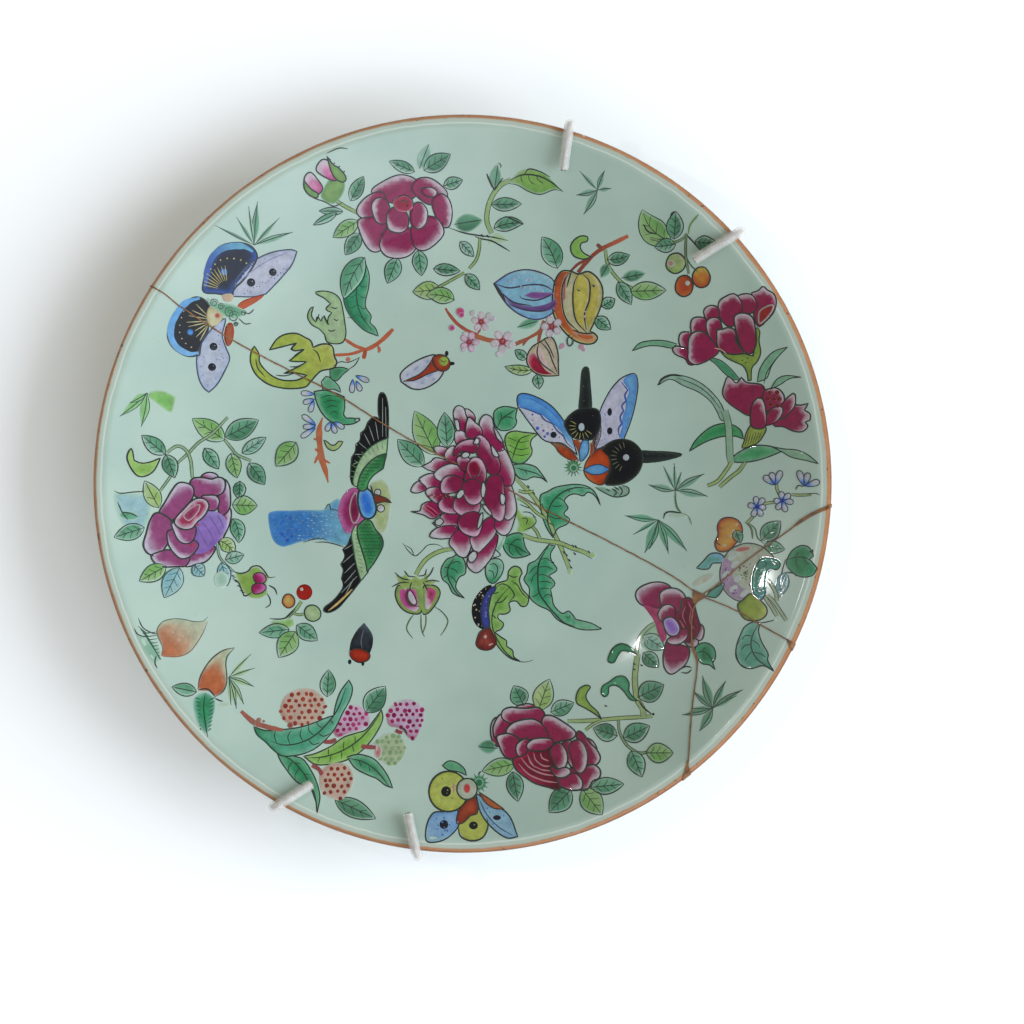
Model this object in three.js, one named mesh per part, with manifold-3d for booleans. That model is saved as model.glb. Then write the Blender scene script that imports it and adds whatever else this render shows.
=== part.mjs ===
// A shallow porcelain dinner plate that broke into four shards and was glued together again.
// A spring wire plate hanger is clipped over its rim. Millimetres, +Z up, painted face up.
// The origin is on the plate's axis, on the surface that the hanger wires rest on.
import * as THREE from "three";
import { mergeVertices } from "three/addons/utils/BufferGeometryUtils.js";
import Module from "manifold-3d";

const wasm = await Module();
wasm.setup();

// ---- driving dimensions ----

const RIM_RADIUS = 122.5;
const FLOOR_THICKNESS = 4.4;
const FLOOR_TOP = 10.2; // painted face at the centre, above the foot ring's base
const WELL_RADIUS = 58; // where the nearly flat floor turns into the wall
const WELL_DISH = 0.6; // how far the floor rises from its centre to the well's edge
const WALL_RISE = 17;
const WALL_CURVE = 1.7; // exponent of the wall's curve
const WALL_THICKNESS = 3.8; // at the foot, thinning towards the lip
const LIP_THICKNESS = 3;
const LIP_WIDTH = 4.2; // the outermost band, turned out flatter than the wall
const LIP_SLOPE = 0.15;
const EDGE_RADIUS = 1.4;

const FOOT_OUTER = 68.2;
const FOOT_INNER = 62.6;
const FOOT_HEIGHT = 5.4;
const FOOT_CHAMFER = 1.1;
const FOOT_BATTER = 1.12; // how far each side of the foot ring leans over its height
const RECESS_COVE = 5; // where the recess inside the foot ring starts to curve down

const PLATE_FACETS = 72;
const FACE_PIECES = 7; // pieces of the wall's curve, on the painted side
const BACK_START = 74; // radius of the first point of the wall's back
const BACK_STEP = 7;
const EDGE_BELOW = -70; // degrees, where the rim's rounding starts under the lip
const EDGE_TURN = 160; // degrees, to the top of the lip
const EDGE_PIECES = 5;

const GAP = 0.3; // air between pieces that touch
const CRACK_WIDTH = 0.7;
const GLUE_WIDTH = 0.3;
const CHIP_CLEARANCE = 0.2;
const CRACK_STEP = 7; // spacing of the points along a crack
const NICK_ANGLE = 70.7; // degrees, a small flake lost from the rim
const NICK_RADIUS = 1.3;
const NICK_DEPTH = 0.7;
const CUT_FROM = -20; // the cuts through the plate start this far below it
const CUT_HEIGHT = 80;
const FAR = 170; // a distance well past the rim

const WIRE = 1.6; // diameter of the hanger's wire
const SLEEVE = 3.5; // outside diameter of the vinyl sleeves
const SLEEVE_BORE = 2.2;
const SLEEVE_BACK = 8; // how far a sleeve runs back under the plate
const TIP_BARE = 0.7; // bare wire that shows past a sleeve's end
const FINGER_BEND = 3.6; // the finger follows the lip this far in, then turns down
const FINGER_SLOPE = 18.5; // degrees, from the bend down into the plate
const HOOK_BACK_SLOPE = 25.2; // degrees, the leg down to the foot ring
const HOOK_LEG = 22; // straight part of a leg, in line with its hook
const HANGER_AXIS = 64.7; // degrees from +X, the line that the springs pull along
const EYE_ALONG = 30; // distance of the spring eyes from the plate's centre
const EYE_RADIUS = 2.6;
const EYE_LEFT = -6; // sideways places of the two eyes of each wire
const EYE_RIGHT = 30;
const PEAK_RADIUS = 3;
const NAIL_REACH = 90; // the upper wire's peak, from the plate's centre
const NAIL_RISE = 1; // how far the peak's tip is bent up
const NAIL_SPREAD = 0.2; // how fast the two wires below the nail peak part
const NAIL_BENDS = [FOOT_INNER - 7, FOOT_OUTER + 2]; // where they turn down and flat
const SHORT_REACH = 46; // the lower wire's peak
const FOOT_CLEARANCE = 4; // a leg bends this far to each side of the foot ring
const WIRE_SIDES = 6;
const SLEEVE_SIDES = 8;
const WRAP_PIECES = 7; // pieces of a hook's bend round the rim
const HALF_TURN_PIECES = 6;

const SPRING_RADIUS = 2.55; // to the middle of its wire
const SPRING_WIRE = 0.9;
const SPRING_TURNS = 18;
const SPRING_TURN_PIECES = 8;
const SPRING_HOOK_PIECES = 5;
const SPRING_SIDES = 5;
const SPRING_NECK = 1.5; // straight wire between the last turn and the end hook
const SPRING_SEAT = 0.85; // from the end hook's centre to the wire it holds

// ---- heights above the surface ----

const FOOT_PLANE = WIRE + GAP; // the foot ring stands on the wires that cross under it
const WIRE_LOW = WIRE / 2;
const WIRE_HIGH = 3.9; // the eyes and springs, drawn up into the foot ring's recess
const EDGE_CENTRE = RIM_RADIUS - EDGE_RADIUS;
const LIP_START = RIM_RADIUS - LIP_WIDTH;

// ---- solids and curves ----

const degrees = (angle) => THREE.MathUtils.degToRad(angle);

/** A closed geometry as a solid that can be cut and joined. */
function solidOf(geometry) {
  const bare = geometry.index ? geometry.toNonIndexed() : geometry.clone();
  bare.deleteAttribute("normal");
  bare.deleteAttribute("uv");
  const merged = mergeVertices(bare, 1e-4);
  return new wasm.Manifold(
    new wasm.Mesh({
      numProp: 3,
      vertProperties: merged.attributes.position.array,
      triVerts: new Uint32Array(merged.index.array),
    }),
  );
}

/** A cut or joined solid as a flat-shaded geometry. */
function geometryOf(solid) {
  const mesh = solid.getMesh();
  const indexed = new THREE.BufferGeometry();
  indexed.setAttribute("position", new THREE.BufferAttribute(mesh.vertProperties, 3));
  indexed.setIndex(new THREE.BufferAttribute(mesh.triVerts, 1));
  const geometry = indexed.toNonIndexed();
  geometry.computeVertexNormals();
  return geometry;
}

/** An upright prism of a plan outline, tall enough to pass right through the plate. */
function prism(outline) {
  const geometry = new THREE.ExtrudeGeometry(new THREE.Shape(outline), {
    depth: CUT_HEIGHT,
    bevelEnabled: false,
  });
  return solidOf(geometry.translate(0, 0, CUT_FROM));
}

/** A path through given points, with one tube section at each point. */
class WirePath extends THREE.Curve {
  constructor(points) {
    super();
    this.points = points;
  }

  getPoint(t) {
    const place = t * (this.points.length - 1);
    const first = Math.min(Math.floor(place), this.points.length - 2);
    return this.points[first].clone().lerp(this.points[first + 1], place - first);
  }

  getTangent(t) {
    const at = Math.round(t * (this.points.length - 1));
    const before = this.points[Math.max(at - 1, 0)];
    const after = this.points[Math.min(at + 1, this.points.length - 1)];
    return after.clone().sub(before).normalize();
  }

  getPointAt(t) {
    return this.getPoint(t);
  }

  getTangentAt(t) {
    return this.getTangent(t);
  }

  getSpacedPoints(divisions) {
    return this.getPoints(divisions);
  }
}

/** Corners of a regular polygon that stands for a circle. */
function ring(diameter, sides) {
  const corners = [];
  for (let i = 0; i < sides; i++) {
    const turn = (2 * Math.PI * i) / sides;
    corners.push(new THREE.Vector2(Math.cos(turn), Math.sin(turn)).multiplyScalar(diameter / 2));
  }
  return corners;
}

/** A round bar or tube along a list of points. */
function tubeAlong(points, diameter, sides, bore = 0) {
  const section = new THREE.Shape(ring(diameter, sides));
  if (bore > 0) {
    section.holes.push(new THREE.Path(ring(bore, sides)));
  }
  return new THREE.ExtrudeGeometry(section, {
    steps: points.length - 1,
    extrudePath: new WirePath(points),
    bevelEnabled: false,
  });
}

/** Points of a bent wire: straight between its corners, and rounded at each one. */
function bentThrough(corners, reach = 3, pieces = 3) {
  const points = [corners[0]];
  for (let i = 1; i < corners.length - 1; i++) {
    const corner = corners[i];
    const entry = corners[i - 1].clone().sub(corner).setLength(reach).add(corner);
    const exit = corners[i + 1].clone().sub(corner).setLength(reach).add(corner);
    points.push(...new THREE.QuadraticBezierCurve3(entry, corner, exit).getPoints(pieces));
  }
  points.push(corners.at(-1));
  return points;
}

// ---- the plate before it broke ----

/** Height of the painted face above the foot ring's base. */
function faceHeight(radius) {
  const dish = FLOOR_TOP + WELL_DISH * Math.min(radius / WELL_RADIUS, 1) ** 2;
  const climb = Math.max(radius - WELL_RADIUS, 0) / (LIP_START - WELL_RADIUS);
  return dish + WALL_RISE * climb ** WALL_CURVE;
}

const LIP_TOP = faceHeight(LIP_START) + LIP_SLOPE * (EDGE_CENTRE - LIP_START);
const EDGE_HEIGHT = LIP_TOP - EDGE_RADIUS;

/** Half section of the plate as (radius, height) pairs, round from the axis and back to it. */
function plateSection() {
  const points = [];
  const add = (radius, height) => points.push(new THREE.Vector2(radius, height));
  const recess = FLOOR_TOP - FLOOR_THICKNESS;

  add(0, recess);
  add(FOOT_INNER - RECESS_COVE, recess);
  add(FOOT_INNER - FOOT_BATTER, recess - FOOT_BATTER);
  add(FOOT_INNER, FOOT_CHAMFER);
  add(FOOT_INNER + FOOT_CHAMFER, 0);
  add(FOOT_OUTER - FOOT_CHAMFER, 0);
  add(FOOT_OUTER, FOOT_CHAMFER);
  add(FOOT_OUTER + FOOT_BATTER, FOOT_HEIGHT);
  for (let radius = BACK_START; radius < LIP_START; radius += BACK_STEP) {
    const along = (radius - FOOT_OUTER) / (LIP_START - FOOT_OUTER);
    const thickness = WALL_THICKNESS + (LIP_THICKNESS - WALL_THICKNESS) * along;
    const slope = (faceHeight(radius + 1) - faceHeight(radius - 1)) / 2;
    add(radius, faceHeight(radius) - thickness * Math.hypot(1, slope));
  }
  for (let step = 0; step <= EDGE_PIECES; step++) {
    const turn = degrees(EDGE_BELOW + (EDGE_TURN * step) / EDGE_PIECES);
    const out = EDGE_RADIUS * Math.cos(turn);
    add(EDGE_CENTRE + out, EDGE_HEIGHT + EDGE_RADIUS * Math.sin(turn));
  }
  for (let step = 0; step <= FACE_PIECES; step++) {
    const radius = LIP_START - (step / FACE_PIECES) * (LIP_START - WELL_RADIUS);
    add(radius, faceHeight(radius));
  }
  add(WELL_RADIUS / 2, faceHeight(WELL_RADIUS / 2));
  add(0, faceHeight(0));
  return points;
}

const plate = solidOf(
  new THREE.LatheGeometry(plateSection(), PLATE_FACETS).rotateX(Math.PI / 2),
).translate(0, 0, FOOT_PLANE);

// ---- the cracks, in plan ----

const JUNCTION = [79.6, -37.5];

// Each crack runs through points chosen along it, and past the rim at its outer end.
const CRACKS = {
  long: [
    [-140, 82],
    [-103.3, 65.5],
    [-93.7, 58.8],
    [-76.7, 47.9],
    [-57.9, 38],
    [-42.3, 30],
    [-25, 19.1],
    [-8.8, 10.1],
    [9, 1.5],
    [28.3, -9],
    [48.6, -19.1],
    [68.8, -30],
    JUNCTION,
  ],
  right: [
    JUNCTION,
    [85.4, -33.5],
    [94.3, -26],
    [106.9, -16.7],
    [117.5, -9.4],
    [140, -1],
  ],
  lowerRight: [JUNCTION, [91.3, -42.3], [104.3, -49.9], [140, -69]],
  down: [
    JUNCTION,
    [76.9, -43],
    [76.7, -53.9],
    [78.3, -60],
    [76.4, -74.8],
    [74.9, -92],
    [72.5, -130],
  ],
};

// Places where a splinter was lost and glue fills the hole.
const CHIPS = {
  junction_fill: [
    [77, -35.2],
    [82, -37.5],
    [77, -40.6],
  ],
  lower_rim_fill: [
    [74.4, -91.7],
    [72.2, -101.8],
    [77.2, -100.9],
  ],
  right_rim_fill: [
    [107.2, -51.6],
    [110.2, -57.2],
    [113, -54.2],
  ],
};

/** A crack as evenly spaced points, moved sideways to its left by a distance. */
function crackLine(name, shift = 0) {
  const knots = CRACKS[name].map(([x, y]) => new THREE.Vector2(x, y));
  const curve = new THREE.SplineCurve(knots);
  const pieces = Math.round(curve.getLength() / CRACK_STEP);
  const line = [];
  for (let i = 0; i <= pieces; i++) {
    const tangent = curve.getTangentAt(i / pieces);
    const point = curve.getPointAt(i / pieces);
    line.push(new THREE.Vector2(point.x - shift * tangent.y, point.y + shift * tangent.x));
  }
  return line;
}

/** An upright sheet of given thickness that follows one crack. */
function crackSheet(name, thickness) {
  const left = crackLine(name, thickness / 2);
  const right = crackLine(name, -thickness / 2);
  return prism([...left, ...right.reverse()]);
}

/** A chip's three corners, with each side moved outwards by a clearance. */
function chipOutline(corners, clearance) {
  const [a, b, c] = corners.map(([x, y]) => new THREE.Vector2(x, y));
  const sides = [b.distanceTo(c), c.distanceTo(a), a.distanceTo(b)];
  const girth = sides[0] + sides[1] + sides[2];
  const doubleArea = Math.abs(b.clone().sub(a).cross(c.clone().sub(a)));
  const middle = new THREE.Vector2()
    .addScaledVector(a, sides[0] / girth)
    .addScaledVector(b, sides[1] / girth)
    .addScaledVector(c, sides[2] / girth);
  const growth = 1 + (clearance * girth) / doubleArea;
  return [a, b, c].map((point) => point.sub(middle).multiplyScalar(growth).add(middle));
}

const joined = (solids) => solids.reduce((all, solid) => all.add(solid));
const chipHoles = joined(
  Object.values(CHIPS).map((corners) => prism(chipOutline(corners, CHIP_CLEARANCE))),
);
const crackGaps = joined(Object.keys(CRACKS).map((name) => crackSheet(name, CRACK_WIDTH)));
const nick = solidOf(
  new THREE.IcosahedronGeometry(NICK_RADIUS, 1).translate(
    (RIM_RADIUS + NICK_RADIUS - NICK_DEPTH) * Math.cos(degrees(NICK_ANGLE)),
    (RIM_RADIUS + NICK_RADIUS - NICK_DEPTH) * Math.sin(degrees(NICK_ANGLE)),
    LIP_TOP + FOOT_PLANE,
  ),
);
const cracked = plate.subtract(crackGaps).subtract(chipHoles).subtract(nick);

const far = (x, y) => new THREE.Vector2(x * FAR, y * FAR);

// Each shard's region in plan: the cracks that bound it, and far corners past the rim.
const REGIONS = {
  shard_upper: [
    ...crackLine("long"),
    ...crackLine("right").slice(1),
    far(1, 0),
    far(1, 1),
    far(-1, 1),
    far(-1, 0.5),
  ],
  shard_lower: [
    ...crackLine("long"),
    ...crackLine("down").slice(1),
    far(0.4, -1),
    far(-1, -1),
    far(-1, 0.4),
  ],
  shard_right: [...crackLine("right"), ...crackLine("lowerRight").slice(1).reverse()],
  shard_lower_right: [
    ...crackLine("lowerRight"),
    far(1, -0.5),
    far(1, -1),
    far(0.5, -1),
    ...crackLine("down").slice(1).reverse(),
  ],
};

/** One shard: its region of the cracked plate. */
function shard(region) {
  return geometryOf(cracked.intersect(prism(region)));
}

/** The film of glue that fills one crack. */
function glueFilm(name) {
  return geometryOf(plate.intersect(crackSheet(name, GLUE_WIDTH)).subtract(chipHoles));
}

/** The glue in one lost splinter's place. */
function chipFill(corners) {
  return geometryOf(plate.intersect(prism(chipOutline(corners, 0))));
}

// ---- the hanger ----

// Where each hook holds the rim, which way its finger points out, and the finger's length.
const HOOKS = {
  upper_left: { rimAngle: 73.2, outward: 82, finger: 11.5 },
  upper_right: { rimAngle: 42.5, outward: 31, finger: 14 },
  lower_left: { rimAngle: 240.5, outward: 211.5, finger: 11 },
  lower_right: { rimAngle: 262.5, outward: 283, finger: 10.5 },
};

const along = new THREE.Vector3(Math.cos(degrees(HANGER_AXIS)), Math.sin(degrees(HANGER_AXIS)), 0);
const aside = new THREE.Vector3(along.y, -along.x, 0);

/** A point given along the springs' line and sideways from the plate's centre. */
function onHanger(forward, sideways, height) {
  return new THREE.Vector3(0, 0, height)
    .addScaledVector(along, forward)
    .addScaledVector(aside, sideways);
}

/** Points of a hook from its tip over the rim's edge, with a straight run of given length behind. */
function hookPoints({ rimAngle, outward, finger }, behind, bare = 0) {
  const rim = degrees(rimAngle);
  const out = new THREE.Vector3(Math.cos(degrees(outward)), Math.sin(degrees(outward)), 0);
  const centre = new THREE.Vector3(
    EDGE_CENTRE * Math.cos(rim),
    EDGE_CENTRE * Math.sin(rim),
    EDGE_HEIGHT + FOOT_PLANE,
  );
  // The rim's edge looks thicker to a hook that crosses it at a slant.
  const wrapRadius = EDGE_RADIUS / Math.cos(degrees(outward - rimAngle)) + GAP + SLEEVE / 2;
  const lipSlope = Math.atan(LIP_SLOPE);
  const back = degrees(HOOK_BACK_SLOPE);
  const start = Math.PI / 2 + lipSlope;
  const end = back - Math.PI / 2;
  const wrap = [];
  for (let i = 0; i <= WRAP_PIECES; i++) {
    const turn = start + ((end - start) * i) / WRAP_PIECES;
    wrap.push([wrapRadius * Math.cos(turn), wrapRadius * Math.sin(turn)]);
  }
  const onLip = FINGER_BEND + wrap[0][0];
  const bend = [-FINGER_BEND, wrap[0][1] - onLip * LIP_SLOPE];
  const run = finger + bare - FINGER_BEND;
  const tip = [bend[0] - run, bend[1] - run * Math.tan(degrees(FINGER_SLOPE))];
  const last = wrap.at(-1);
  const leg = [last[0] - behind, last[1] - behind * Math.tan(back)];
  return [tip, bend, ...wrap, leg].map(([reach, rise]) =>
    centre.clone().addScaledVector(out, reach).add(new THREE.Vector3(0, 0, rise)),
  );
}

/** A leg's corners from behind the rim, under the foot ring and up to one side of an eye. */
function legCorners(knee, eyeSide) {
  const flat = eyeSide.clone().sub(knee).setZ(0).normalize();
  const inPlan = knee.clone().setZ(0);
  const toCentre = inPlan.dot(flat);
  const miss = inPlan.lengthSq() - toCentre ** 2;
  const at = (radius) =>
    inPlan
      .clone()
      .addScaledVector(flat, -toCentre - Math.sqrt(radius ** 2 - miss))
      .setZ(WIRE_LOW);
  return [knee, at(FOOT_OUTER + FOOT_CLEARANCE), at(FOOT_INNER - FOOT_CLEARANCE), eyeSide];
}

/** A half turn of wire, its closed end pointing along heading times the hanger's line. */
function halfTurn(centre, radius, heading, from) {
  const points = [];
  for (let i = 0; i <= HALF_TURN_PIECES; i++) {
    const turn = (Math.PI * i) / HALF_TURN_PIECES;
    points.push(
      centre
        .clone()
        .addScaledVector(aside, from * radius * Math.cos(turn))
        .addScaledVector(along, heading * radius * Math.sin(turn)),
    );
  }
  return points;
}

/** One wire of the hanger: hook, leg, eye, peak, eye, leg and hook. */
function hangerWire(hooks, side, peak) {
  const [left, right] = hooks.map((hook) => hookPoints(hook, HOOK_LEG, TIP_BARE));
  const leftEye = halfTurn(onHanger(side * EYE_ALONG, EYE_LEFT, WIRE_HIGH), EYE_RADIUS, -side, -1);
  const rightEye = halfTurn(onHanger(side * EYE_ALONG, EYE_RIGHT, WIRE_HIGH), EYE_RADIUS, -side, -1);
  const top = halfTurn(peak.centre, PEAK_RADIUS, side, -1);

  const leftLeg = bentThrough([left.at(-2), ...legCorners(left.at(-1), leftEye[0])]);
  const rightLeg = bentThrough([right.at(-2), ...legCorners(right.at(-1), rightEye.at(-1))]);
  const rise = bentThrough([leftEye.at(-1), ...peak.under(-1), top[0]]);
  const fall = bentThrough([top.at(-1), ...peak.under(1).reverse(), rightEye[0]]);
  return [
    ...left.slice(0, -2),
    ...leftLeg.slice(0, -1),
    ...leftEye,
    ...rise.slice(1, -1),
    ...top,
    ...fall.slice(1, -1),
    ...rightEye,
    ...rightLeg.slice(0, -1).reverse(),
    ...right.slice(0, -2).reverse(),
  ];
}

const MIDDLE = (EYE_LEFT + EYE_RIGHT) / 2;

// The upper wire's peak passes out under the foot ring to hang on a nail.
const nailWire = (forward, hand) => {
  const apart = PEAK_RADIUS + (NAIL_REACH - forward) * NAIL_SPREAD;
  return onHanger(forward, MIDDLE + hand * apart, WIRE_LOW);
};
const nailPeak = {
  centre: onHanger(NAIL_REACH, MIDDLE, WIRE_LOW + NAIL_RISE),
  under: (hand) => NAIL_BENDS.map((forward) => nailWire(forward, hand)),
};

// The lower wire's peak is short and stays inside the foot ring.
const shortPeak = { centre: onHanger(-SHORT_REACH, MIDDLE, WIRE_HIGH), under: () => [] };

/** A stretched spring between the two wires' eyes, with an open hook at each end. */
function spring(sideways) {
  const end = EYE_ALONG - EYE_RADIUS - SPRING_SEAT - SPRING_NECK;
  const hook = (heading) => {
    const points = [];
    for (let i = 0; i <= SPRING_HOOK_PIECES; i++) {
      const turn = (Math.PI * i) / SPRING_HOOK_PIECES;
      const reach = end + SPRING_NECK + SPRING_RADIUS * Math.sin(turn);
      points.push(
        onHanger(heading * reach, sideways, WIRE_HIGH + SPRING_RADIUS * Math.cos(turn)),
      );
    }
    return points;
  };
  const pieces = SPRING_TURNS * SPRING_TURN_PIECES;
  const coil = [];
  for (let i = 0; i <= pieces; i++) {
    const turn = (2 * Math.PI * i) / SPRING_TURN_PIECES;
    coil.push(
      onHanger(
        -end + (2 * end * i) / pieces,
        sideways + SPRING_RADIUS * Math.sin(turn),
        WIRE_HIGH + SPRING_RADIUS * Math.cos(turn),
      ),
    );
  }
  return tubeAlong([...hook(-1).reverse(), ...coil, ...hook(1)], SPRING_WIRE, SPRING_SIDES);
}

// ---- finishes ----

const glaze = new THREE.MeshStandardMaterial({ color: 0xa9c4b8, roughness: 0.15, metalness: 0 });
const glue = new THREE.MeshStandardMaterial({ color: 0x6b4424, roughness: 0.45, metalness: 0 });
const steel = new THREE.MeshStandardMaterial({ color: 0x9a9a98, roughness: 0.35, metalness: 0.9 });
const vinyl = new THREE.MeshStandardMaterial({
  color: 0xd9d5d0,
  roughness: 0.25,
  metalness: 0,
  transparent: true,
  opacity: 0.8,
});

// ---- assembly ----

const brokenPlate = new THREE.Group();

function place(name, geometry, material) {
  const mesh = new THREE.Mesh(geometry, material);
  mesh.name = name;
  brokenPlate.add(mesh);
}

for (const [name, region] of Object.entries(REGIONS)) {
  place(name, shard(region), glaze);
}
place("glue_film_long", glueFilm("long"), glue);
place("glue_film_right", glueFilm("right"), glue);
place("glue_film_lower_right", glueFilm("lowerRight"), glue);
place("glue_film_down", glueFilm("down"), glue);
for (const [name, corners] of Object.entries(CHIPS)) {
  place(name, chipFill(corners), glue);
}

const upperWire = hangerWire([HOOKS.upper_left, HOOKS.upper_right], 1, nailPeak);
const lowerWire = hangerWire([HOOKS.lower_left, HOOKS.lower_right], -1, shortPeak);
place("hanger_wire_upper", tubeAlong(upperWire, WIRE, WIRE_SIDES), steel);
place("hanger_wire_lower", tubeAlong(lowerWire, WIRE, WIRE_SIDES), steel);
place("hanger_spring_left", spring(EYE_LEFT), steel);
place("hanger_spring_right", spring(EYE_RIGHT), steel);
for (const [name, hook] of Object.entries(HOOKS)) {
  const sleeve = tubeAlong(hookPoints(hook, SLEEVE_BACK), SLEEVE, SLEEVE_SIDES, SLEEVE_BORE);
  place(`hook_sleeve_${name}`, sleeve, vinyl);
}

export default brokenPlate;
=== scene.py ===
"""A shallow celadon porcelain plate, broken into four shards and glued together again.

Its face is painted all over with flowers, fruit, butterflies, insects and a bird in overglaze enamel,
and a spring wire hanger with clear vinyl sleeves grips its rim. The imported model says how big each
piece is and where it lies. Plan sizes here are in millimetres and become metres as meshes are made.
"""

import logging
import math
from dataclasses import dataclass, field
from enum import Enum
from typing import Callable, Iterable, Sequence

import bpy
import numpy as np
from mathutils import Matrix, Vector
from mathutils.geometry import delaunay_2d_cdt

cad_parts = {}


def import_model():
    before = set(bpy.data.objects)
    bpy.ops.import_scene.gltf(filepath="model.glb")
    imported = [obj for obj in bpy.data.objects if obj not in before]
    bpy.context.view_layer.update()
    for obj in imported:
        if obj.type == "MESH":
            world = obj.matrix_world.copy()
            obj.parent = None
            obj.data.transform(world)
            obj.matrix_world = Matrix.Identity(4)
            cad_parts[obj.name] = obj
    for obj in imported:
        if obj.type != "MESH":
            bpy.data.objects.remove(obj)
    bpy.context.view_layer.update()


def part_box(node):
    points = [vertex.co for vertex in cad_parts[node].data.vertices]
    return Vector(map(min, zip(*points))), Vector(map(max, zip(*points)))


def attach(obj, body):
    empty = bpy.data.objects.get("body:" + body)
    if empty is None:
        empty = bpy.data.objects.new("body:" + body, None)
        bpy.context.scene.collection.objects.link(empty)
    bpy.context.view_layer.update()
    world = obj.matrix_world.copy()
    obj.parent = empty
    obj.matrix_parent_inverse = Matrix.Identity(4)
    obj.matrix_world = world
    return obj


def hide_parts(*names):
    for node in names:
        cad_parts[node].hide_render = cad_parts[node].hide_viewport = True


LOG = logging.getLogger("broken_plate")
MM = 0.001
SEED = 1741

# Heights of the enamel over the glaze, in millimetres. Its edges and backs sink into the glaze.
ENAMEL_LEVEL = 0.03
EDGE_SINK = -0.02
BACK_SINK = -0.05
LINE_SINK = -0.04
LINE_RISE = 0.003
LINE_CROWN = 0.006
WASH_THICKNESS = 0.004
LAYER_THICKNESS = 0.008

# Levels in millimetres that an upright cutting tool runs between, below and above the plate.
CUT_LOW = -3.0
CUT_HIGH = 45.0

# Corners of a spun section and of a rod that lie closer than these, in metres, are merged.
SECTION_WELD = 1e-7
ROD_WELD = 1e-6

Rgba = tuple[float, float, float, float]
Paint = Callable[[np.ndarray, np.ndarray], np.ndarray]


# ---- small helpers ----


def linear(code: str, strength: float = 1.0) -> Rgba:
    """Turn an sRGB hex colour to linear light.

    Args:
        code: Six hex digits, with or without a leading hash.
        strength: Fourth channel, how much the colour covers.

    Returns:
        Linear red, green and blue, and the strength.
    """
    digits = code.lstrip("#")
    channels = []
    for start in (0, 2, 4):
        value = int(digits[start:start + 2], 16) / 255
        channels.append(value / 12.92 if value <= 0.04045 else ((value + 0.055) / 1.055) ** 2.4)
    return (channels[0], channels[1], channels[2], strength)


def smoothstep(low: float, high: float, value: np.ndarray) -> np.ndarray:
    """Ease from 0 at low to 1 at high.

    Args:
        low: Value at which the result leaves 0.
        high: Value at which it reaches 1.
        value: Values to ease.

    Returns:
        The eased values.
    """
    t = np.clip((value - low) / (high - low), 0, 1)
    return t * t * (3 - 2 * t)


def heading(angle: float) -> np.ndarray:
    """Unit vector in plan at an angle in degrees from +X.

    Args:
        angle: Degrees from +X.

    Returns:
        The unit vector.
    """
    return np.array([math.cos(math.radians(angle)), math.sin(math.radians(angle))])


def deselect() -> None:
    """Leave nothing selected, so that the next operator acts on its own object only."""
    bpy.ops.object.select_all(action="DESELECT")


def only(piece: bpy.types.Object) -> None:
    """Select one object and make it active.

    Args:
        piece: The object that the next operator acts on.
    """
    deselect()
    piece.select_set(True)
    bpy.context.view_layer.objects.active = piece


def face_outwards(piece: bpy.types.Object) -> None:
    """Turn every face of a closed piece outwards.

    Args:
        piece: The piece.
    """
    only(piece)
    bpy.ops.object.mode_set(mode="EDIT")
    bpy.ops.mesh.select_all(action="SELECT")
    bpy.ops.mesh.normals_make_consistent(inside=False)
    bpy.ops.object.mode_set(mode="OBJECT")


def mesh_object(name: str, corners: np.ndarray, faces: Sequence) -> bpy.types.Object:
    """Make an object at the origin from corners in metres and faces.

    Args:
        name: Name of the object and its mesh.
        corners: Places in metres, one a row.
        faces: Corner numbers of each face.

    Returns:
        The new object.
    """
    mesh = bpy.data.meshes.new(name)
    mesh.from_pydata([tuple(c) for c in corners], [], [tuple(int(i) for i in f) for f in faces])
    mesh.update()
    piece = bpy.data.objects.new(name, mesh)
    bpy.context.scene.collection.objects.link(piece)
    return piece


def smooth(piece: bpy.types.Object, angle: float = 35.0) -> None:
    """Shade a piece smooth, with edges sharper than an angle in degrees kept crisp.

    Args:
        piece: The object to shade.
        angle: Degrees from which an edge stays crisp.
    """
    only(piece)
    bpy.ops.object.shade_smooth_by_angle(angle=math.radians(angle))


def dress(piece: bpy.types.Object, *materials: bpy.types.Material) -> None:
    """Give a piece its material slots in order.

    Args:
        piece: The object.
        materials: Its materials, the first one in slot 0.
    """
    piece.data.materials.clear()
    for material in materials:
        piece.data.materials.append(material)


def hand_in(piece: bpy.types.Object, slot: str, *nodes: str) -> None:
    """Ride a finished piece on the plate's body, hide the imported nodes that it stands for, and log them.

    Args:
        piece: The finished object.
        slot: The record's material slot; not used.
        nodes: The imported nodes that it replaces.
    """
    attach(piece, "root")
    if nodes:
        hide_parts(*nodes)
    count = len(piece.data.polygons)
    LOG.info("%s: %d faces, stands for %s", piece.name, count, ", ".join(nodes) or "nothing")


# ---- finishes ----


def node(tree: bpy.types.NodeTree, kind: str, settings: dict | None = None, **links) -> bpy.types.Node:
    """Add a node with its settings and inputs.

    Args:
        tree: The material's node tree.
        kind: Blender's name of the node type.
        settings: Properties of the node, by name.
        links: Inputs by socket name with _ for a space, or in_N by number: a value or another socket.

    Returns:
        The new node.
    """
    made = tree.nodes.new(kind)
    for key, value in (settings or {}).items():
        setattr(made, key, value)
    for key, value in links.items():
        socket = made.inputs[int(key[3:])] if key.startswith("in_") else made.inputs[key.replace("_", " ")]
        if isinstance(value, bpy.types.NodeSocket):
            tree.links.new(value, socket)
        else:
            socket.default_value = value
    return made


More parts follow.
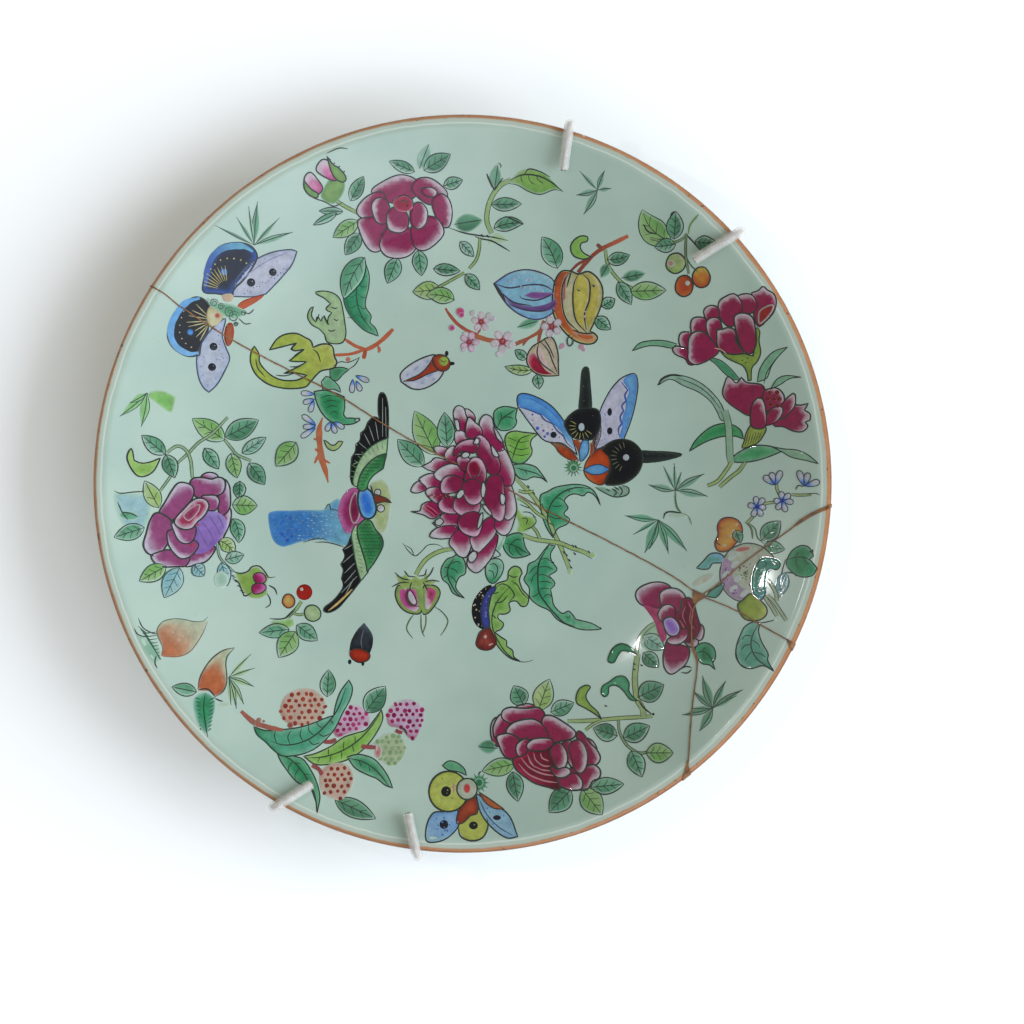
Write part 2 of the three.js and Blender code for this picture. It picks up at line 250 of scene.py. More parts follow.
def ramp(tree: bpy.types.NodeTree, factor: bpy.types.NodeSocket, stops: Sequence) -> bpy.types.NodeSocket:
    """Add a colour ramp with stops of (place, linear colour) and return its colour output.

    Args:
        tree: The material's node tree.
        factor: What the ramp reads.
        stops: Pairs of place and linear colour.

    Returns:
        The ramp's colour.
    """
    made = node(tree, "ShaderNodeValToRGB", in_0=factor)
    elements = made.color_ramp.elements
    while len(elements) < len(stops):
        elements.new(0.5)
    for element, (place, colour) in zip(elements, stops):
        element.position = place
        element.color = colour
    return made.outputs["Color"]


def new_material(name: str) -> tuple[bpy.types.Material, bpy.types.NodeTree, bpy.types.Node]:
    """Make a material with an empty principled shader.

    Args:
        name: Name of the finish.

    Returns:
        The material, its node tree and its principled shader node.
    """
    material = bpy.data.materials.new(name)
    material.use_nodes = True
    tree = material.node_tree
    return material, tree, tree.nodes["Principled BSDF"]


def per_metre(pattern_mm: float) -> float:
    """Scale of a noise texture on coordinates in metres whose blotches are this many mm across.

    Args:
        pattern_mm: Size of one blotch, in millimetres.

    Returns:
        The texture's scale.
    """
    return 1 / (pattern_mm * MM)


@dataclass(frozen=True)
class CeladonGlaze:
    """Feldspathic celadon glaze, dipped and fired glossy, thin and iron brown along the rim, with a painted
    sheen and a painted highlight line on its lip.

    It gives the eye an even cool green-grey that pools and thins very slightly, with a wet gloss.
    """

    body: str = "#9aab9f"
    deep: str = "#8fa297"
    pale_lip_and_sheen: str = "#a7a596"
    ridge_highlight: str = "#cfd2c8"
    iron: str = "#9c6840"
    iron_dark: str = "#6f4325"
    speck: str = "#4d3a2a"
    rim_radius: float = 122.5
    lip_width: float = 4.2

    def colour(self, tree: bpy.types.NodeTree) -> bpy.types.NodeSocket:
        """Add the nodes of the glaze's colour over the face, and return their output.

        Args:
            tree: The material's node tree.

        Returns:
            The glaze's colour.
        """
        place = node(tree, "ShaderNodeTexCoord").outputs["Object"]
        # Slow pooling of the glaze, over about 30 mm.
        pool = node(
            tree, "ShaderNodeTexNoise", Vector=place, Scale=per_metre(30), Detail=3.0, Roughness=0.5
        )
        return ramp(tree, pool.outputs[0], [(0.35, linear(self.body)), (0.7, linear(self.deep))])

    def rim_colour(self, tree: bpy.types.NodeTree, base: bpy.types.NodeSocket) -> bpy.types.NodeSocket:
        """Lay the pale lip (thin glaze with a painted sheen), its painted highlight line and the iron brown
        edge over a base colour.

        Args:
            tree: The material's node tree.
            base: Colour of the glaze inside the lip.

        Returns:
            The whole glaze's colour.
        """
        place = node(tree, "ShaderNodeTexCoord").outputs["Object"]
        flat = node(tree, "ShaderNodeVectorMath", {"operation": "MULTIPLY"}, in_0=place, in_1=(1, 1, 0))
        radius = node(tree, "ShaderNodeVectorMath", {"operation": "LENGTH"}, in_0=flat.outputs[0])
        # The brown edge is wider towards the right and the bottom, where the plate was wiped less.
        lean = node(
            tree, "ShaderNodeVectorMath", {"operation": "DOT_PRODUCT"}, in_0=place,
            in_1=(0.0026, -0.001, 0)
        )
        wave = node(tree, "ShaderNodeTexNoise", Vector=place, Scale=per_metre(7), Detail=4.0, Roughness=0.6)
        wobble = node(
            tree, "ShaderNodeMath", {"operation": "MULTIPLY_ADD"}, in_0=wave.outputs[0], in_1=0.0009,
            in_2=-0.00045
        )
        moved = node(tree, "ShaderNodeMath", in_0=radius.outputs["Value"], in_1=lean.outputs["Value"])
        moved = node(tree, "ShaderNodeMath", in_0=moved.outputs[0], in_1=wobble.outputs[0])
        start = (self.rim_radius - self.lip_width - 1.5) * MM
        span = (self.lip_width + 1.5) * MM
        along = node(
            tree, "ShaderNodeMapRange", Value=moved.outputs[0], From_Min=start, From_Max=start + span
        )
        clear = (*linear(self.pale_lip_and_sheen)[:3], 0.0)
        band = node(tree, "ShaderNodeValToRGB", in_0=along.outputs[0])
        # Going outwards: the lip's thin pale glaze with a painted sheen, a painted highlight line along the
        # lip, then the iron brown edge.
        stops = [
            (0.2, clear),
            (0.4, linear(self.pale_lip_and_sheen, 0.15)),
            (0.46, linear(self.ridge_highlight, 0.5)),
            (0.5, linear(self.ridge_highlight, 0.35)),
            (0.56, linear(self.pale_lip_and_sheen, 0.3)),
            (0.7, linear(self.pale_lip_and_sheen, 0.5)),
            (0.79, linear(self.iron, 0.85)),
            (0.88, linear(self.iron, 1.0)),
            (1.0, linear(self.iron_dark, 1.0)),
        ]
        elements = band.color_ramp.elements
        while len(elements) < len(stops):
            elements.new(0.5)
        for element, (spot, colour) in zip(elements, stops):
            element.position = spot
            element.color = colour
        mixed = node(
            tree, "ShaderNodeMix", {"data_type": "RGBA"},
            in_0=band.outputs["Alpha"], in_6=base, in_7=band.outputs["Color"],
        )
        # Iron specks in the brown edge, about 0.6 mm across.
        grain = node(tree, "ShaderNodeTexNoise", Vector=place, Scale=per_metre(1.6), Detail=2.0)
        dots = node(tree, "ShaderNodeMapRange", Value=grain.outputs[0], From_Min=0.66, From_Max=0.72)
        at_edge = node(tree, "ShaderNodeMapRange", Value=along.outputs[0], From_Min=0.7, From_Max=0.8)
        amount = node(
            tree, "ShaderNodeMath", {"operation": "MULTIPLY"}, in_0=dots.outputs[0],
            in_1=at_edge.outputs[0]
        )
        specked = node(
            tree, "ShaderNodeMix", {"data_type": "RGBA"},
            in_0=amount.outputs[0], in_6=mixed.outputs[2], in_7=linear(self.speck),
        )
        return specked.outputs[2]

    def build(self) -> bpy.types.Material:
        """Make the glaze's material."""
        material, tree, shader = new_material("celadon_glaze")
        colour = self.rim_colour(tree, self.colour(tree))
        place = node(tree, "ShaderNodeTexCoord").outputs["Object"]
        # Pinholes and iron specks in the glaze, a few for each square centimetre.
        fleck = node(tree, "ShaderNodeTexVoronoi", Vector=place, Scale=per_metre(7.0))
        near = node(
            tree, "ShaderNodeMapRange", Value=fleck.outputs["Distance"], From_Min=0.026, From_Max=0.014
        )
        weight = node(tree, "ShaderNodeMath", {"operation": "MULTIPLY"}, in_0=near.outputs[0], in_1=0.45)
        flecked = node(
            tree, "ShaderNodeMix", {"data_type": "RGBA"},
            in_0=weight.outputs[0], in_6=colour, in_7=linear(self.speck),
        )
        tree.links.new(flecked.outputs[2], shader.inputs["Base Color"])
        shader.inputs["Roughness"].default_value = 0.3
        shader.inputs["IOR"].default_value = 1.52
        shader.inputs["Specular IOR Level"].default_value = 0.35
        shader.inputs["Coat Weight"].default_value = 0.2
        shader.inputs["Coat Roughness"].default_value = 0.1
        # Orange peel of the fired glaze, 4 mm across and a few hundredths of a mm deep.
        peel = node(tree, "ShaderNodeTexNoise", Vector=place, Scale=per_metre(5.0), Detail=2.0)
        bump = node(tree, "ShaderNodeBump", Strength=0.25, Distance=0.00006, Height=peel.outputs[0])
        tree.links.new(bump.outputs[0], shader.inputs["Normal"])
        return material


@dataclass(frozen=True)
class OverglazeEnamel:
    """Famille rose enamel painted over the glaze and fired again, glassy and slightly raised.

    It gives the eye translucent washes that let the celadon through where they thin out.
    """

    glaze: CeladonGlaze = CeladonGlaze()

    def build(self) -> bpy.types.Material:
        """Make the enamel's material, which reads its pigment and strength from the piece."""
        material, tree, shader = new_material("overglaze_enamel")
        under = self.glaze.colour(tree)
        place = node(tree, "ShaderNodeTexCoord").outputs["Object"]
        pigment = node(tree, "ShaderNodeAttribute", {"attribute_name": "pigment"})
        # Brushed washes gather and thin over about 2 mm.
        brush = node(
            tree, "ShaderNodeTexNoise", Vector=place, Scale=per_metre(2.6), Detail=4.0, Roughness=0.65
        )
        tone = node(
            tree, "ShaderNodeMapRange", Value=brush.outputs[0], From_Min=0.3, From_Max=0.7, To_Min=0.56,
            To_Max=0.83
        )
        # Pale enamels are thin, and never as bright as a bare white.
        value = node(tree, "ShaderNodeRGBToBW", Color=pigment.outputs["Color"])
        thin = node(tree, "ShaderNodeMapRange", Value=value.outputs[0], To_Min=1.0, To_Max=0.45)
        both = node(
            tree, "ShaderNodeMath", {"operation": "MULTIPLY"}, in_0=tone.outputs[0], in_1=thin.outputs[0]
        )
        toned = node(
            tree, "ShaderNodeVectorMath", {"operation": "SCALE"}, in_0=pigment.outputs["Color"],
            Scale=both.outputs[0]
        )
        mixed = node(
            tree, "ShaderNodeMix", {"data_type": "RGBA"},
            in_0=pigment.outputs["Alpha"], in_6=under, in_7=toned.outputs[0],
        )
        tree.links.new(mixed.outputs[2], shader.inputs["Base Color"])
        shader.inputs["Roughness"].default_value = 0.3
        shader.inputs["IOR"].default_value = 1.54
        shader.inputs["Specular IOR Level"].default_value = 0.2
        shader.inputs["Coat Weight"].default_value = 0.25
        shader.inputs["Coat Roughness"].default_value = 0.03
        bump = node(tree, "ShaderNodeBump", Strength=0.5, Distance=0.0002, Height=brush.outputs[0])
        tree.links.new(bump.outputs[0], shader.inputs["Normal"])
        return material


@dataclass(frozen=True)
class Biscuit:
    """Unglazed fired porcelain of the foot ring's base, with shelf grime rubbed in."""

    clean: str = "#d9cdb8"
    grime: str = "#8d7a62"

    def build(self) -> bpy.types.Material:
        """Make the biscuit's material."""
        material, tree, shader = new_material("porcelain_biscuit")
        place = node(tree, "ShaderNodeTexCoord").outputs["Object"]
        dirt = node(
            tree, "ShaderNodeTexNoise", Vector=place, Scale=per_metre(9), Detail=6.0, Roughness=0.65
        )
        colour = ramp(tree, dirt.outputs[0], [(0.4, linear(self.clean)), (0.72, linear(self.grime))])
        tree.links.new(colour, shader.inputs["Base Color"])
        shader.inputs["Roughness"].default_value = 0.82
        grit = node(tree, "ShaderNodeTexNoise", Vector=place, Scale=per_metre(0.5), Detail=3.0)
        bump = node(tree, "ShaderNodeBump", Strength=0.4, Distance=0.00005, Height=grit.outputs[0])
        tree.links.new(bump.outputs[0], shader.inputs["Normal"])
        return material


@dataclass(frozen=True)
class BrokenBody:
    """Broken face of the porcelain body, grainy and stained by old glue."""

    body: str = "#cfc8bb"
    stain: str = "#7d5c3c"

    def build(self) -> bpy.types.Material:
        """Make the broken face's material."""
        material, tree, shader = new_material("broken_porcelain")
        place = node(tree, "ShaderNodeTexCoord").outputs["Object"]
        soak = node(tree, "ShaderNodeTexNoise", Vector=place, Scale=per_metre(3), Detail=5.0)
        colour = ramp(tree, soak.outputs[0], [(0.4, linear(self.body)), (0.62, linear(self.stain))])
        tree.links.new(colour, shader.inputs["Base Color"])
        shader.inputs["Roughness"].default_value = 0.7
        return material


@dataclass(frozen=True)
class AgedGlue:
    """Animal or resin glue gone brown, squeezed out in a thin glossy line with dust in it."""

    fresh: str = "#80562f"
    dark: str = "#563820"

    def build(self) -> bpy.types.Material:
        """Make the glue's material."""
        material, tree, shader = new_material("aged_brown_glue")
        place = node(tree, "ShaderNodeTexCoord").outputs["Object"]
        dust = node(tree, "ShaderNodeTexNoise", Vector=place, Scale=per_metre(2.2), Detail=5.0)
        colour = ramp(tree, dust.outputs[0], [(0.35, linear(self.dark)), (0.65, linear(self.fresh))])
        tree.links.new(colour, shader.inputs["Base Color"])
        rough = node(tree, "ShaderNodeMapRange", Value=dust.outputs[0], To_Min=0.3, To_Max=0.55)
        tree.links.new(rough.outputs[0], shader.inputs["Roughness"])
        shader.inputs["IOR"].default_value = 1.5
        bump = node(tree, "ShaderNodeBump", Strength=0.5, Distance=0.00006, Height=dust.outputs[0])
        tree.links.new(bump.outputs[0], shader.inputs["Normal"])
        return material


@dataclass(frozen=True)
class SpringSteel:
    """Drawn spring steel, dull bright with fine draw lines and a little tarnish."""

    bright: str = "#a8a7a2"
    tarnish: str = "#75716a"

    def build(self) -> bpy.types.Material:
        """Make the steel's material."""
        material, tree, shader = new_material("drawn_spring_steel")
        place = node(tree, "ShaderNodeTexCoord").outputs["Object"]
        age = node(tree, "ShaderNodeTexNoise", Vector=place, Scale=per_metre(6), Detail=5.0)
        colour = ramp(tree, age.outputs[0], [(0.4, linear(self.bright)), (0.75, linear(self.tarnish))])
        tree.links.new(colour, shader.inputs["Base Color"])
        shader.inputs["Metallic"].default_value = 1.0
        rough = node(tree, "ShaderNodeMapRange", Value=age.outputs[0], To_Min=0.24, To_Max=0.44)
        tree.links.new(rough.outputs[0], shader.inputs["Roughness"])
        return material


@dataclass(frozen=True)
class ClearVinyl:
    """Clear plasticised PVC tube, cloudy with age, that shows the wire inside it."""

    tint: str = "#f0ede8"

    def build(self) -> bpy.types.Material:
        """Make the vinyl's material."""
        material, tree, shader = new_material("clear_vinyl_tube")
        place = node(tree, "ShaderNodeTexCoord").outputs["Object"]
        cloud = node(tree, "ShaderNodeTexNoise", Vector=place, Scale=per_metre(3), Detail=3.0)
        colour = ramp(tree, cloud.outputs[0], [(0.3, linear(self.tint)), (0.8, linear("#cfc9c3"))])
        tree.links.new(colour, shader.inputs["Base Color"])
        shader.inputs["Roughness"].default_value = 0.16
        shader.inputs["IOR"].default_value = 1.53
        shader.inputs["Alpha"].default_value = 0.3
        return material


# ---- the plate, its breaks and its glue ----


@dataclass
class PlateForm:
    """Section of the plate, in millimetres, with heights above the surface that the hanger rests on."""

    rim_radius: float
    foot_plane: float = 1.9
    floor_top: float = 10.2
    floor_thickness: float = 4.4
    well_radius: float = 58.0
    well_dish: float = 0.6
    wall_rise: float = 17.0
    wall_curve: float = 1.7
    wall_thickness: float = 3.8
    lip_thickness: float = 3.0
    lip_width: float = 4.2
    lip_slope: float = 0.15
    lip_blend: float = 0.9
    edge_radius: float = 1.4
    foot_outer: float = 68.2
    foot_inner: float = 62.6
    foot_height: float = 5.4
    foot_round: float = 1.1
    wall_start: float = 60.0
    wall_steps: int = 38
    lip_steps: int = 6
    edge_steps: int = 12
    edge_sweep: float = 160.0
    back_end: float = 74.0
    back_margin: float = 0.6
    back_steps: int = 24
    well_radii: tuple[int, ...] = (6, 14, 24, 34, 44, 52, 56, 58, 60)
    foot_turns: tuple[int, ...] = (0, 30, 60, 90)
    facets: int = 288

    @property
    def lip_start(self) -> float:
        """Radius where the wall turns out into the lip."""
        return self.rim_radius - self.lip_width

    @property
    def edge_centre(self) -> float:
        """Radius of the middle of the rounded edge."""
        return self.rim_radius - self.edge_radius

    def face(self, radius: np.ndarray) -> np.ndarray:
        """Height of the painted face at a radius, without the edge's rounding.

        Args:
            radius: Distance from the axis.

        Returns:
            The height there.
        """
        radius = np.asarray(radius, float)
        dish = self.floor_top + self.well_dish * np.minimum(radius / self.well_radius, 1) ** 2
        span = self.lip_start - self.well_radius
        climb = np.clip(radius - self.well_radius, 0, span) / span
        wall = self.wall_rise * climb ** self.wall_curve
        past = radius - self.lip_start
        lip = self.lip_slope * np.maximum(past, 0)
        # The lip leaves the wall's slope over a short round blend.
        bend = self.wall_rise * self.wall_curve / span - self.lip_slope
        within = np.clip(self.lip_blend - np.abs(past), 0, None)
        return self.foot_plane + dish + wall + lip - bend * within**2 / (4 * self.lip_blend)

    def back_wall(self, radius: float) -> float:
        """Height of the back of the wall at a radius.

        Args:
            radius: Distance from the axis.

        Returns:
            The height there.
        """
        along = (radius - self.foot_outer) / (self.lip_start - self.foot_outer)
        thickness = self.wall_thickness + (self.lip_thickness - self.wall_thickness) * along
        slope = float(self.face(radius + 0.5) - self.face(radius - 0.5))
        return float(self.face(radius)) - thickness * math.hypot(1, slope)

    def section(self, grow: float = 0.0) -> list[tuple[float, float]]:
        """Half section from the axis on the face, round the edge, and back to the axis underneath.

        Args:
            grow: How far the surface is moved out, for glue that stands proud of the plate.

        Returns:
            Pairs of radius and height.
        """
        points = [(0.0, float(self.face(0)) + grow)]
        for radius in self.well_radii:
            points.append((radius, float(self.face(radius)) + grow))
        blend_start = self.lip_start - self.lip_blend
        for i in range(1, self.wall_steps + 1):
            radius = self.wall_start + (blend_start - self.wall_start) * i / self.wall_steps
            points.append((radius, float(self.face(radius)) + grow))
        for i in range(1, self.lip_steps + 1):
            radius = blend_start + 2 * self.lip_blend * i / self.lip_steps
            points.append((radius, float(self.face(radius)) + grow))
        top = float(self.face(self.edge_centre))
        points.append((self.edge_centre - 1, float(self.face(self.edge_centre - 1)) + grow))
        middle = top - self.edge_radius
        tilt = math.degrees(math.atan(self.lip_slope))
        for i in range(self.edge_steps + 1):
            turn = math.radians(90 + tilt - (self.edge_sweep + tilt) * i / self.edge_steps)
            reach = self.edge_radius + grow
            points.append((self.edge_centre + reach * math.cos(turn), middle + reach * math.sin(turn)))
        back_start = self.lip_start - self.back_margin
        for i in range(self.back_steps + 1):
            radius = back_start - (back_start - self.back_end) * i / self.back_steps
            points.append((radius, self.back_wall(radius) - grow))
        points += self.foot_section(grow)
        return points

    def foot_section(self, grow: float) -> list[tuple[float, float]]:
        """The foot ring and the recess inside it, from the outside to the axis.

        Args:
            grow: How far the surface is moved out.

        Returns:
            Pairs of radius and height.
        """
        base = self.foot_plane
        outer, inner = self.foot_outer, self.foot_inner
        flare = (outer - inner) / 5
        turn = self.foot_round
        points = [
            (outer + flare + 2.2, base + self.foot_height + 0.9 - grow),
            (outer + flare + 0.8, base + self.foot_height + 0.1 - grow),
            (outer + flare * 0.8 + grow, base + self.foot_height - 1.3),
        ]
        for angle in self.foot_turns:
            lean = math.radians(angle)
            points.append(
                (
                    outer - turn + (turn + grow) * math.cos(lean),
                    base + turn - (turn + grow) * math.sin(lean)
                )
            )
        for angle in self.foot_turns[::-1]:
            lean = math.radians(angle)
            points.append(
                (
                    inner + turn - (turn + grow) * math.cos(lean),
                    base + turn - (turn + grow) * math.sin(lean)
                )
            )
        recess = base + self.floor_top - self.floor_thickness
        points += [
            (inner - flare * 0.7 - grow, recess - 1.6),
            (inner - flare - 0.8 - grow, recess - 0.4 - grow * 0.5),
            (inner - flare - 2.2, recess - grow),
            (inner - 20, recess - grow),
            (inner - 40, recess - grow),
            (0.0, recess - grow),
        ]
        return points

    def spun(self, name: str, grow: float = 0.0, steps: int = 0) -> bpy.types.Object:
        """Spin the section about the plate's axis into one closed shell.

        Args:
            name: Name of the new object.
            grow: How far the surface is moved out.
            steps: Facets round the axis, or the form's own where 0.

        Returns:
            The closed shell.
        """
        deselect()
        bpy.ops.mesh.primitive_plane_add(size=MM)
        piece = bpy.context.active_object
        piece.name = piece.data.name = name
        bpy.ops.object.mode_set(mode="EDIT")
        bpy.ops.mesh.select_all(action="SELECT")
        bpy.ops.mesh.merge(type="CENTER")
        section = self.section(grow)
        spot = Vector((section[0][0], 0, section[0][1])) * MM
        bpy.ops.transform.translate(value=spot)
        for radius, height in section[1:]:
            following = Vector((radius, 0, height)) * MM
            bpy.ops.mesh.extrude_region_move(TRANSFORM_OT_translate={"value": following - spot})
            spot = following
        bpy.ops.mesh.select_all(action="SELECT")
        bpy.ops.mesh.spin(steps=steps or self.facets, angle=2 * math.pi, center=(0, 0, 0), axis=(0, 0, 1))
        bpy.ops.mesh.select_all(action="SELECT")
        bpy.ops.mesh.remove_doubles(threshold=SECTION_WELD)
        bpy.ops.mesh.normals_make_consistent(inside=False)
        bpy.ops.object.mode_set(mode="OBJECT")
        return piece


@dataclass(frozen=True)
class Crack:
    """One crack through the plate, along points in plan, with a width that wanders."""

    film: str
    knots: tuple[tuple[float, float], ...]
    wide_from: float = 2.0
    wide_to: float = 2.0
    wide: float = 0.0
    half: float = 0.21
    rough_by: float = 0.02
    drift_by: float = 0.06
    drift_over: int = 9
    widens_over: float = 0.06
    narrows_over: float = 0.04
    jag_by: float = 0.05

    def line(self, spacing: float = 1.6) -> np.ndarray:
        """Points along the crack.

        Args:
            spacing: Distance between points, in millimetres.

        Returns:
            The points, one a row.
        """
        return through(self.knots, spacing)

    def half_widths(self, count: int, seed: int) -> np.ndarray:
        """Half the crack's width at each of its points, in millimetres.

        Args:
            count: How many points the crack has.
            seed: Seed of the wandering width.

        Returns:
            Half the width at each point.
        """
        rng = np.random.default_rng(seed)
        rough = rng.uniform(-1, 1, count)
        slow = np.convolve(
            rng.uniform(-1, 1, count), np.ones(self.drift_over) / self.drift_over, mode="same"
        )
        along = np.linspace(0, 1, count)
        bulge = smoothstep(self.wide_from, self.wide_from + self.widens_over, along)
        bulge = bulge * (1 - smoothstep(self.wide_to - self.narrows_over, self.wide_to, along))
        return self.half + self.rough_by * rough + self.drift_by * slow + self.wide * bulge

    def ribbon(self, name: str, seed: int, trim: float = 0.0) -> bpy.types.Object:
        """Upright sheet that follows the crack and passes right through the plate.

        Args:
            name: Name of the new object.
            seed: Seed of the wandering width, the same for the cut and its glue.
            trim: How much thinner each side is than the crack.

        Returns:
            The closed sheet.
        """
        line = self.line()
        tangent = np.gradient(line, axis=0)
        tangent /= np.linalg.norm(tangent, axis=1)[:, None]
        normal = np.stack([-tangent[:, 1], tangent[:, 0]], axis=1)
        half = (self.half_widths(len(line), seed) - trim)[:, None]
        jag = np.random.default_rng(seed + 1).uniform(-self.jag_by, self.jag_by, (len(line), 1))
        left, right = line + normal * (jag + half), line + normal * (jag - half)
        return upright(name, left, right)


def upright(
    name: str, left: np.ndarray, right: np.ndarray, low: float = CUT_LOW, high: float = CUT_HIGH
) -> bpy.types.Object:
    """Close the upright sheet between two plan lines, in millimetres, from a low to a high level.

    Args:
        name: Name of the new object.
        left: One side's line in plan.
        right: The other side's line in plan.
        low: Its lower level.
        high: Its upper level.

    Returns:
        The closed sheet.
    """
    count = len(left)
    rows = [
        np.column_stack([line, np.full(count, level)]) for line in (left, right) for level in (low, high)
    ]
    corners = np.concatenate(rows) * MM
    faces = []
    for i in range(count - 1):
        a, b, c, d = i, count + i, 2 * count + i, 3 * count + i
        faces += [(a, a + 1, b + 1, b), (c, d, d + 1, c + 1), (b, b + 1, d + 1, d), (a, c, c + 1, a + 1)]
    for i, flip in ((0, False), (count - 1, True)):
        end = (i, count + i, 3 * count + i, 2 * count + i)
        faces.append(end[::-1] if flip else end)
    piece = mesh_object(name, corners, faces)
    face_outwards(piece)
    return piece


def cut(piece: bpy.types.Object, tool: bpy.types.Object, operation: str = "DIFFERENCE") -> None:
    """Cut or trim a closed piece with a closed tool, whose finish the new faces take.

    Args:
        piece: The piece to cut.
        tool: The closed tool.
        operation: Kind of Boolean cut.
    """
    modifier = piece.modifiers.new(operation.lower(), "BOOLEAN")
    modifier.operation = operation
    modifier.object = tool
    modifier.solver = "MANIFOLD"
    only(piece)
    bpy.ops.object.modifier_apply(modifier=modifier.name)


JUNCTION = (79.6, -37.5)
CRACKS = (
    Crack(
        "glue_film_long",
        (
            (-140, 82), (-103.3, 65.5), (-93.7, 58.8), (-76.7, 47.9), (-57.9, 38), (-42.3, 30),
            (-25, 19.1), (-8.8, 10.1), (9, 1.5), (28.3, -9), (48.6, -19.1), (68.8, -30), JUNCTION,
        )
    ),
    Crack(
        "glue_film_right",
        (JUNCTION, (85.4, -33.5), (94.3, -26), (106.9, -16.7), (117.5, -9.4), (140, -1),), wide_from=0.52,
        wide_to=1.2, wide=0.36
    ), Crack("glue_film_lower_right", (JUNCTION, (91.3, -42.3), (104.3, -49.9), (140, -69))),
    Crack(
        "glue_film_down",
        (JUNCTION, (76.9, -43), (76.7, -53.9), (78.3, -60), (76.4, -74.8), (74.9, -92), (72.5, -130),),
        wide_from=0.14, wide_to=0.26, wide=0.25
    ),
)
LOST_SPLINTERS = {
    "junction_fill": ((77, -35.2), (82, -37.5), (77, -40.6)),
    "lower_rim_fill": ((74.4, -91.7), (72.2, -101.8), (77.2, -100.9)),
    "right_rim_fill": ((107.2, -51.6), (110.2, -57.2), (113, -54.2)),
}
SHARD_MIDDLES = {
    "shard_upper": (20, 60),
    "shard_lower": (-40, -40),
    "shard_right": (105, -32),
    "shard_lower_right": (90, -70),
}


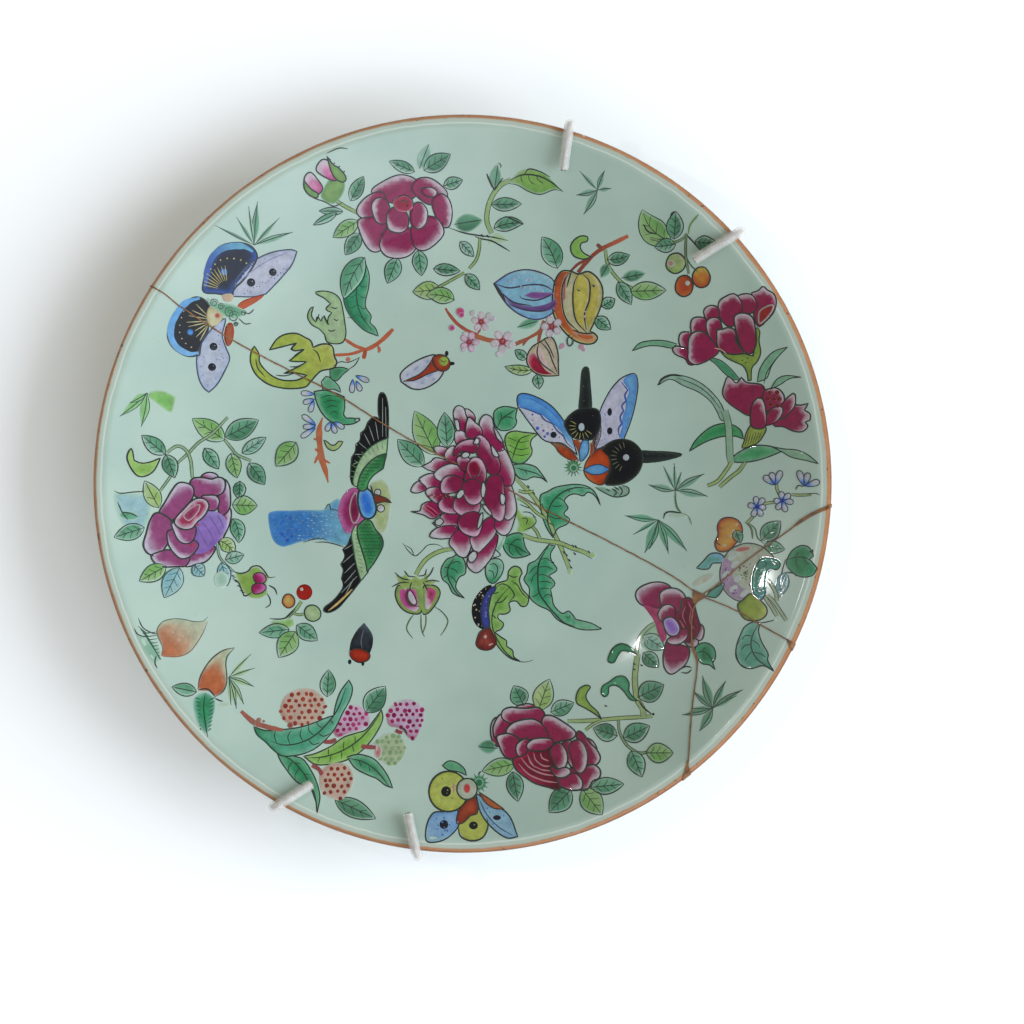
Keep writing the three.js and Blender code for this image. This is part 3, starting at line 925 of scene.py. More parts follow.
@dataclass
class BrokenPlate:
    """The four shards, the glue in their seams and the glue where splinters were lost."""

    form: PlateForm
    glaze: CeladonGlaze = field(default_factory=CeladonGlaze)
    glue_gap: float = 0.01
    glue_proud: float = 0.3
    nick_angle: float = 70.7
    nick_radius: float = 1.3
    nick_depth: float = 0.7
    bare_height: float = 0.6
    splinter_gap: float = 0.02
    splinter_spacing: float = 1.5
    glue_facets: int = 192
    seed_step: int = 10
    crisp_angle: int = 30

    def build(self) -> None:
        """Make every shard and every glue piece, dressed and ridden on the plate's body."""
        glazed, bare, broken = self.glaze.build(), Biscuit().build(), BrokenBody().build()
        plate = self.form.spun("plate")
        dress(plate, glazed, bare, broken)
        self.bare_foot(plate)
        tools = [
            crack.ribbon(f"cut_{crack.film}", SEED + i * self.seed_step) for i, crack in enumerate(CRACKS)
        ]
        tools += [self.splinter(f"cut_{name}", corners, 0.0) for name, corners in LOST_SPLINTERS.items()]
        tools.append(self.nick())
        for tool in tools:
            dress(tool, broken)
            cut(plate, tool)
        for tool in tools:
            bpy.data.objects.remove(tool)
        self.part_shards(plate)
        self.glue()

    def bare_foot(self, plate: bpy.types.Object) -> None:
        """Give the foot ring's base the unglazed finish, by the height of each face.

        Args:
            plate: The whole plate, before it is cut.
        """
        limit = (self.form.foot_plane + self.form.foot_round * self.bare_height) * MM
        for face in plate.data.polygons:
            if face.center.z < limit:
                face.material_index = 1

    def nick(self) -> bpy.types.Object:
        """Small flake lost from the rim, as the round tool that takes it out."""
        reach = self.form.rim_radius + self.nick_radius - self.nick_depth
        spot = heading(self.nick_angle) * reach
        top = float(self.form.face(self.form.edge_centre))
        deselect()
        bpy.ops.mesh.primitive_ico_sphere_add(
            subdivisions=3, radius=self.nick_radius * MM, location=(spot[0] * MM, spot[1] * MM, top * MM)
        )
        tool = bpy.context.active_object
        bpy.ops.object.transform_apply(location=True, rotation=True, scale=True)
        return tool

    def splinter(self, name: str, corners: Sequence, shrink: float) -> bpy.types.Object:
        """Upright prism of a lost splinter's place, its sides moved in by a small shrink.

        Args:
            name: Name of the new object.
            corners: The place's corners in plan.
            shrink: How far its sides move in, or out where it is negative.

        Returns:
            The closed prism.
        """
        points = np.array(corners, float)
        middle = points.mean(axis=0)
        away = points - middle
        points = middle + away * (1 - shrink / np.linalg.norm(away, axis=1))[:, None]
        outline = through([*points, points[0]], self.splinter_spacing, soft=False)[:-1]
        count = len(outline)
        corners3 = np.concatenate(
            [np.column_stack([outline, np.full(count, level)]) for level in (CUT_LOW, CUT_HIGH)]
        ) * MM
        sides = [(i, (i + 1) % count, count + (i + 1) % count, count + i) for i in range(count)]
        prism = mesh_object(
            name, corners3, [tuple(range(count))[::-1], tuple(range(count, 2 * count)), *sides]
        )
        face_outwards(prism)
        return prism

    def part_shards(self, plate: bpy.types.Object) -> None:
        """Take the cut plate apart into its shards and name each by its place.

        Args:
            plate: The plate after every cut.
        """
        only(plate)
        bpy.ops.object.mode_set(mode="EDIT")
        bpy.ops.mesh.select_all(action="SELECT")
        bpy.ops.mesh.separate(type="LOOSE")
        bpy.ops.object.mode_set(mode="OBJECT")
        loose = [piece for piece in bpy.context.selected_objects if piece.type == "MESH"]
        loose.sort(key=lambda piece: -len(piece.data.vertices))
        for name, spot in SHARD_MIDDLES.items():
            target = np.array(spot)
            corner_sets = {piece: self.middle_of(piece) for piece in loose[:len(SHARD_MIDDLES)]}
            shard = min(corner_sets, key=lambda piece: np.linalg.norm(corner_sets[piece] - target))
            loose.remove(shard)
            shard.name = shard.data.name = name + "_glazed"
            smooth(shard, self.crisp_angle)
            hand_in(shard, "glazed_porcelain", name)
        for crumb in loose:
            bpy.data.objects.remove(crumb)

    @staticmethod
    def middle_of(piece: bpy.types.Object) -> np.ndarray:
        """Middle of a piece in plan, in millimetres.

        Args:
            piece: The piece.

        Returns:
            Its middle.
        """
        spots = np.empty(len(piece.data.vertices) * 3)
        piece.data.vertices.foreach_get("co", spots)
        return spots.reshape(-1, 3)[:, :2].mean(axis=0) / MM

    def glue(self) -> None:
        """Fill each crack and each lost splinter's place with brown glue, slightly proud."""
        brown = AgedGlue().build()
        blank = self.form.spun("glue_blank", grow=self.glue_proud, steps=self.glue_facets)
        wedges = [
            self.splinter(f"clear_{name}", corners, -self.splinter_gap)
            for name, corners in LOST_SPLINTERS.items()
        ]
        for i, crack in enumerate(CRACKS):
            film = crack.ribbon(crack.film + "_line", SEED + i * self.seed_step, trim=self.glue_gap)
            cut(film, blank, "INTERSECT")
            for wedge in wedges:
                cut(film, wedge)
            dress(film, brown)
            smooth(film, self.crisp_angle)
            hand_in(film, "old_glue", crack.film)
        for name, corners in LOST_SPLINTERS.items():
            fill = self.splinter(name + "_lump", corners, self.splinter_gap)
            cut(fill, blank, "INTERSECT")
            dress(fill, brown)
            smooth(fill, self.crisp_angle)
            hand_in(fill, "old_glue", name)
        for tool in [*wedges, blank]:
            bpy.data.objects.remove(tool)


def through(knots: Iterable, spacing: float, closed: bool = False, soft: bool = True) -> np.ndarray:
    """Evenly spaced points on a smooth line through given knots.

    Args:
        knots: Places in plan, in millimetres.
        spacing: Distance between the points.
        closed: Whether the line joins up.
        soft: Whether it is curved between the knots, and not straight.

    Returns:
        The points, without the first repeated at the end of a closed line.
    """
    spots = np.array(list(knots), float)
    if closed:
        spots = np.vstack([spots[-1], spots, spots[0], spots[1]])
    else:
        spots = np.vstack([2 * spots[0] - spots[1], spots, 2 * spots[-1] - spots[-2]])
    pieces = []
    for a, b, c, d in zip(spots, spots[1:], spots[2:], spots[3:]):
        t = np.linspace(0, 1, 12, endpoint=False)[:, None]
        if soft:
            pieces.append(
                0.5 * (
                    2 * b
                    + (c - a) * t
                    + (2 * a - 5 * b + 4 * c - d) * t**2
                    + (3 * b - a - 3 * c + d) * t**3
                )
            )
        else:
            pieces.append(b + (c - b) * t)
    dense = np.vstack([*pieces, spots[-2]])
    lengths = np.concatenate([[0], np.cumsum(np.linalg.norm(np.diff(dense, axis=0), axis=1))])
    count = max(3, round(lengths[-1] / spacing))
    even = np.linspace(0, lengths[-1], count + 1)
    points = np.column_stack([np.interp(even, lengths, dense[:, 0]), np.interp(even, lengths, dense[:, 1])])
    return points[:-1] if closed else points


# ---- the enamel painting ----


def knots(text: str) -> list[list[tuple[float, float]]]:
    """Read a line given as text: places as x,y in millimetres, with ! after each sharp corner.

    Args:
        text: The line, as text.

    Returns:
        The smooth runs between corners, each as a list of places.
    """
    runs: list[list[tuple[float, float]]] = [[]]
    for word in text.split():
        x, y = word.rstrip("!").split(",")
        spot = (float(x), float(y))
        runs[-1].append(spot)
        if word.endswith("!"):
            runs.append([spot])
    return [run for run in runs if len(run) > 1]


def outline_of(text: str, spacing: float = 0.8) -> np.ndarray:
    """Closed outline in plan from a line given as text.

    Args:
        text: The line, as text.
        spacing: Distance between points, in millimetres.

    Returns:
        The outline's points.
    """
    runs = knots(text)
    if "!" not in text:
        return through(runs[0], spacing, closed=True)
    words = text.split()
    first_corner = next(i for i, word in enumerate(words) if word.endswith("!"))
    turned = words[first_corner:] + words[:first_corner] + [words[first_corner].rstrip("!")]
    return np.vstack([through(run, spacing)[:-1] for run in knots(" ".join(turned))])


def open_line(text: str, spacing: float = 0.8) -> np.ndarray:
    """Open line in plan from a line given as text.

    Args:
        text: The line, as text.
        spacing: Distance between points, in millimetres.

    Returns:
        The line's points.
    """
    pieces = [through(run, spacing) for run in knots(text)]
    return np.vstack([pieces[0], *[piece[1:] for piece in pieces[1:]]])


def wash(
    core: str, edge: str = "", end: str = "", toward: float = 90.0, start: float = 0.35,
    reach: float = 2.0, soft: float = 0.0, cover: float = 1.0
) -> Paint:
    """A brushed wash of colour.

    Args:
        core: Colour in the middle.
        edge: Colour along the outline, if it differs.
        end: Colour that takes over towards one side, if any.
        toward: Direction of that side, in degrees.
        start: Share of the way across at which the end colour begins.
        reach: How far in from the outline the edge colour runs, in millimetres.
        soft: How far in from the outline the wash fades out, in millimetres.
        cover: How much of the glaze it hides.

    Returns:
        A function from places and depths inside the outline to colours.
    """
    middle = np.array(linear(core, cover))
    border = np.array(linear(edge or core, cover))
    last = np.array(linear(end or core, cover))

    def paint(places: np.ndarray, depth: np.ndarray) -> np.ndarray:
        """Colour at each place."""
        near_edge = 1 - smoothstep(0, reach, depth)
        colour = middle + (border - middle) * near_edge[:, None]
        if end:
            across = places @ heading(toward)
            share = (across - across.min()) / max(np.ptp(across), 1e-6)
            amount = smoothstep(start, min(start + 0.4, 1.0), share * (0.62 + 0.38 * near_edge))
            colour = colour + (last - colour) * amount[:, None]
        if soft:
            colour[:, 3] *= smoothstep(-0.05, soft, depth)
        return colour

    return paint


class LeafTone(Enum):
    """Dark and light halves of a leaf's wash, and its line colour."""

    DEEP = ("#1a5f3a", "#428f64", "#10281f")
    MIDDLE = ("#2f8054", "#6dab87", "#132c22")
    PALE = ("#6aa387", "#9ec6b2", "#264438")
    SPRING = ("#63a240", "#95bd69", "#22401d")
    YELLOW = ("#8ab049", "#b4ca7b", "#2f4020")
    BLUE = ("#6fb0b8", "#a8d2d4", "#31535a")


@dataclass
class Painting:
    """One closed mesh of thin raised enamel that follows the plate's face, with its pigments."""

    name: str
    form: PlateForm
    seed: int
    ink: str = "#0d1310"
    level: float = ENAMEL_LEVEL
    corners: list = field(default_factory=list)
    faces: list = field(default_factory=list)
    pigments: list = field(default_factory=list)
    count: int = 0
    inner_rows: tuple[float, float] = (0.22, 0.75)
    clearances: tuple[float, ...] = (0.2, 0.7, 1.2)
    row_pitch: float = 0.87
    least_half: float = 0.07
    wander_by: float = 0.35
    wander_over: int = 5
    taper_until: float = 0.45
    thin_ink: float = 0.12
    crisp_angle: int = 40

    def __post_init__(self) -> None:
        """Start the seeded dice that vary brushwork."""
        self.dice = np.random.default_rng(self.seed)

    def restart(self) -> None:
        """Begin a motif that lies straight on the glaze."""
        self.level = ENAMEL_LEVEL

    def add(self, plan: np.ndarray, lifts: np.ndarray, triangles: np.ndarray, colours: np.ndarray) -> None:
        """Add a closed body by its plan places, heights over the glaze, triangles and colours.

        Args:
            plan: Places in plan, one a row.
            lifts: Height of each place over the glaze.
            triangles: Corner numbers of each triangle.
            colours: Pigment and strength at each place.
        """
        radius = np.linalg.norm(plan, axis=1)
        heights = self.form.face(radius) + lifts
        self.corners.append(np.column_stack([plan, heights]) * MM)
        self.faces.append(np.asarray(triangles, int) + self.count)
        self.pigments.append(colours)
        self.count += len(plan)

    def fill(
        self, shape: str | np.ndarray, paint: Paint, grain: float = 1.3, thick: float = WASH_THICKNESS
    ) -> None:
        """Lay a wash inside an outline.

        Args:
            shape: Closed line given as text, or its points.
            paint: The wash.
            grain: Spacing of the mesh inside, in millimetres.
            thick: How much it adds to the layers, in millimetres.
        """
        loop = outline_of(shape) if isinstance(shape, str) else shape
        self.level += thick
        inner = self.inside_points(loop, grain)
        sites = [Vector(p) for p in np.vstack([loop, inner])]
        spots, _, triangles, _, _, _ = delaunay_2d_cdt(sites, [], [list(range(len(loop)))], 1, 1e-5)
        plan = np.array([(s.x, s.y) for s in spots])
        triangles = np.array([t for t in triangles if len(t) == 3], int)
        if len(triangles) == 0:
            return
        edges: dict[tuple[int, int], int] = {}
        for a, b, c in triangles:
            for edge in ((a, b), (b, c), (c, a)):
                edges[edge] = edges.get(edge, 0) + 1
        rim = {v for a, b in edges if (b, a) not in edges for v in (a, b)}
        depth = self.depths(plan, loop)
        on_rim = np.array([i in rim for i in range(len(plan))])
        top = np.where(on_rim, EDGE_SINK, self.level)
        lower = np.where(on_rim)[0]
        below = np.arange(len(plan)) + len(plan)
        below[lower] = lower
        under = below[triangles][:, ::-1]
        order = np.unique(np.concatenate([triangles.ravel(), under.ravel()]))
        renumber = {old: new for new, old in enumerate(order)}
        both = np.vstack([triangles, under])
        both = np.array([[renumber[i] for i in t] for t in both])
        plan2 = np.vstack([plan, plan])[order]
        lifts = np.concatenate([top, np.full(len(plan), BACK_SINK)])[order]
        colours = paint(plan, np.where(on_rim, 0, depth))
        self.add(plan2, lifts, both, np.vstack([colours, colours])[order])

    @staticmethod
    def depths(places: np.ndarray, loop: np.ndarray) -> np.ndarray:
        """Distance from each place to a closed outline.

        Args:
            places: Places in plan, one a row.
            loop: The closed outline.

        Returns:
            A distance for each place.
        """
        a = loop
        b = np.roll(loop, -1, axis=0)
        along = b - a
        length = np.maximum((along**2).sum(axis=1), 1e-9)
        offset = places[:, None, :] - a[None, :, :]
        t = np.clip((offset * along[None]).sum(axis=2) / length, 0, 1)
        gap = offset - t[..., None] * along[None]
        return np.sqrt((gap**2).sum(axis=2).min(axis=1))

    def inside_points(self, loop: np.ndarray, grain: float) -> np.ndarray:
        """Places inside an outline: two rows just within it, and an even field.

        Args:
            loop: The closed outline.
            grain: Distance between the places.

        Returns:
            The places, one a row.
        """
        tangent = np.roll(loop, -1, axis=0) - np.roll(loop, 1, axis=0)
        tangent /= np.maximum(np.linalg.norm(tangent, axis=1), 1e-9)[:, None]
        area = 0.5 * float(
            np.sum(loop[:, 0] * np.roll(loop[:, 1], -1) - np.roll(loop[:, 0], -1) * loop[:, 1])
        )
        inward = np.column_stack([-tangent[:, 1], tangent[:, 0]]) * (1 if area > 0 else -1)
        rows = [loop + inward * step for step in self.inner_rows]
        low, high = loop.min(axis=0), loop.max(axis=0)
        xs = np.arange(low[0], high[0], grain)
        ys = np.arange(low[1], high[1], grain * self.row_pitch)
        grid = np.array([(x + (j % 2) * grain / 2, y) for j, y in enumerate(ys) for x in xs])
        kept = []
        for row, least in zip([*rows, grid], self.clearances):
            if len(row):
                row = row[self.contains(loop, row)]
            if len(row):
                row = row[self.depths(row, loop) >= least]
            if len(row):
                kept.append(row)
        return np.vstack(kept) if kept else np.empty((0, 2))

    @staticmethod
    def contains(loop: np.ndarray, places: np.ndarray) -> np.ndarray:
        """Whether each place lies inside a closed outline.

        Args:
            loop: The closed outline.
            places: Places in plan, one a row.

        Returns:
            True for each place inside.
        """
        a, b = loop, np.roll(loop, -1, axis=0)
        x, y = places[:, 0:1], places[:, 1:2]
        crosses = (a[:, 1] > y) != (b[:, 1] > y)
        rise = np.where(np.abs(b[:, 1] - a[:, 1]) < 1e-12, 1e-12, b[:, 1] - a[:, 1])
        at = a[:, 0] + (y - a[:, 1]) * (b[:, 0] - a[:, 0]) / rise
        return (crosses & (x < at)).sum(axis=1) % 2 == 1

    def line(
        self, shape: str | np.ndarray, width: float = 0.42, colour: str = "", taper: float = 0.6,
        closed: bool = False, cover: float = 1.0, swell: float = 0.0, end: str = ""
    ) -> None:
        """Draw a raised brush line.

        Args:
            shape: Line given as text, or its points.
            width: Width in millimetres.
            colour: Colour, or the piece's own ink.
            taper: How much thinner its ends are, from 0 to 1.
            closed: Whether it joins up.
            cover: How much it hides what is under it.
            swell: How much thicker its middle is, in millimetres.
            end: Colour that it turns to at its end, if any.
        """
        if isinstance(shape, str):
            points = outline_of(shape) if closed else open_line(shape)
        else:
            points = shape
        if len(points) < 3:
            points = np.array([points[0], (points[0] + points[-1]) / 2, points[-1]])
        count = len(points)
        if closed:
            tangent = np.roll(points, -1, axis=0) - np.roll(points, 1, axis=0)
        else:
            tangent = np.gradient(points, axis=0)
        tangent /= np.maximum(np.linalg.norm(tangent, axis=1), 1e-9)[:, None]
        normal = np.column_stack([-tangent[:, 1], tangent[:, 0]])
        share = np.linspace(0, 1, count)
        wander = np.convolve(
            self.dice.uniform(-1, 1, count + self.wander_over - 1),
            np.ones(self.wander_over) / self.wander_over, mode="valid",
        )
        half = width / 2 * (1 + self.wander_by * wander)
        if not closed:
            ends = np.minimum(share, 1 - share) * 2
            half = half * (1 - taper * (1 - smoothstep(0, self.taper_until, ends)))
            half = half + swell / 2 * np.sin(math.pi * share)
        half = np.maximum(half, self.least_half)[:, None]
        top = self.level + LINE_RISE
        offsets = (-1.0, -1.0, 0.0, 1.0, 1.0)
        lifts = (LINE_SINK, top, top + LINE_CROWN, top, LINE_SINK)
        plan = np.concatenate([points + normal * half * offset for offset in offsets])
        heights = np.concatenate([np.full(count, lift) for lift in lifts])
        sides = len(offsets)
        steps = count if closed else count - 1
        faces = []
        for i in range(steps):
            j = (i + 1) % count
            for k in range(sides):
                m = (k + 1) % sides
                a, b, c, d = k * count + i, k * count + j, m * count + j, m * count + i
                faces += [(a, b, c), (a, c, d)]
        if not closed:
            for i, flip in ((0, False), (count - 1, True)):
                ring = [k * count + i for k in range(sides)]
                fan = [(ring[0], ring[k], ring[k + 1]) for k in range(1, sides - 1)]
                faces += [t[::-1] for t in fan] if flip else fan
        base = np.array(linear(colour or self.ink, cover))
        shades = np.tile(base, (count, 1))
        if end:
            shades += (np.array(linear(end, cover)) - base) * smoothstep(0.3, 1, share)[:, None]
        shades[:, 3] *= 1 - self.thin_ink * (wander + 1) / 2
        self.add(plan, heights, np.array(faces), np.vstack([shades] * sides))

    def raise_over(self) -> None:
        """Lift the next wash over the lines drawn so far."""
        self.level += LAYER_THICKNESS

    def dot(
        self, x: float, y: float, size: float, colour: str, tall: float = 0.0, turn: float = 0.0,
        rim: str = "", soft: float = 0.0, cover: float = 1.0
    ) -> None:
        """A round or oval spot of a given width, its second axis tall and turned.

        Args:
            x: Its middle, to the right of the plate's centre.
            y: Its middle, above the plate's centre.
            size: Its width.
            colour: Its colour.
            tall: Its height, the same as its width where 0.
            turn: Degrees that it is turned.
            rim: Colour along its outline, if it differs.
            soft: How far in from its outline it fades.
            cover: How much of the glaze it hides.
        """
        tall = tall or size
        sides = max(8, int(max(size, tall) * 4))
        angles = np.linspace(0, 2 * math.pi, sides, endpoint=False)
        local = np.column_stack([np.cos(angles) * size / 2, np.sin(angles) * tall / 2])
        c, s = heading(turn)
        loop = np.array([x, y]) + local @ np.array([[c, s], [-s, c]])
        self.fill(loop, wash(colour, rim, reach=0.6, soft=soft, cover=cover))

    def shape(
        self, text: str, paint: Paint, width: float = 0.45, colour: str = "", closed: bool = True
    ) -> None:
        """A wash with its outline drawn round it.

        Args:
            text: The outline, given as text.
            paint: Its wash.
            width: Width of its outline.
            colour: Colour of its outline.
            closed: Whether the drawn line closes.
        """
        self.fill(text, paint)
        self.line(text, width, colour, closed=closed, taper=0.0)
        self.raise_over()

    def leaf(
        self, root: Sequence[float], tip: Sequence[float], width: float, tone: LeafTone = LeafTone.MIDDLE,
        bend: float = 0.0, veins: int = 3, lines: bool = True, dark_side: int = -1, ink: float = 0.38
    ) -> None:
        """A painted leaf: a soft two-toned wash with outline, midrib and veins.

        Args:
            root: Where it leaves its stem.
            tip: Its tip.
            width: Its widest part.
            tone: Its colours.
            bend: How far its spine bows to the left, in millimetres.
            veins: Side veins on each half.
            lines: Whether its outline is drawn.
            dark_side: -1 where its right half is the darker one, and 1 for its left.
            ink: Width of its lines.
        """
        a, b = np.array(root, float), np.array(tip, float)
        axis = b - a
        length = float(np.linalg.norm(axis))
        axis /= length
        left = np.array([-axis[1], axis[0]])

        def spine(t: np.ndarray) -> np.ndarray:
            """Places along the midrib."""
            t = np.atleast_1d(t)[:, None]
            return a + axis * length * t + left * bend * 4 * t * (1 - t)

        def breadth(t: np.ndarray) -> np.ndarray:
            """Half the leaf's width at a share of its length."""
            return width / 2 * np.sin(math.pi * np.clip(t, 0, 1) ** 0.85) ** 0.85

        steps = max(6, round(length / 1.0))
        t = np.linspace(0, 1, steps + 1)
        ridge = spine(t)
        across = np.gradient(ridge, axis=0)
        across /= np.linalg.norm(across, axis=1)[:, None]
        across = np.column_stack([-across[:, 1], across[:, 0]])
        half = breadth(t)[:, None]
        upper, lower = ridge + across * half, ridge - across * half
        dark, light, ink_colour = tone.value
        slip = self.dice.uniform(-0.35, 0.35, 2)
        loop = np.vstack([lower, upper[1:-1][::-1]]) + slip
        dark_rgba, light_rgba = np.array(linear(dark, 0.93)), np.array(linear(light, 0.8))

        def paint(places: np.ndarray, depth: np.ndarray) -> np.ndarray:
            """Darker on one half and towards the root, and faded at the very edge."""
            along = np.clip((places - a) @ axis / length, 0, 1)
            side = (places - a) @ left - bend * 4 * along * (1 - along)
            lean = 0.5 + 0.5 * np.tanh(dark_side * side / (0.22 * width))
            amount = np.clip(0.8 * lean + 0.25 * (0.6 - along), 0, 1)
            colour = light_rgba + (dark_rgba - light_rgba) * amount[:, None]
            colour[:, 3] *= smoothstep(-0.2, 0.6, depth)
            return colour

        self.fill(loop, paint)
        if lines:
            self.line(upper, ink, ink_colour, taper=0.5)
            self.line(lower, ink, ink_colour, taper=0.5)
        self.line(spine(np.linspace(0, 0.93, steps)), ink * 0.9, ink_colour, taper=0.5)
        for i in range(veins):
            start = (i + 0.7) / (veins + 0.9) * 0.85
            reach = min(start + 0.16, 0.97)
            for side in (-1, 1):
                first = spine(start)[0]
                out = spine(reach)[0] + left * side * float(breadth(np.array(reach))) * 0.72
                middle = (first + out) / 2 + axis * 0.25
                self.line(through([first, middle, out], 0.7), ink * 0.62, ink_colour, taper=0.7)
        self.raise_over()

    def stem(self, text: str, width: float = 0.9, colour: str = "#8aa648", ink: str = "#36401f") -> None:
        """A stem: a band of colour with a thin dark line on each side.

        Args:
            text: The line of its middle, given as text.
            width: Its width.
            colour: Colour of the band.
            ink: Colour of its sides.
        """
        line = open_line(text)
        self.line(line, width, colour, taper=0.3, cover=0.85)
        tangent = np.gradient(line, axis=0)
        tangent /= np.maximum(np.linalg.norm(tangent, axis=1), 1e-9)[:, None]
        normal = np.column_stack([-tangent[:, 1], tangent[:, 0]])
        self.level += WASH_THICKNESS
        for side in (-1, 1):
            self.line(line + normal * side * width / 2, 0.26, ink, taper=0.6)
        self.raise_over()

    def flower(
        self, heart: Sequence[float], petals: Sequence[str], deep: str, tip: str, edge: str = "",
        start: float = 0.3, width: float = 0.45
    ) -> None:
        """Petals laid one over another, each paler away from the flower's heart.

        Args:
            heart: Middle of the flower.
            petals: Outlines given as text, the lowest first.
            deep: Colour at each petal's root.
            tip: Colour at its tip.
            edge: Colour along its outline, if it differs.
            start: Share of the way out at which the tip colour begins.
            width: Width of the outlines.
        """
        for text in petals:
            loop = outline_of(text)
            away = loop.mean(axis=0) - np.array(heart)
            angle = math.degrees(math.atan2(away[1], away[0]))
            self.fill(loop, wash(deep, edge, tip, angle, start, reach=1.4))
            self.line(text, width, closed=True, taper=0.0)
            self.raise_over()

    def build(self, enamel: bpy.types.Material) -> bpy.types.Object:
        """Close and dress the painting, and ride it on the plate's body.

        Args:
            enamel: The finish of the whole painting.

        Returns:
            The finished piece.
        """
        corners, faces = np.vstack(self.corners), np.vstack(self.faces)
        mesh = bpy.data.meshes.new(self.name)
        mesh.vertices.add(len(corners))
        mesh.vertices.foreach_set("co", corners.astype(np.float32).ravel())
        mesh.loops.add(len(faces) * 3)
        mesh.loops.foreach_set("vertex_index", faces.astype(np.int32).ravel())
        mesh.polygons.add(len(faces))
        mesh.polygons.foreach_set("loop_start", np.arange(0, len(faces) * 3, 3, dtype=np.int32))
        mesh.polygons.foreach_set("loop_total", np.full(len(faces), 3, dtype=np.int32))
        mesh.update(calc_edges=True)
        pigment = mesh.attributes.new("pigment", "FLOAT_COLOR", "POINT")
        pigment.data.foreach_set("color", np.vstack(self.pigments).astype(np.float32).ravel())
        piece = bpy.data.objects.new(self.name, mesh)
        bpy.context.scene.collection.objects.link(piece)
        face_outwards(piece)
        dress(piece, enamel)
        smooth(piece, self.crisp_angle)
        hand_in(piece, "glazed_porcelain")
        return piece


@dataclass(frozen=True)
class PetalTint:
    """Colours of a flower's petals, at their roots and at their tips."""

    deep: str
    tip: str


ROSE = PetalTint("#8a2450", "#e6d6e0")
PEONY = PetalTint("#8a1c4c", "#ece4ea")
MAUVE = PetalTint("#8c4470", "#e6dcec")
CARNATION = PetalTint("#881c46", "#e6d6de")


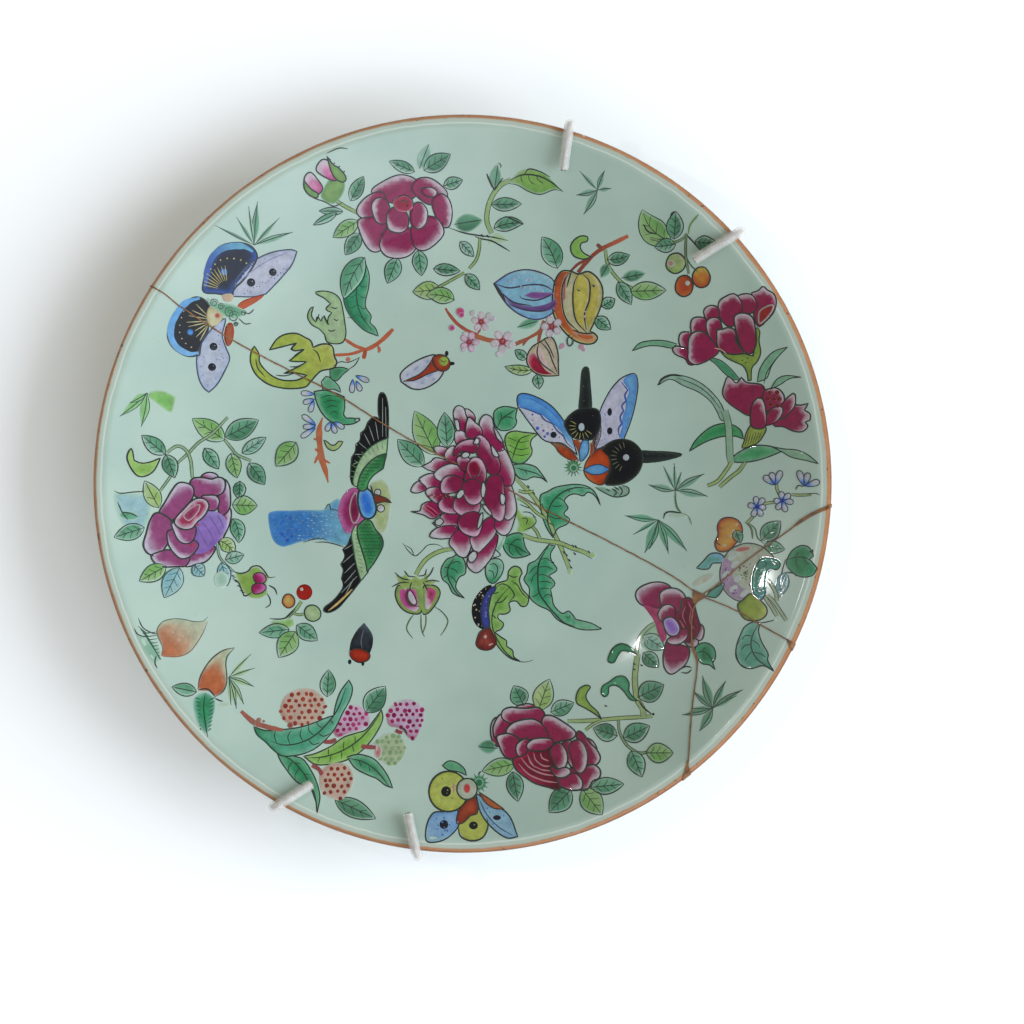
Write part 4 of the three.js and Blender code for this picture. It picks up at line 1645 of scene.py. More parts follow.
@dataclass
class FacePainting:
    """The whole painting of the plate's face, one method for each group of motifs."""

    form: PlateForm
    enamel: bpy.types.Material

    def sheet(self, name: str, seed: int) -> Painting:
        """Start a new piece of painting.

        Args:
            name: Name of its group of motifs.
            seed: Seed of its brushwork.

        Returns:
            The empty painting.
        """
        return Painting("enamel_" + name, self.form, SEED + seed)

    def build(self) -> None:
        """Paint every group."""
        for number, (name, group) in enumerate(self.groups().items()):
            painting = self.sheet(name, number)
            group(painting)
            painting.build(self.enamel)

    def groups(self) -> dict[str, Callable[[Painting], None]]:
        """Every group of motifs by name, in the order that they are painted."""
        names = (
            "rose_spray_top",
            "melon_and_pomegranate",
            "prunus_branch",
            "cherry_sprig",
            "centre_peony",
            "blue_butterfly",
            "left_rose",
            "peaches",
            "citrons_and_cicada",
            "bird",
            "hanging_bud_and_beetle",
            "carnations",
            "swallowtail",
            "leaves_by_the_peony",
            "bamboo_sprays",
            "small_blue_flowers",
            "right_fruits",
            "right_rose",
            "lower_rose",
            "yellow_butterfly",
            "lychees",
        )
        return {name: getattr(self, name) for name in names}

    def rose_spray_top(self, brush: Painting) -> None:
        """The full rose at the top, with its two buds, leaves and branch.

        Args:
            brush: The painting that takes the strokes.
        """
        brush.fill("8,81 11,84.5 15,82.5 15,81 11,80.5", wash("#a9c765", soft=1.2, cover=0.6))
        brush.stem("9.6,84 8,88 8.4,92.5 10,96.5 12.5,99.6 16,101.4", 1.5, "#93b35a")
        brush.line("-5,86 0,84.3 5,83.4 10,82.8 15,81.7", 0.45)
        brush.line("4,83 6.5,82.2 10,81.4 15.8,78.1", 0.5)
        brush.stem("5.6,82.4 5.4,79 4.4,75.4 2,72.4", 0.9)
        brush.line("6,83.8 6.8,82.8", 0.5)
        brush.line("8,83.6 8.6,82.6", 0.5)
        brush.leaf((-3, 87), (7, 88.6), 6.2, LeafTone.DEEP, lines=False, veins=0)
        brush.leaf((9.5, 93.4), (19.6, 93.6), 4.4, LeafTone.DEEP)
        brush.leaf((10.3, 85.6), (20.2, 87.2), 4.6, LeafTone.DEEP, bend=0.8)
        brush.line("14.2,89.6 16.6,88.6 20.2,86.9", 0.5)
        brush.leaf((10.6, 98.4), (11.8, 106.6), 4.2, LeafTone.MIDDLE, lines=False, veins=0)
        brush.line("8,103.4 9.2,100.6 10.6,98", 0.55)
        brush.line("13.4,102 11.8,100 10.6,98", 0.5)
        brush.line("11.8,106.8 12.8,106.2 12.6,105.2", 0.3)
        brush.fill(
            "15.4,100.4! 18.6,104 22,105.1 26,104.1 29.6,101.6 33.4,97.4! 30,98 26,96.7 22,97.6 "
            "18.4,99.7",
            wash("#86b651", "#6ea640", "#a9cb79", 120, 0.5, soft=0.5, cover=0.95)
        )
        brush.line("16,101.4 20,103 25,102.6 29.4,100.6 33.4,97.4", 0.5)
        brush.line("20.4,103 22,104.8 25.6,104 29,102.2", 0.42)
        brush.line("15.4,100.2 18.4,99.6 22,97.6 26,96.6 30,98 33,97.8", 0.3)
        for vein in (
            "19.6,103 19.4,101.8 20,100.6", "21.8,103 22.4,101 24,99.8", "24.6,102.8 25,101.4 26.8,100.2"
        ):
            brush.line(vein, 0.28)
        brush.restart()
        brush.leaf((-16, 104), (-24.5, 107.3), 3.6, LeafTone.MIDDLE)
        brush.leaf((-14.5, 105), (-11, 113.3), 4.6, LeafTone.PALE, lines=False, veins=0)
        brush.leaf((-13, 104.5), (-4, 109.6), 5.6, LeafTone.DEEP)
        brush.leaf((-6.5, 99.5), (0, 101.4), 4.0, LeafTone.MIDDLE)
        brush.leaf((-22, 76), (-25.5, 67.5), 5.5, LeafTone.MIDDLE)
        brush.leaf((-15, 78.5), (-14, 70), 5.0, LeafTone.MIDDLE)
        brush.leaf((-1, 81.4), (3.6, 76.4), 3.6, LeafTone.PALE)
        brush.leaf((-10, 72.4), (-1, 71.6), 4.0, LeafTone.DEEP)
        brush.stem("0.4,71 -4,68.6 -8,66.4 -11,64.8", 0.8)
        brush.leaf((-7.6, 65.6), (-17, 64.6), 6.0, LeafTone.YELLOW)
        brush.leaf((-3, 62), (-12.5, 63.5), 5.4, LeafTone.SPRING, bend=-0.8)
        brush.leaf((0.8, 70.6), (5.6, 65.4), 4.0, LeafTone.MIDDLE)
        brush.restart()
        brush.stem("-45,97 -41,93.6 -35.4,90.6", 1.1)
        brush.fill(
            "-47.4,95.4 -45.5,100 -42,103.4 -39.4,101.6 -39.4,97.4 -43,93.2",
            wash("#7fa35e", "#5f8a4c", soft=0.5)
        )
        brush.line("-52,97 -49.6,95.2 -46,94 -43,92.6 -40,94", 0.42)
        brush.shape(
            "-48.6,104 -47.6,106.6 -45.6,107.6 -42.6,105.6 -40.6,103 -42.4,100.8 -45.6,101.8",
            wash("#d07ba4", "#b54580", "#efe3ea", 130, 0.3)
        )
        brush.shape(
            "-52.6,101.4 -50.6,103.4 -48.4,101.4 -46.6,98.4 -48.4,96.2 -51.4,97.4",
            wash("#d68bb0", "#b54580", "#efe3ea", 125, 0.35)
        )
        brush.shape(
            "-45,108.6! -43,106 -41,104.8 -38.8,102 -39.6,100.4 -42,101.2 -43.6,103.6",
            wash("#8db06a", "#6d9650")
        )
        brush.shape(
            "-52.8,100.8! -52.6,98 -51,96 -48.6,95.2 -48.2,96.6 -50.4,98", wash("#8db06a", "#6d9650")
        )
        brush.line("-45,109.5 -41,111.2 -38,111", 0.3)
        for x, y in (
            (-44, 107.6), (-42.6, 106.4), (-41, 105.4), (-39.4, 103.8), (-52.8, 99.4), (-52, 97.4)
        ):
            brush.dot(x, y, 0.6, brush.ink)
        brush.restart()
        brush.leaf((-37.5, 94.4), (-33, 102.4), 4.4, LeafTone.DEEP)
        brush.leaf((-40, 91), (-48, 91), 2.6, LeafTone.MIDDLE, veins=0)
        brush.leaf((-42, 90.4), (-50, 86.4), 2.4, LeafTone.MIDDLE, veins=0)
        brush.leaf((-35, 88), (-43.5, 82.5), 5.0, LeafTone.SPRING)
        brush.leaf((-34.5, 84), (-39.5, 76.8), 5.0, LeafTone.DEEP)
        brush.leaf((-33, 76), (-40, 62), 7.2, LeafTone.MIDDLE, bend=-1)
        brush.restart()
        brush.flower((-20, 91), (
            "-30.5,97.5 -27,100.6 -21,103 -15.6,101.4 -15,97 -20,94 -26,94.4",
            "-17,98 -15.6,101.4 -12,102.2 -8.4,100.6 -5.2,97.2 -6.5,94 -12,93.6",
            "-35.6,91 -33.6,94.6 -30,97 -26.6,97.2 -25.4,93 -27,89 -33,88.6",
            "-34.6,88.6 -34.8,85 -32.4,79.6 -29.4,77.8 -25.8,80 -24.6,85 -27,89",
            "-9.4,90 -7.4,86.4 -4.6,86.4 -3.6,91 -4.8,95.4 -7.8,97 -10.4,94.6",
            "-28,80 -26,76.6 -22,75.8 -18.4,76.6 -15.8,79.4 -16.6,84.4 -21,87 -26,85.4",
            "-17.4,86 -16.4,79.8 -13,78.4 -9,80.8 -6.4,84.4 -8.4,88.6 -12.6,89.6",
            "-14,98.4 -12.6,96.2 -9.6,96 -8.6,97.6 -10.6,99",
            "-30.6,92.6 -28.8,95.4 -25.6,94.8 -24.2,90.4 -25.8,87.2 -29,87.8",
            "-25.4,90.6 -22.4,92.6 -18.8,90.6 -18.4,86.4 -21,84.2 -25,85.4",
            "-17.2,92.6 -14.4,94.2 -12,91.6 -12.4,87.4 -15,85.4 -17.6,87.6",
        ), ROSE.deep, ROSE.tip, start=0.38)
        brush.fill(
            "-23.4,94.6 -20,96.6 -17,95.4 -16.6,92.4 -19,90.8 -22.4,91.6",
            wash("#8e1530", "#a62a55", soft=0.4)
        )
        brush.line("-23.4,94.4 -20,96.4 -17,95 -16.8,92.6", 0.42)
        brush.line("-21.4,94 -19.6,94.8 -18.2,93.4", 0.36)
        brush.dot(-18.4, 93, 1.2, "#5e0d22", soft=0.2)

    def melon_and_pomegranate(self, brush: Painting) -> None:
        """The ribbed melon on its twig, with the blue fruit behind it and a red bud below.

        Args:
            brush: The painting that takes the strokes.
        """
        brush.leaf((31.6, 72.4), (26.4, 82.8), 6.8, LeafTone.MIDDLE, bend=-0.6)
        brush.shape(
            "43,76! 40,75.4 37,76.6 36,79.4 37.2,81.7 39.5,83 41.8,82.6 41.4,81.1 40,80.9 39.2,79.6 "
            "40.2,77.6",
            wash("#7db34d", "#93c063")
        )
        brush.restart()
        brush.line("38.6,71 41,74 44,77 47,79 51,80.8 55.2,82.8", 1.5, "#84301f", taper=0.15, end="#bd5a32")
        brush.line("36,71.4 38.6,73.8 42,75.4", 1.0, "#7e2d20", taper=0.2)
        brush.line("44.8,80.2 45.8,79.4 46.6,78.6", 1.2, "#7a2a1e", taper=0.2)
        brush.stem("47.6,78.4 48.4,74 50.2,70.8 53.4,67.4 57,65.4 62,62.4", 1.0, "#86a650")
        brush.leaf((48.2, 75.2), (55.8, 76.6), 4.4, LeafTone.DEEP, bend=-0.5)
        brush.leaf((49, 74), (46, 69), 4.0, LeafTone.DEEP, lines=False, veins=0)
        brush.leaf((53, 69), (61.4, 70.4), 4.2, LeafTone.DEEP, lines=False, veins=2)
        brush.leaf((52, 67.8), (56.4, 60.2), 4.6, LeafTone.MIDDLE)
        brush.leaf((56, 64.6), (68, 64.8), 6.0, LeafTone.SPRING)
        brush.leaf((46.6, 59.6), (51, 62.2), 4.0, LeafTone.MIDDLE)
        brush.leaf((44.4, 56), (49.6, 52), 4.4, LeafTone.MIDDLE)
        brush.restart()
        brush.shape(
            "10.3,67.4! 15,70.6 20,72 25,71.4 30,68.8 31.6,64 31.4,59.4 28.6,56.6 24.6,55.4 20,56.6 "
            "15.4,59.8 12,64.2!",
            wash("#8dbfd6", "#7aa6cf", "#a9d4de", 60, 0.4), 0.5, "#3a2a4a"
        )
        brush.fill(
            "12.4,64.6! 17,61.2 23,60 28.4,61 31.4,63.2! 31.4,59.6 27,57.8 20.6,58.2 15.6,60.4",
            wash("#7a5a94", "#5c3f78", "#a98fc0", 90, 0.5, soft=0.3)
        )
        brush.fill(
            "20,63.4! 24,62.2 29,62.8 31,64.6! 27,64.6 23,64.8", wash("#8b5f9e", "#7a4a86", soft=0.3)
        )
        brush.raise_over()
        for text in (
            "10.6,67.4 15.6,66 22,67 27,66.8 31,64.6", "19,63.4 20,62.4 25,61.9 30.4,64",
            "15.4,60.4 21,58.6 27,58.4 31.4,61", "12.6,64.6 17,61.2 23,60"
        ):
            brush.line(text, 0.5, "#2e1c3c")
        brush.line("10.2,67.6 12,65.2 14.2,61.4", 0.9, "#1a1524")
        for x, y, size in (
            (15.6, 68.2, 1.2), (17, 69, 1.3), (18.6, 69.6, 1.1), (16.6, 67.6, 1), (21, 68.8, 1.4),
            (22.6, 68.6, 1.6), (23.6, 69.2, 1), (20.6, 66.2, 1.2), (22.4, 66, 1.3), (24.6, 65.6, 1),
            (26.6, 65, 1.2), (19.4, 66.6, 0.8)
        ):
            brush.dot(x, y, size, "#5f6fb8", soft=0.4, cover=0.75)
        brush.restart()
        self.melon(brush)
        brush.restart()
        brush.line("27.4,55 26.4,52.4 25.6,49.6 25.4,47.6", 1.2, "#8a4a34", taper=0.2)
        brush.shape(
            "26,47.9! 23.4,46.4 21.6,43.6 21.5,40.6 23.4,38 26.4,36.6 29.6,36.4 32.2,36.6! 32,40 "
            "31.9,44 30.8,48 29.4,49.6 27.4,48.9!",
            wash("#cdbfa6", "#b9a68c"), 0.48
        )
        brush.fill(
            "24,44.6! 22.2,43.4 21.8,40.8 23.6,38.2 26.6,36.9 30.6,36.8! 28,38.4 26,41",
            wash("#9c2238", "#7c1830", "#c9788a", 150, 0.6)
        )
        brush.fill(
            "25.2,46.8! 25,43 26.8,40.2 30,37.8! 27.6,42.2 26.4,45.6",
            wash("#b9566a", "#e3cfc8", soft=0.2)
        )
        brush.raise_over()
        for text in (
            "25.4,47.6 24.9,44 26.4,40.6 31.4,36.9", "26,47.9 28.6,45 30.2,41 31.9,37",
            "25.2,47.6 23.2,46.2", "27.2,48.8 29,46 30.6,42.4"
        ):
            brush.line(text, 0.42)
        brush.leaf((21.4, 42), (17.4, 45.2), 3.2, LeafTone.MIDDLE, veins=2)
        brush.leaf((23.4, 38.4), (14, 39.6), 3.4, LeafTone.YELLOW, bend=0.6)
        brush.leaf((24.8, 37), (25.6, 32), 3.6, LeafTone.MIDDLE, veins=2)

    def melon(self, brush: Painting) -> None:
        """The ribbed melon's own body.

        Args:
            brush: The painting that takes the strokes.
        """
        brush.shape(
            "36,71.6! 33,71.4 30.8,68 30,62 30.6,56.6 33.4,52 37,48.6 40.6,47.2 43.8,47.4 45.2,49.2 "
            "44,50.8 42.6,51.4! 44.8,56 46.6,61 46.8,65.6 45,69.2 42,71.3 38.8,70.5",
            wash("#c9c39a", "#b9b070"), 0.55
        )
        brush.fill(
            "35.8,71.4! 33,71.2 31,68 30.4,62 31,56.8 33.8,52.2 37.6,49 41,47.8 44,48 44.8,49.4 43,50.6 "
            "40,51 36.6,52.6 34,56.6 33,62 33.4,67.6",
            wash("#c4703c", "#9c3f26", "#d58a50", 300, 0.5)
        )
        brush.fill(
            "35.6,71! 33.6,69.4 33.2,64 33.4,60 34.6,62 34.8,67", wash("#7e2018", "#9c3f26", soft=0.5)
        )
        brush.fill(
            "38.4,70.2! 37.2,66 37,61 38,55.4 41,51.4! 40.6,57 42,63 41.8,67.6 40.2,70.2",
            wash("#d9cf68", "#c4b450", soft=0.2)
        )
        brush.fill(
            "40.4,70.4! 43,70.6 45.4,67.8 46.2,63.4 44.6,57.4 42.2,52! 41,56 42.4,62 42.6,66.6",
            wash("#cfc35c", "#b5a548", "#d9d08a", 20, 0.5, soft=0.2)
        )
        brush.fill("36,51.6! 39,49 42,48.2 44.4,49 43.4,50.4 40,50.8", wash("#c8743a", "#a5512a", soft=0.4))
        brush.raise_over()
        for text in (
            "38.6,70.4 37.2,67 36.9,61 38,55 41.6,50.9", "40.2,70.4 42.4,67.8 42.4,62 40.8,57 41.4,52",
            "35.8,71.4 33.4,66.6 33.4,60 35,55 39.2,51", "36.8,52 40,50.8 43.8,50.7",
            "36.4,71.6 35.6,69 34.8,66"
        ):
            brush.line(text, 0.5)
        for x, y, size in (
            (44, 66.6, 1.3), (45.2, 62.6, 1.1), (41, 58, 1.0), (40.6, 56.4, 1.4), (42, 55.6, 0.8),
            (41.6, 61, 0.8), (44.4, 59, 0.9), (38.6, 65.2, 0.8), (39, 64.6, 0.6)
        ):
            brush.dot(x, y, size, "#a5562c", soft=0.4, cover=0.8)
        brush.line("43.2,66.8 44.4,66.4", 0.4)
        brush.line("44.2,66.9 43.6,66", 0.35)
        brush.line("38.4,65.6 38.8,64.8 39.4,65.2", 0.35)

    def blossom(
        self, brush: Painting, x: float, y: float, size: float, turn: float, petal: str = "#f2eeee",
        ring: str = "#c06a94"
    ) -> None:
        """A small five-petalled prunus flower with a dark red and yellow eye.

        Args:
            brush: The painting that takes the strokes.
            x: Its middle, to the right of the plate's centre.
            y: Its middle, above the plate's centre.
            size: Its width.
            turn: Degrees that it is turned.
            petal: Colour of its petals.
            ring: Colour along their outlines.
        """
        for i in range(5):
            away = heading(turn + 72 * i) * size * 0.62
            brush.dot(
                x + away[0], y + away[1], size * 0.78, petal, tall=size * 0.7, turn=turn + 72 * i,
                rim=ring, soft=0.25
            )
        brush.dot(x, y, size * 0.7, "#8c1c3c", soft=0.3)
        for i in range(5):
            away = heading(turn + 36 + 72 * i) * size * 0.5
            brush.line(np.array([[x, y], [x + away[0], y + away[1]]]), 0.3, "#7e1430")
        brush.dot(x, y, size * 0.3, "#e0a83e")
        brush.dot(x + 0.3, y + 0.5, size * 0.16, "#f3d774")
        brush.raise_over()

    def prunus_branch(self, brush: Painting) -> None:
        """The prunus branch and its blossoms below the fruits.

        Args:
            brush: The painting that takes the strokes.
        """
        brush.line("-6,59.2 -4.6,57 -2,54 1.6,51.6 5,50.4", 1.1, "#a0402a", taper=0.3)
        brush.line("2,50.6 5.6,49.4 9,48.4 13,48.2", 1.5, "#a8562f", taper=0.3)
        brush.line("16,46.4 19,47.8 22,49.2 25.8,51.6 27,55", 1.3, "#9c4d30", taper=0.3)
        brush.line("20,46.6 21,48.2 22.4,49.4", 0.9, "#8e4230")
        brush.line("5,50.8 5.6,52.4 5,54", 0.9, "#8e4230")
        brush.leaf((25.4, 55), (17.6, 52.6), 3.6, LeafTone.MIDDLE, lines=False, veins=0)
        brush.raise_over()
        self.blossom(brush, 6, 54.6, 3.6, 20)
        self.blossom(brush, 13.2, 48, 4.2, 50)
        self.blossom(brush, 2, 47.8, 3.6, 0, "#ead3e2", "#a8447c")
        self.blossom(brush, 29.8, 53, 3.8, 35, "#eceaea", "#9c5a86")
        for x, y, size in (
            (-1, 58, 3.2), (-0.6, 57, 2.4), (-3.8, 52.6, 2.4), (33.4, 46.6, 2.0), (39.8, 46.2, 2.2),
            (40.6, 45.2, 1.4), (32.8, 46, 1.4)
        ):
            brush.dot(x, y, size, "#b03a6c", rim="#c887a8", soft=0.3)
        brush.dot(-1.6, 58.6, 1.3, "#c34a34", soft=0.2)
        for x, y, size in (
            (3.2, 57.6, 2.2), (8.8, 56.6, 2.6), (10, 55.8, 2.0), (16.4, 47, 2.6), (12, 43.8, 2.2),
            (0.6, 50.6, 1.8), (0.2, 45.2, 1.8)
        ):
            brush.dot(x, y, size, "#f3f1f1", rim="#dcd0da", soft=0.2)
        brush.line("36,50.4 35,48.4 35.6,46.4 37,47.6 36.6,49.6", 0.4)

    def cherry_sprig(self, brush: Painting) -> None:
        """Three small fruits on a leafy sprig at the upper right.

        Args:
            brush: The painting that takes the strokes.
        """
        brush.leaf((69.4, 80.8), (59.8, 91.2), 8.4, LeafTone.SPRING, bend=2.0)
        brush.line("60.2,86.6 61.4,84.4 63,83.6 64.8,83.2", 0.5)
        brush.stem("62.4,82 66,81 70,80.4 73,81.4 74.6,83.2", 0.7, "#6f8f4e")
        brush.line("74.4,82.8 77,80 79,77.6", 0.5)
        brush.line("75,83 75.6,86 78.2,89.2", 0.7, "#6d9650")
        brush.stem("74.4,82.8 74.2,79 74.4,75 75.4,70", 0.7, "#5f7c48")
        brush.line("74.6,75.4 76,72.8 78.2,70.8", 0.5, "#3f5a3a")
        brush.leaf((70.4, 81.4), (70.8, 90.4), 5.6, LeafTone.DEEP)
        brush.line("69,88 69.6,90 71,90.2", 0.5)
        brush.leaf((71, 79.8), (64, 79), 4.6, LeafTone.MIDDLE)
        brush.leaf((77.2, 80.6), (84, 80.4), 4.6, LeafTone.DEEP, bend=-0.5)
        brush.restart()
        brush.shape(
            "67.8,73.4 69,76.2 72,76.8 74.2,74.4 73.6,71.6 71,70.2 68.6,71.4",
            wash("#a9bf7a", "#8fae62", "#c3cf9a", 40, 0.4), 0.5
        )
        brush.dot(69.4, 73.6, 2.8, "#a2544a", soft=0.9, cover=0.8)
        brush.shape(
            "71,66.4 72.2,69 75,69.4 76.8,66.6 76,63.6 73.6,62.6 71.4,64",
            wash("#a5452a", "#b8622f", "#8a2f1c", 30, 0.5), 0.5
        )
        brush.dot(75, 67, 2.0, "#7a2015", soft=0.8, cover=0.8)
        brush.shape(
            "76.6,69.6 78,71.8 80.6,72 82.4,69 81.6,66.2 79.2,65.4 77,67",
            wash("#c07a34", "#a8482a", "#cdb253", 90, 0.4), 0.5
        )

    def centre_peony(self, brush: Painting) -> None:
        """The great peony in the middle.

        Args:
            brush: The painting that takes the strokes.
        """
        deep, tip = PEONY.deep, PEONY.tip
        outer = (
            "-3.4,24.3 -2,26.4 0.2,25.6 1.2,22.6 3.8,20.3 4,16.6 0,16.5 -2.6,20.5",
            "0.6,25.4 2.6,24.6 4,22.6 3.6,20.6 1.4,22.2",
            "-2.8,17.6 -2.6,14 0,11.6 4,12.6 4.6,16.6 2,16.4 -0.4,18",
            "-10,12.3 -7.5,12.8 -4.6,11.4 -5.4,9.6 -8.5,10",
            "-6.4,9.4 -5.4,11.8 -3.4,12.9 -1.2,11.4 -0.6,8.6 -2.5,6.4 -5,6.6",
            "-14,6! -11,7.5 -9.4,8.9 -6,8 -4.6,5.4 -7.4,3.8 -11.4,4.6",
            "-17.7,-2.4 -16.4,0.2 -14,1.2 -11.6,0 -12.6,-1.8 -15.4,-3",
            "-15,1.5 -12,3.4 -8,3.4 -5.8,1 -7.4,-2.4 -10.6,-3.4 -13,-0.6",
            "-10,3.4 -7,6 -3.6,6.8 0.5,5 1.2,1.4 -3.4,0.6 -8,1",
            "-17.7,-9.3! -14.6,-9 -14,-7 -11.4,-5.8 -8.4,-6 -7.2,-9.4 -10.4,-11.7 -13.4,-10.4",
            "-12.8,-2.2 -10.4,-1 -7.4,-1.6 -6.4,-5 -8.6,-6.6 -11.6,-4.6",
            "-10.4,-13.2! -8.2,-12.4 -7.4,-10.4 -4,-9 -0.8,-10.4 -1.4,-14.2 -5.4,-15.4 -8.6,-14.6",
            "-11.4,-17.6 -9.6,-15.2 -6,-14 -2,-14.4 -3,-17.6 -6,-18.4 -8.8,-18.4",
            "-4.8,-20 -3.4,-16.8 0.4,-14.4 2,-17.5 2.6,-21 1,-24.6 -1.6,-24.2 -3.2,-22.2",
            "1.4,-27.6 2,-24 5,-20.4 8,-17.6 11.6,-17 10.8,-22 8.4,-26.4 4.6,-29.9",
            "3,-21.5 2.4,-18 6,-13.4 9.6,-11 11.2,-14.5 10.5,-17.5 7.5,-21 4.6,-23.4",
            "17.6,-8.6 17.2,-12 15.6,-16.2 13,-17.2 10.4,-13.8 13,-8.4",
            "12.4,4 15.4,1.4 17.4,-4.4 17.8,-9.4 15,-12.2 12.6,-9 12.2,-3",
            "11,10.8 13.4,12.2 15.6,9 17.4,3.2 16,-0.6 12.4,0.6 11,5",
            "5.6,21.4 7.4,23.4 9.6,22.4 10.4,19.5 13,14.5 13.8,11.6 10.6,11.4 7,15.8 5.6,18.6",
            "1.6,22.4 4,20.8 6.2,18.6 5.8,15.6 1,16",
        )
        inner = (
            "3.4,14.8 5.8,16.6 8.6,14.2 9.8,11 12,8.4 12.4,4.4 9.6,3 6.6,6.4 4.4,10.6",
            "-3.2,9.4 -0.4,11 3.4,10.4 5.4,12.6 3.6,15 0,14.6 -2.8,12.4",
            "-2.2,8.6 0,9.7 2.6,8.2 4.2,5.2 1,4 -1.4,5.8",
            "7.2,-1 9.2,2.8 13,2.4 13.8,-2 14.2,-8 13.6,-11.6 12,-12.6 9.4,-10.5 7.6,-7 6.6,-4",
            "-7.6,0 -6,2.4 -2.5,2.8 0.2,1 -1,-2.2 -5,-3.2 -7.3,-2.8",
            "-8.4,-6.6 -6.6,-4.6 -3,-4.4 -0.6,-6.4 -1.6,-9.6 -4.6,-10 -7.6,-9",
            "-3.2,-8.6 -2.8,-5 -0.5,-1.8 3.4,-1.2 5.6,-5 5.2,-9.4 0.6,-11",
            "-1.8,-12.6 0.4,-10 4.6,-9.4 6.6,-12.4 5,-17.4 1.8,-17.4 -1,-15.6",
            "1,5 3,8.8 6,8.4 7.8,4.4 7,0.4 3.4,-1.6 0.6,1",
            "-0.6,-1.4 1.6,1.4 5,1.2 7,-2.6 5.4,-6.4 1.8,-6.6",
        )
        brush.flower((1, -2), outer, deep, tip, start=0.27, width=0.42)
        brush.flower((2, 1), inner, "#7e1a42", "#dcb4ca", start=0.36, width=0.4)
        brush.fill("1.8,7.4 4.4,8 6,5.6 5.4,2.8 2.8,2.2 1.2,4.4", wash("#6d0d2c", "#8e1740", soft=0.4))
        brush.line("2,3.4 3.6,2.4 5.2,3.4 5.6,5.6", 0.36)
        for text in (
            "6,-2 6.6,1 7.6,-1.4 7,-4.6 6.2,-4.4", "6.4,-6.8 8,-7.6 9.9,-10.6 8.4,-10 7,-8.4",
            "4.6,-15.4 5.4,-11 6.6,-9.6 6.3,-13", "12.6,-3 14.2,-4.4 13.6,-7.2 12.5,-6",
            "10.2,19.4 12.2,16.6 13.6,13.8 11.4,15.4", "9.4,13.2 11.2,11 12.2,9 10,9.8",
            "-3,21.8 -2.4,18.6 -1.2,18 -1.6,21.4", "-9.8,-13 -8,-11.4 -6.6,-12.6 -8,-14",
            "-2.6,-4.4 -1,-2 0.6,-2.6 -1,-4.8", "1.6,-24.4 3.8,-22.4 4.6,-24.6 2.6,-26.6",
            "3.4,13.6 4.4,15.6 5.8,15 4.6,13.2", "-0.8,9.2 0.4,10.8 2.4,10.2 1,8.8"
        ):
            brush.shape(text, wash("#dfe4e4", "#f2f2f2"), 0.36)
        for i in range(9):
            brush.dot(-11.4 + 0.9 * i, -4.1 + 0.5 * math.sin(i * 2.1), 1.0, "#d9798f", rim="#8e1228")
        for text in ("-13.4,-8 -11,-9.4 -9.4,-11", "-12.6,-7 -10.4,-8.4 -8.6,-10"):
            brush.line(text, 0.5, "#c23a5e")

    def blue_butterfly(self, brush: Painting) -> None:
        """The blue and black butterfly at the upper left, with the bamboo and leaves about it.

        Args:
            brush: The painting that takes the strokes.
        """
        for tip, width, colour in (
            ((-75, 88.5), 1.6, "#4d8a66"), ((-68, 93.6), 2.4, "#3f8f63"), ((-61, 88.6), 1.8, "#5f9a72"),
            ((-56.6, 84), 2.0, "#6fa884"), ((-82, 85.6), 1.4, "#35604a"), ((-71, 92), 1.4, "#86b49a")
        ):
            self.blade(brush, (-69.5, 79.5), tip, width, colour)
        brush.restart()
        upper = (
            "-77.4,62.8! -82,63.4 -86.4,64 -85.9,69 -84.6,74 -82,77.6 -79,79.5 -74.5,80.2 -70.6,79.2 "
            "-68.6,76.4 -69.4,73.6 -73,68.4 -76,65.4"
        )
        brush.shape(upper, wash("#1c2130", "#2c4f96", reach=2.6), 0.6, "#141820")
        brush.line(
            "-85.8,65.6 -85.1,70.4 -83.4,75 -80.6,77.8 -77,79 -73,79 -70,77.4", 2.0, "#2a4f9c",
            end="#67b3cf"
        )
        brush.raise_over()
        for x, y in (
            (-85, 69.7), (-83.8, 71.4), (-82.4, 73), (-80.6, 74.4), (-78.4, 75), (-76.2, 75), (-74, 74.6),
            (-72.2, 73.6)
        ):
            brush.dot(x, y, 0.8, "#d9cf7a")
        for angle in range(95, 171, 9):
            away = heading(angle)
            start, end = np.array([-78.4, 64.4]) + away * 3.4, np.array([-78.4, 64.4]) + away * 8.2
            brush.line(np.array([start, end]), 0.3, "#c9b75a")
        brush.dot(-79.6, 70.6, 2.6, "#4a86c8", rim="#2a4f9c")
        brush.restart()
        for wing, band in (
            (
                "-86.3,61.5 -89,62.1 -92,60.6 -94.6,58 -97,54 -98.2,49.8 -97.4,46.6 -95,44 -91.6,42.5 "
                "-88,43! -87.2,47.4 -85,51.6 -85.6,55.6 -84.4,59.4!",
                "-87.6,61.8 -91.4,60.6 -94.4,57.6 -96.8,53 -97,48.6 -95,45.2 -91.4,43.4 -88.4,43.8"
            ),
        ):
            brush.shape(wing, wash("#15171c"), 0.5, "#141820")
            brush.line(band, 2.1, "#5fa3dc", end="#77b2e2")
            brush.raise_over()
        for tip in (
            (-88.8, 59.8), (-90.2, 57.8), (-91.2, 56), (-92, 53.8), (-91.4, 52.4), (-89.4, 51), (-89, 49),
            (-87.8, 47.8)
        ):
            brush.line(np.array([(-85.2, 54.4 + (tip[1] - 54) * 0.3), tip]), 0.34, "#d8cc8c")
        for x, y in (
            (-92.8, 57.4), (-93.6, 55.3), (-94.2, 52.8), (-94.3, 50.4), (-93.6, 48.4), (-92.4, 46.8),
            (-90.6, 45.6)
        ):
            brush.dot(x, y, 0.7, "#e6e2c4")
        brush.dot(-90.9, 50.6, 2.4, "#4f8fd0", rim="#274a78")
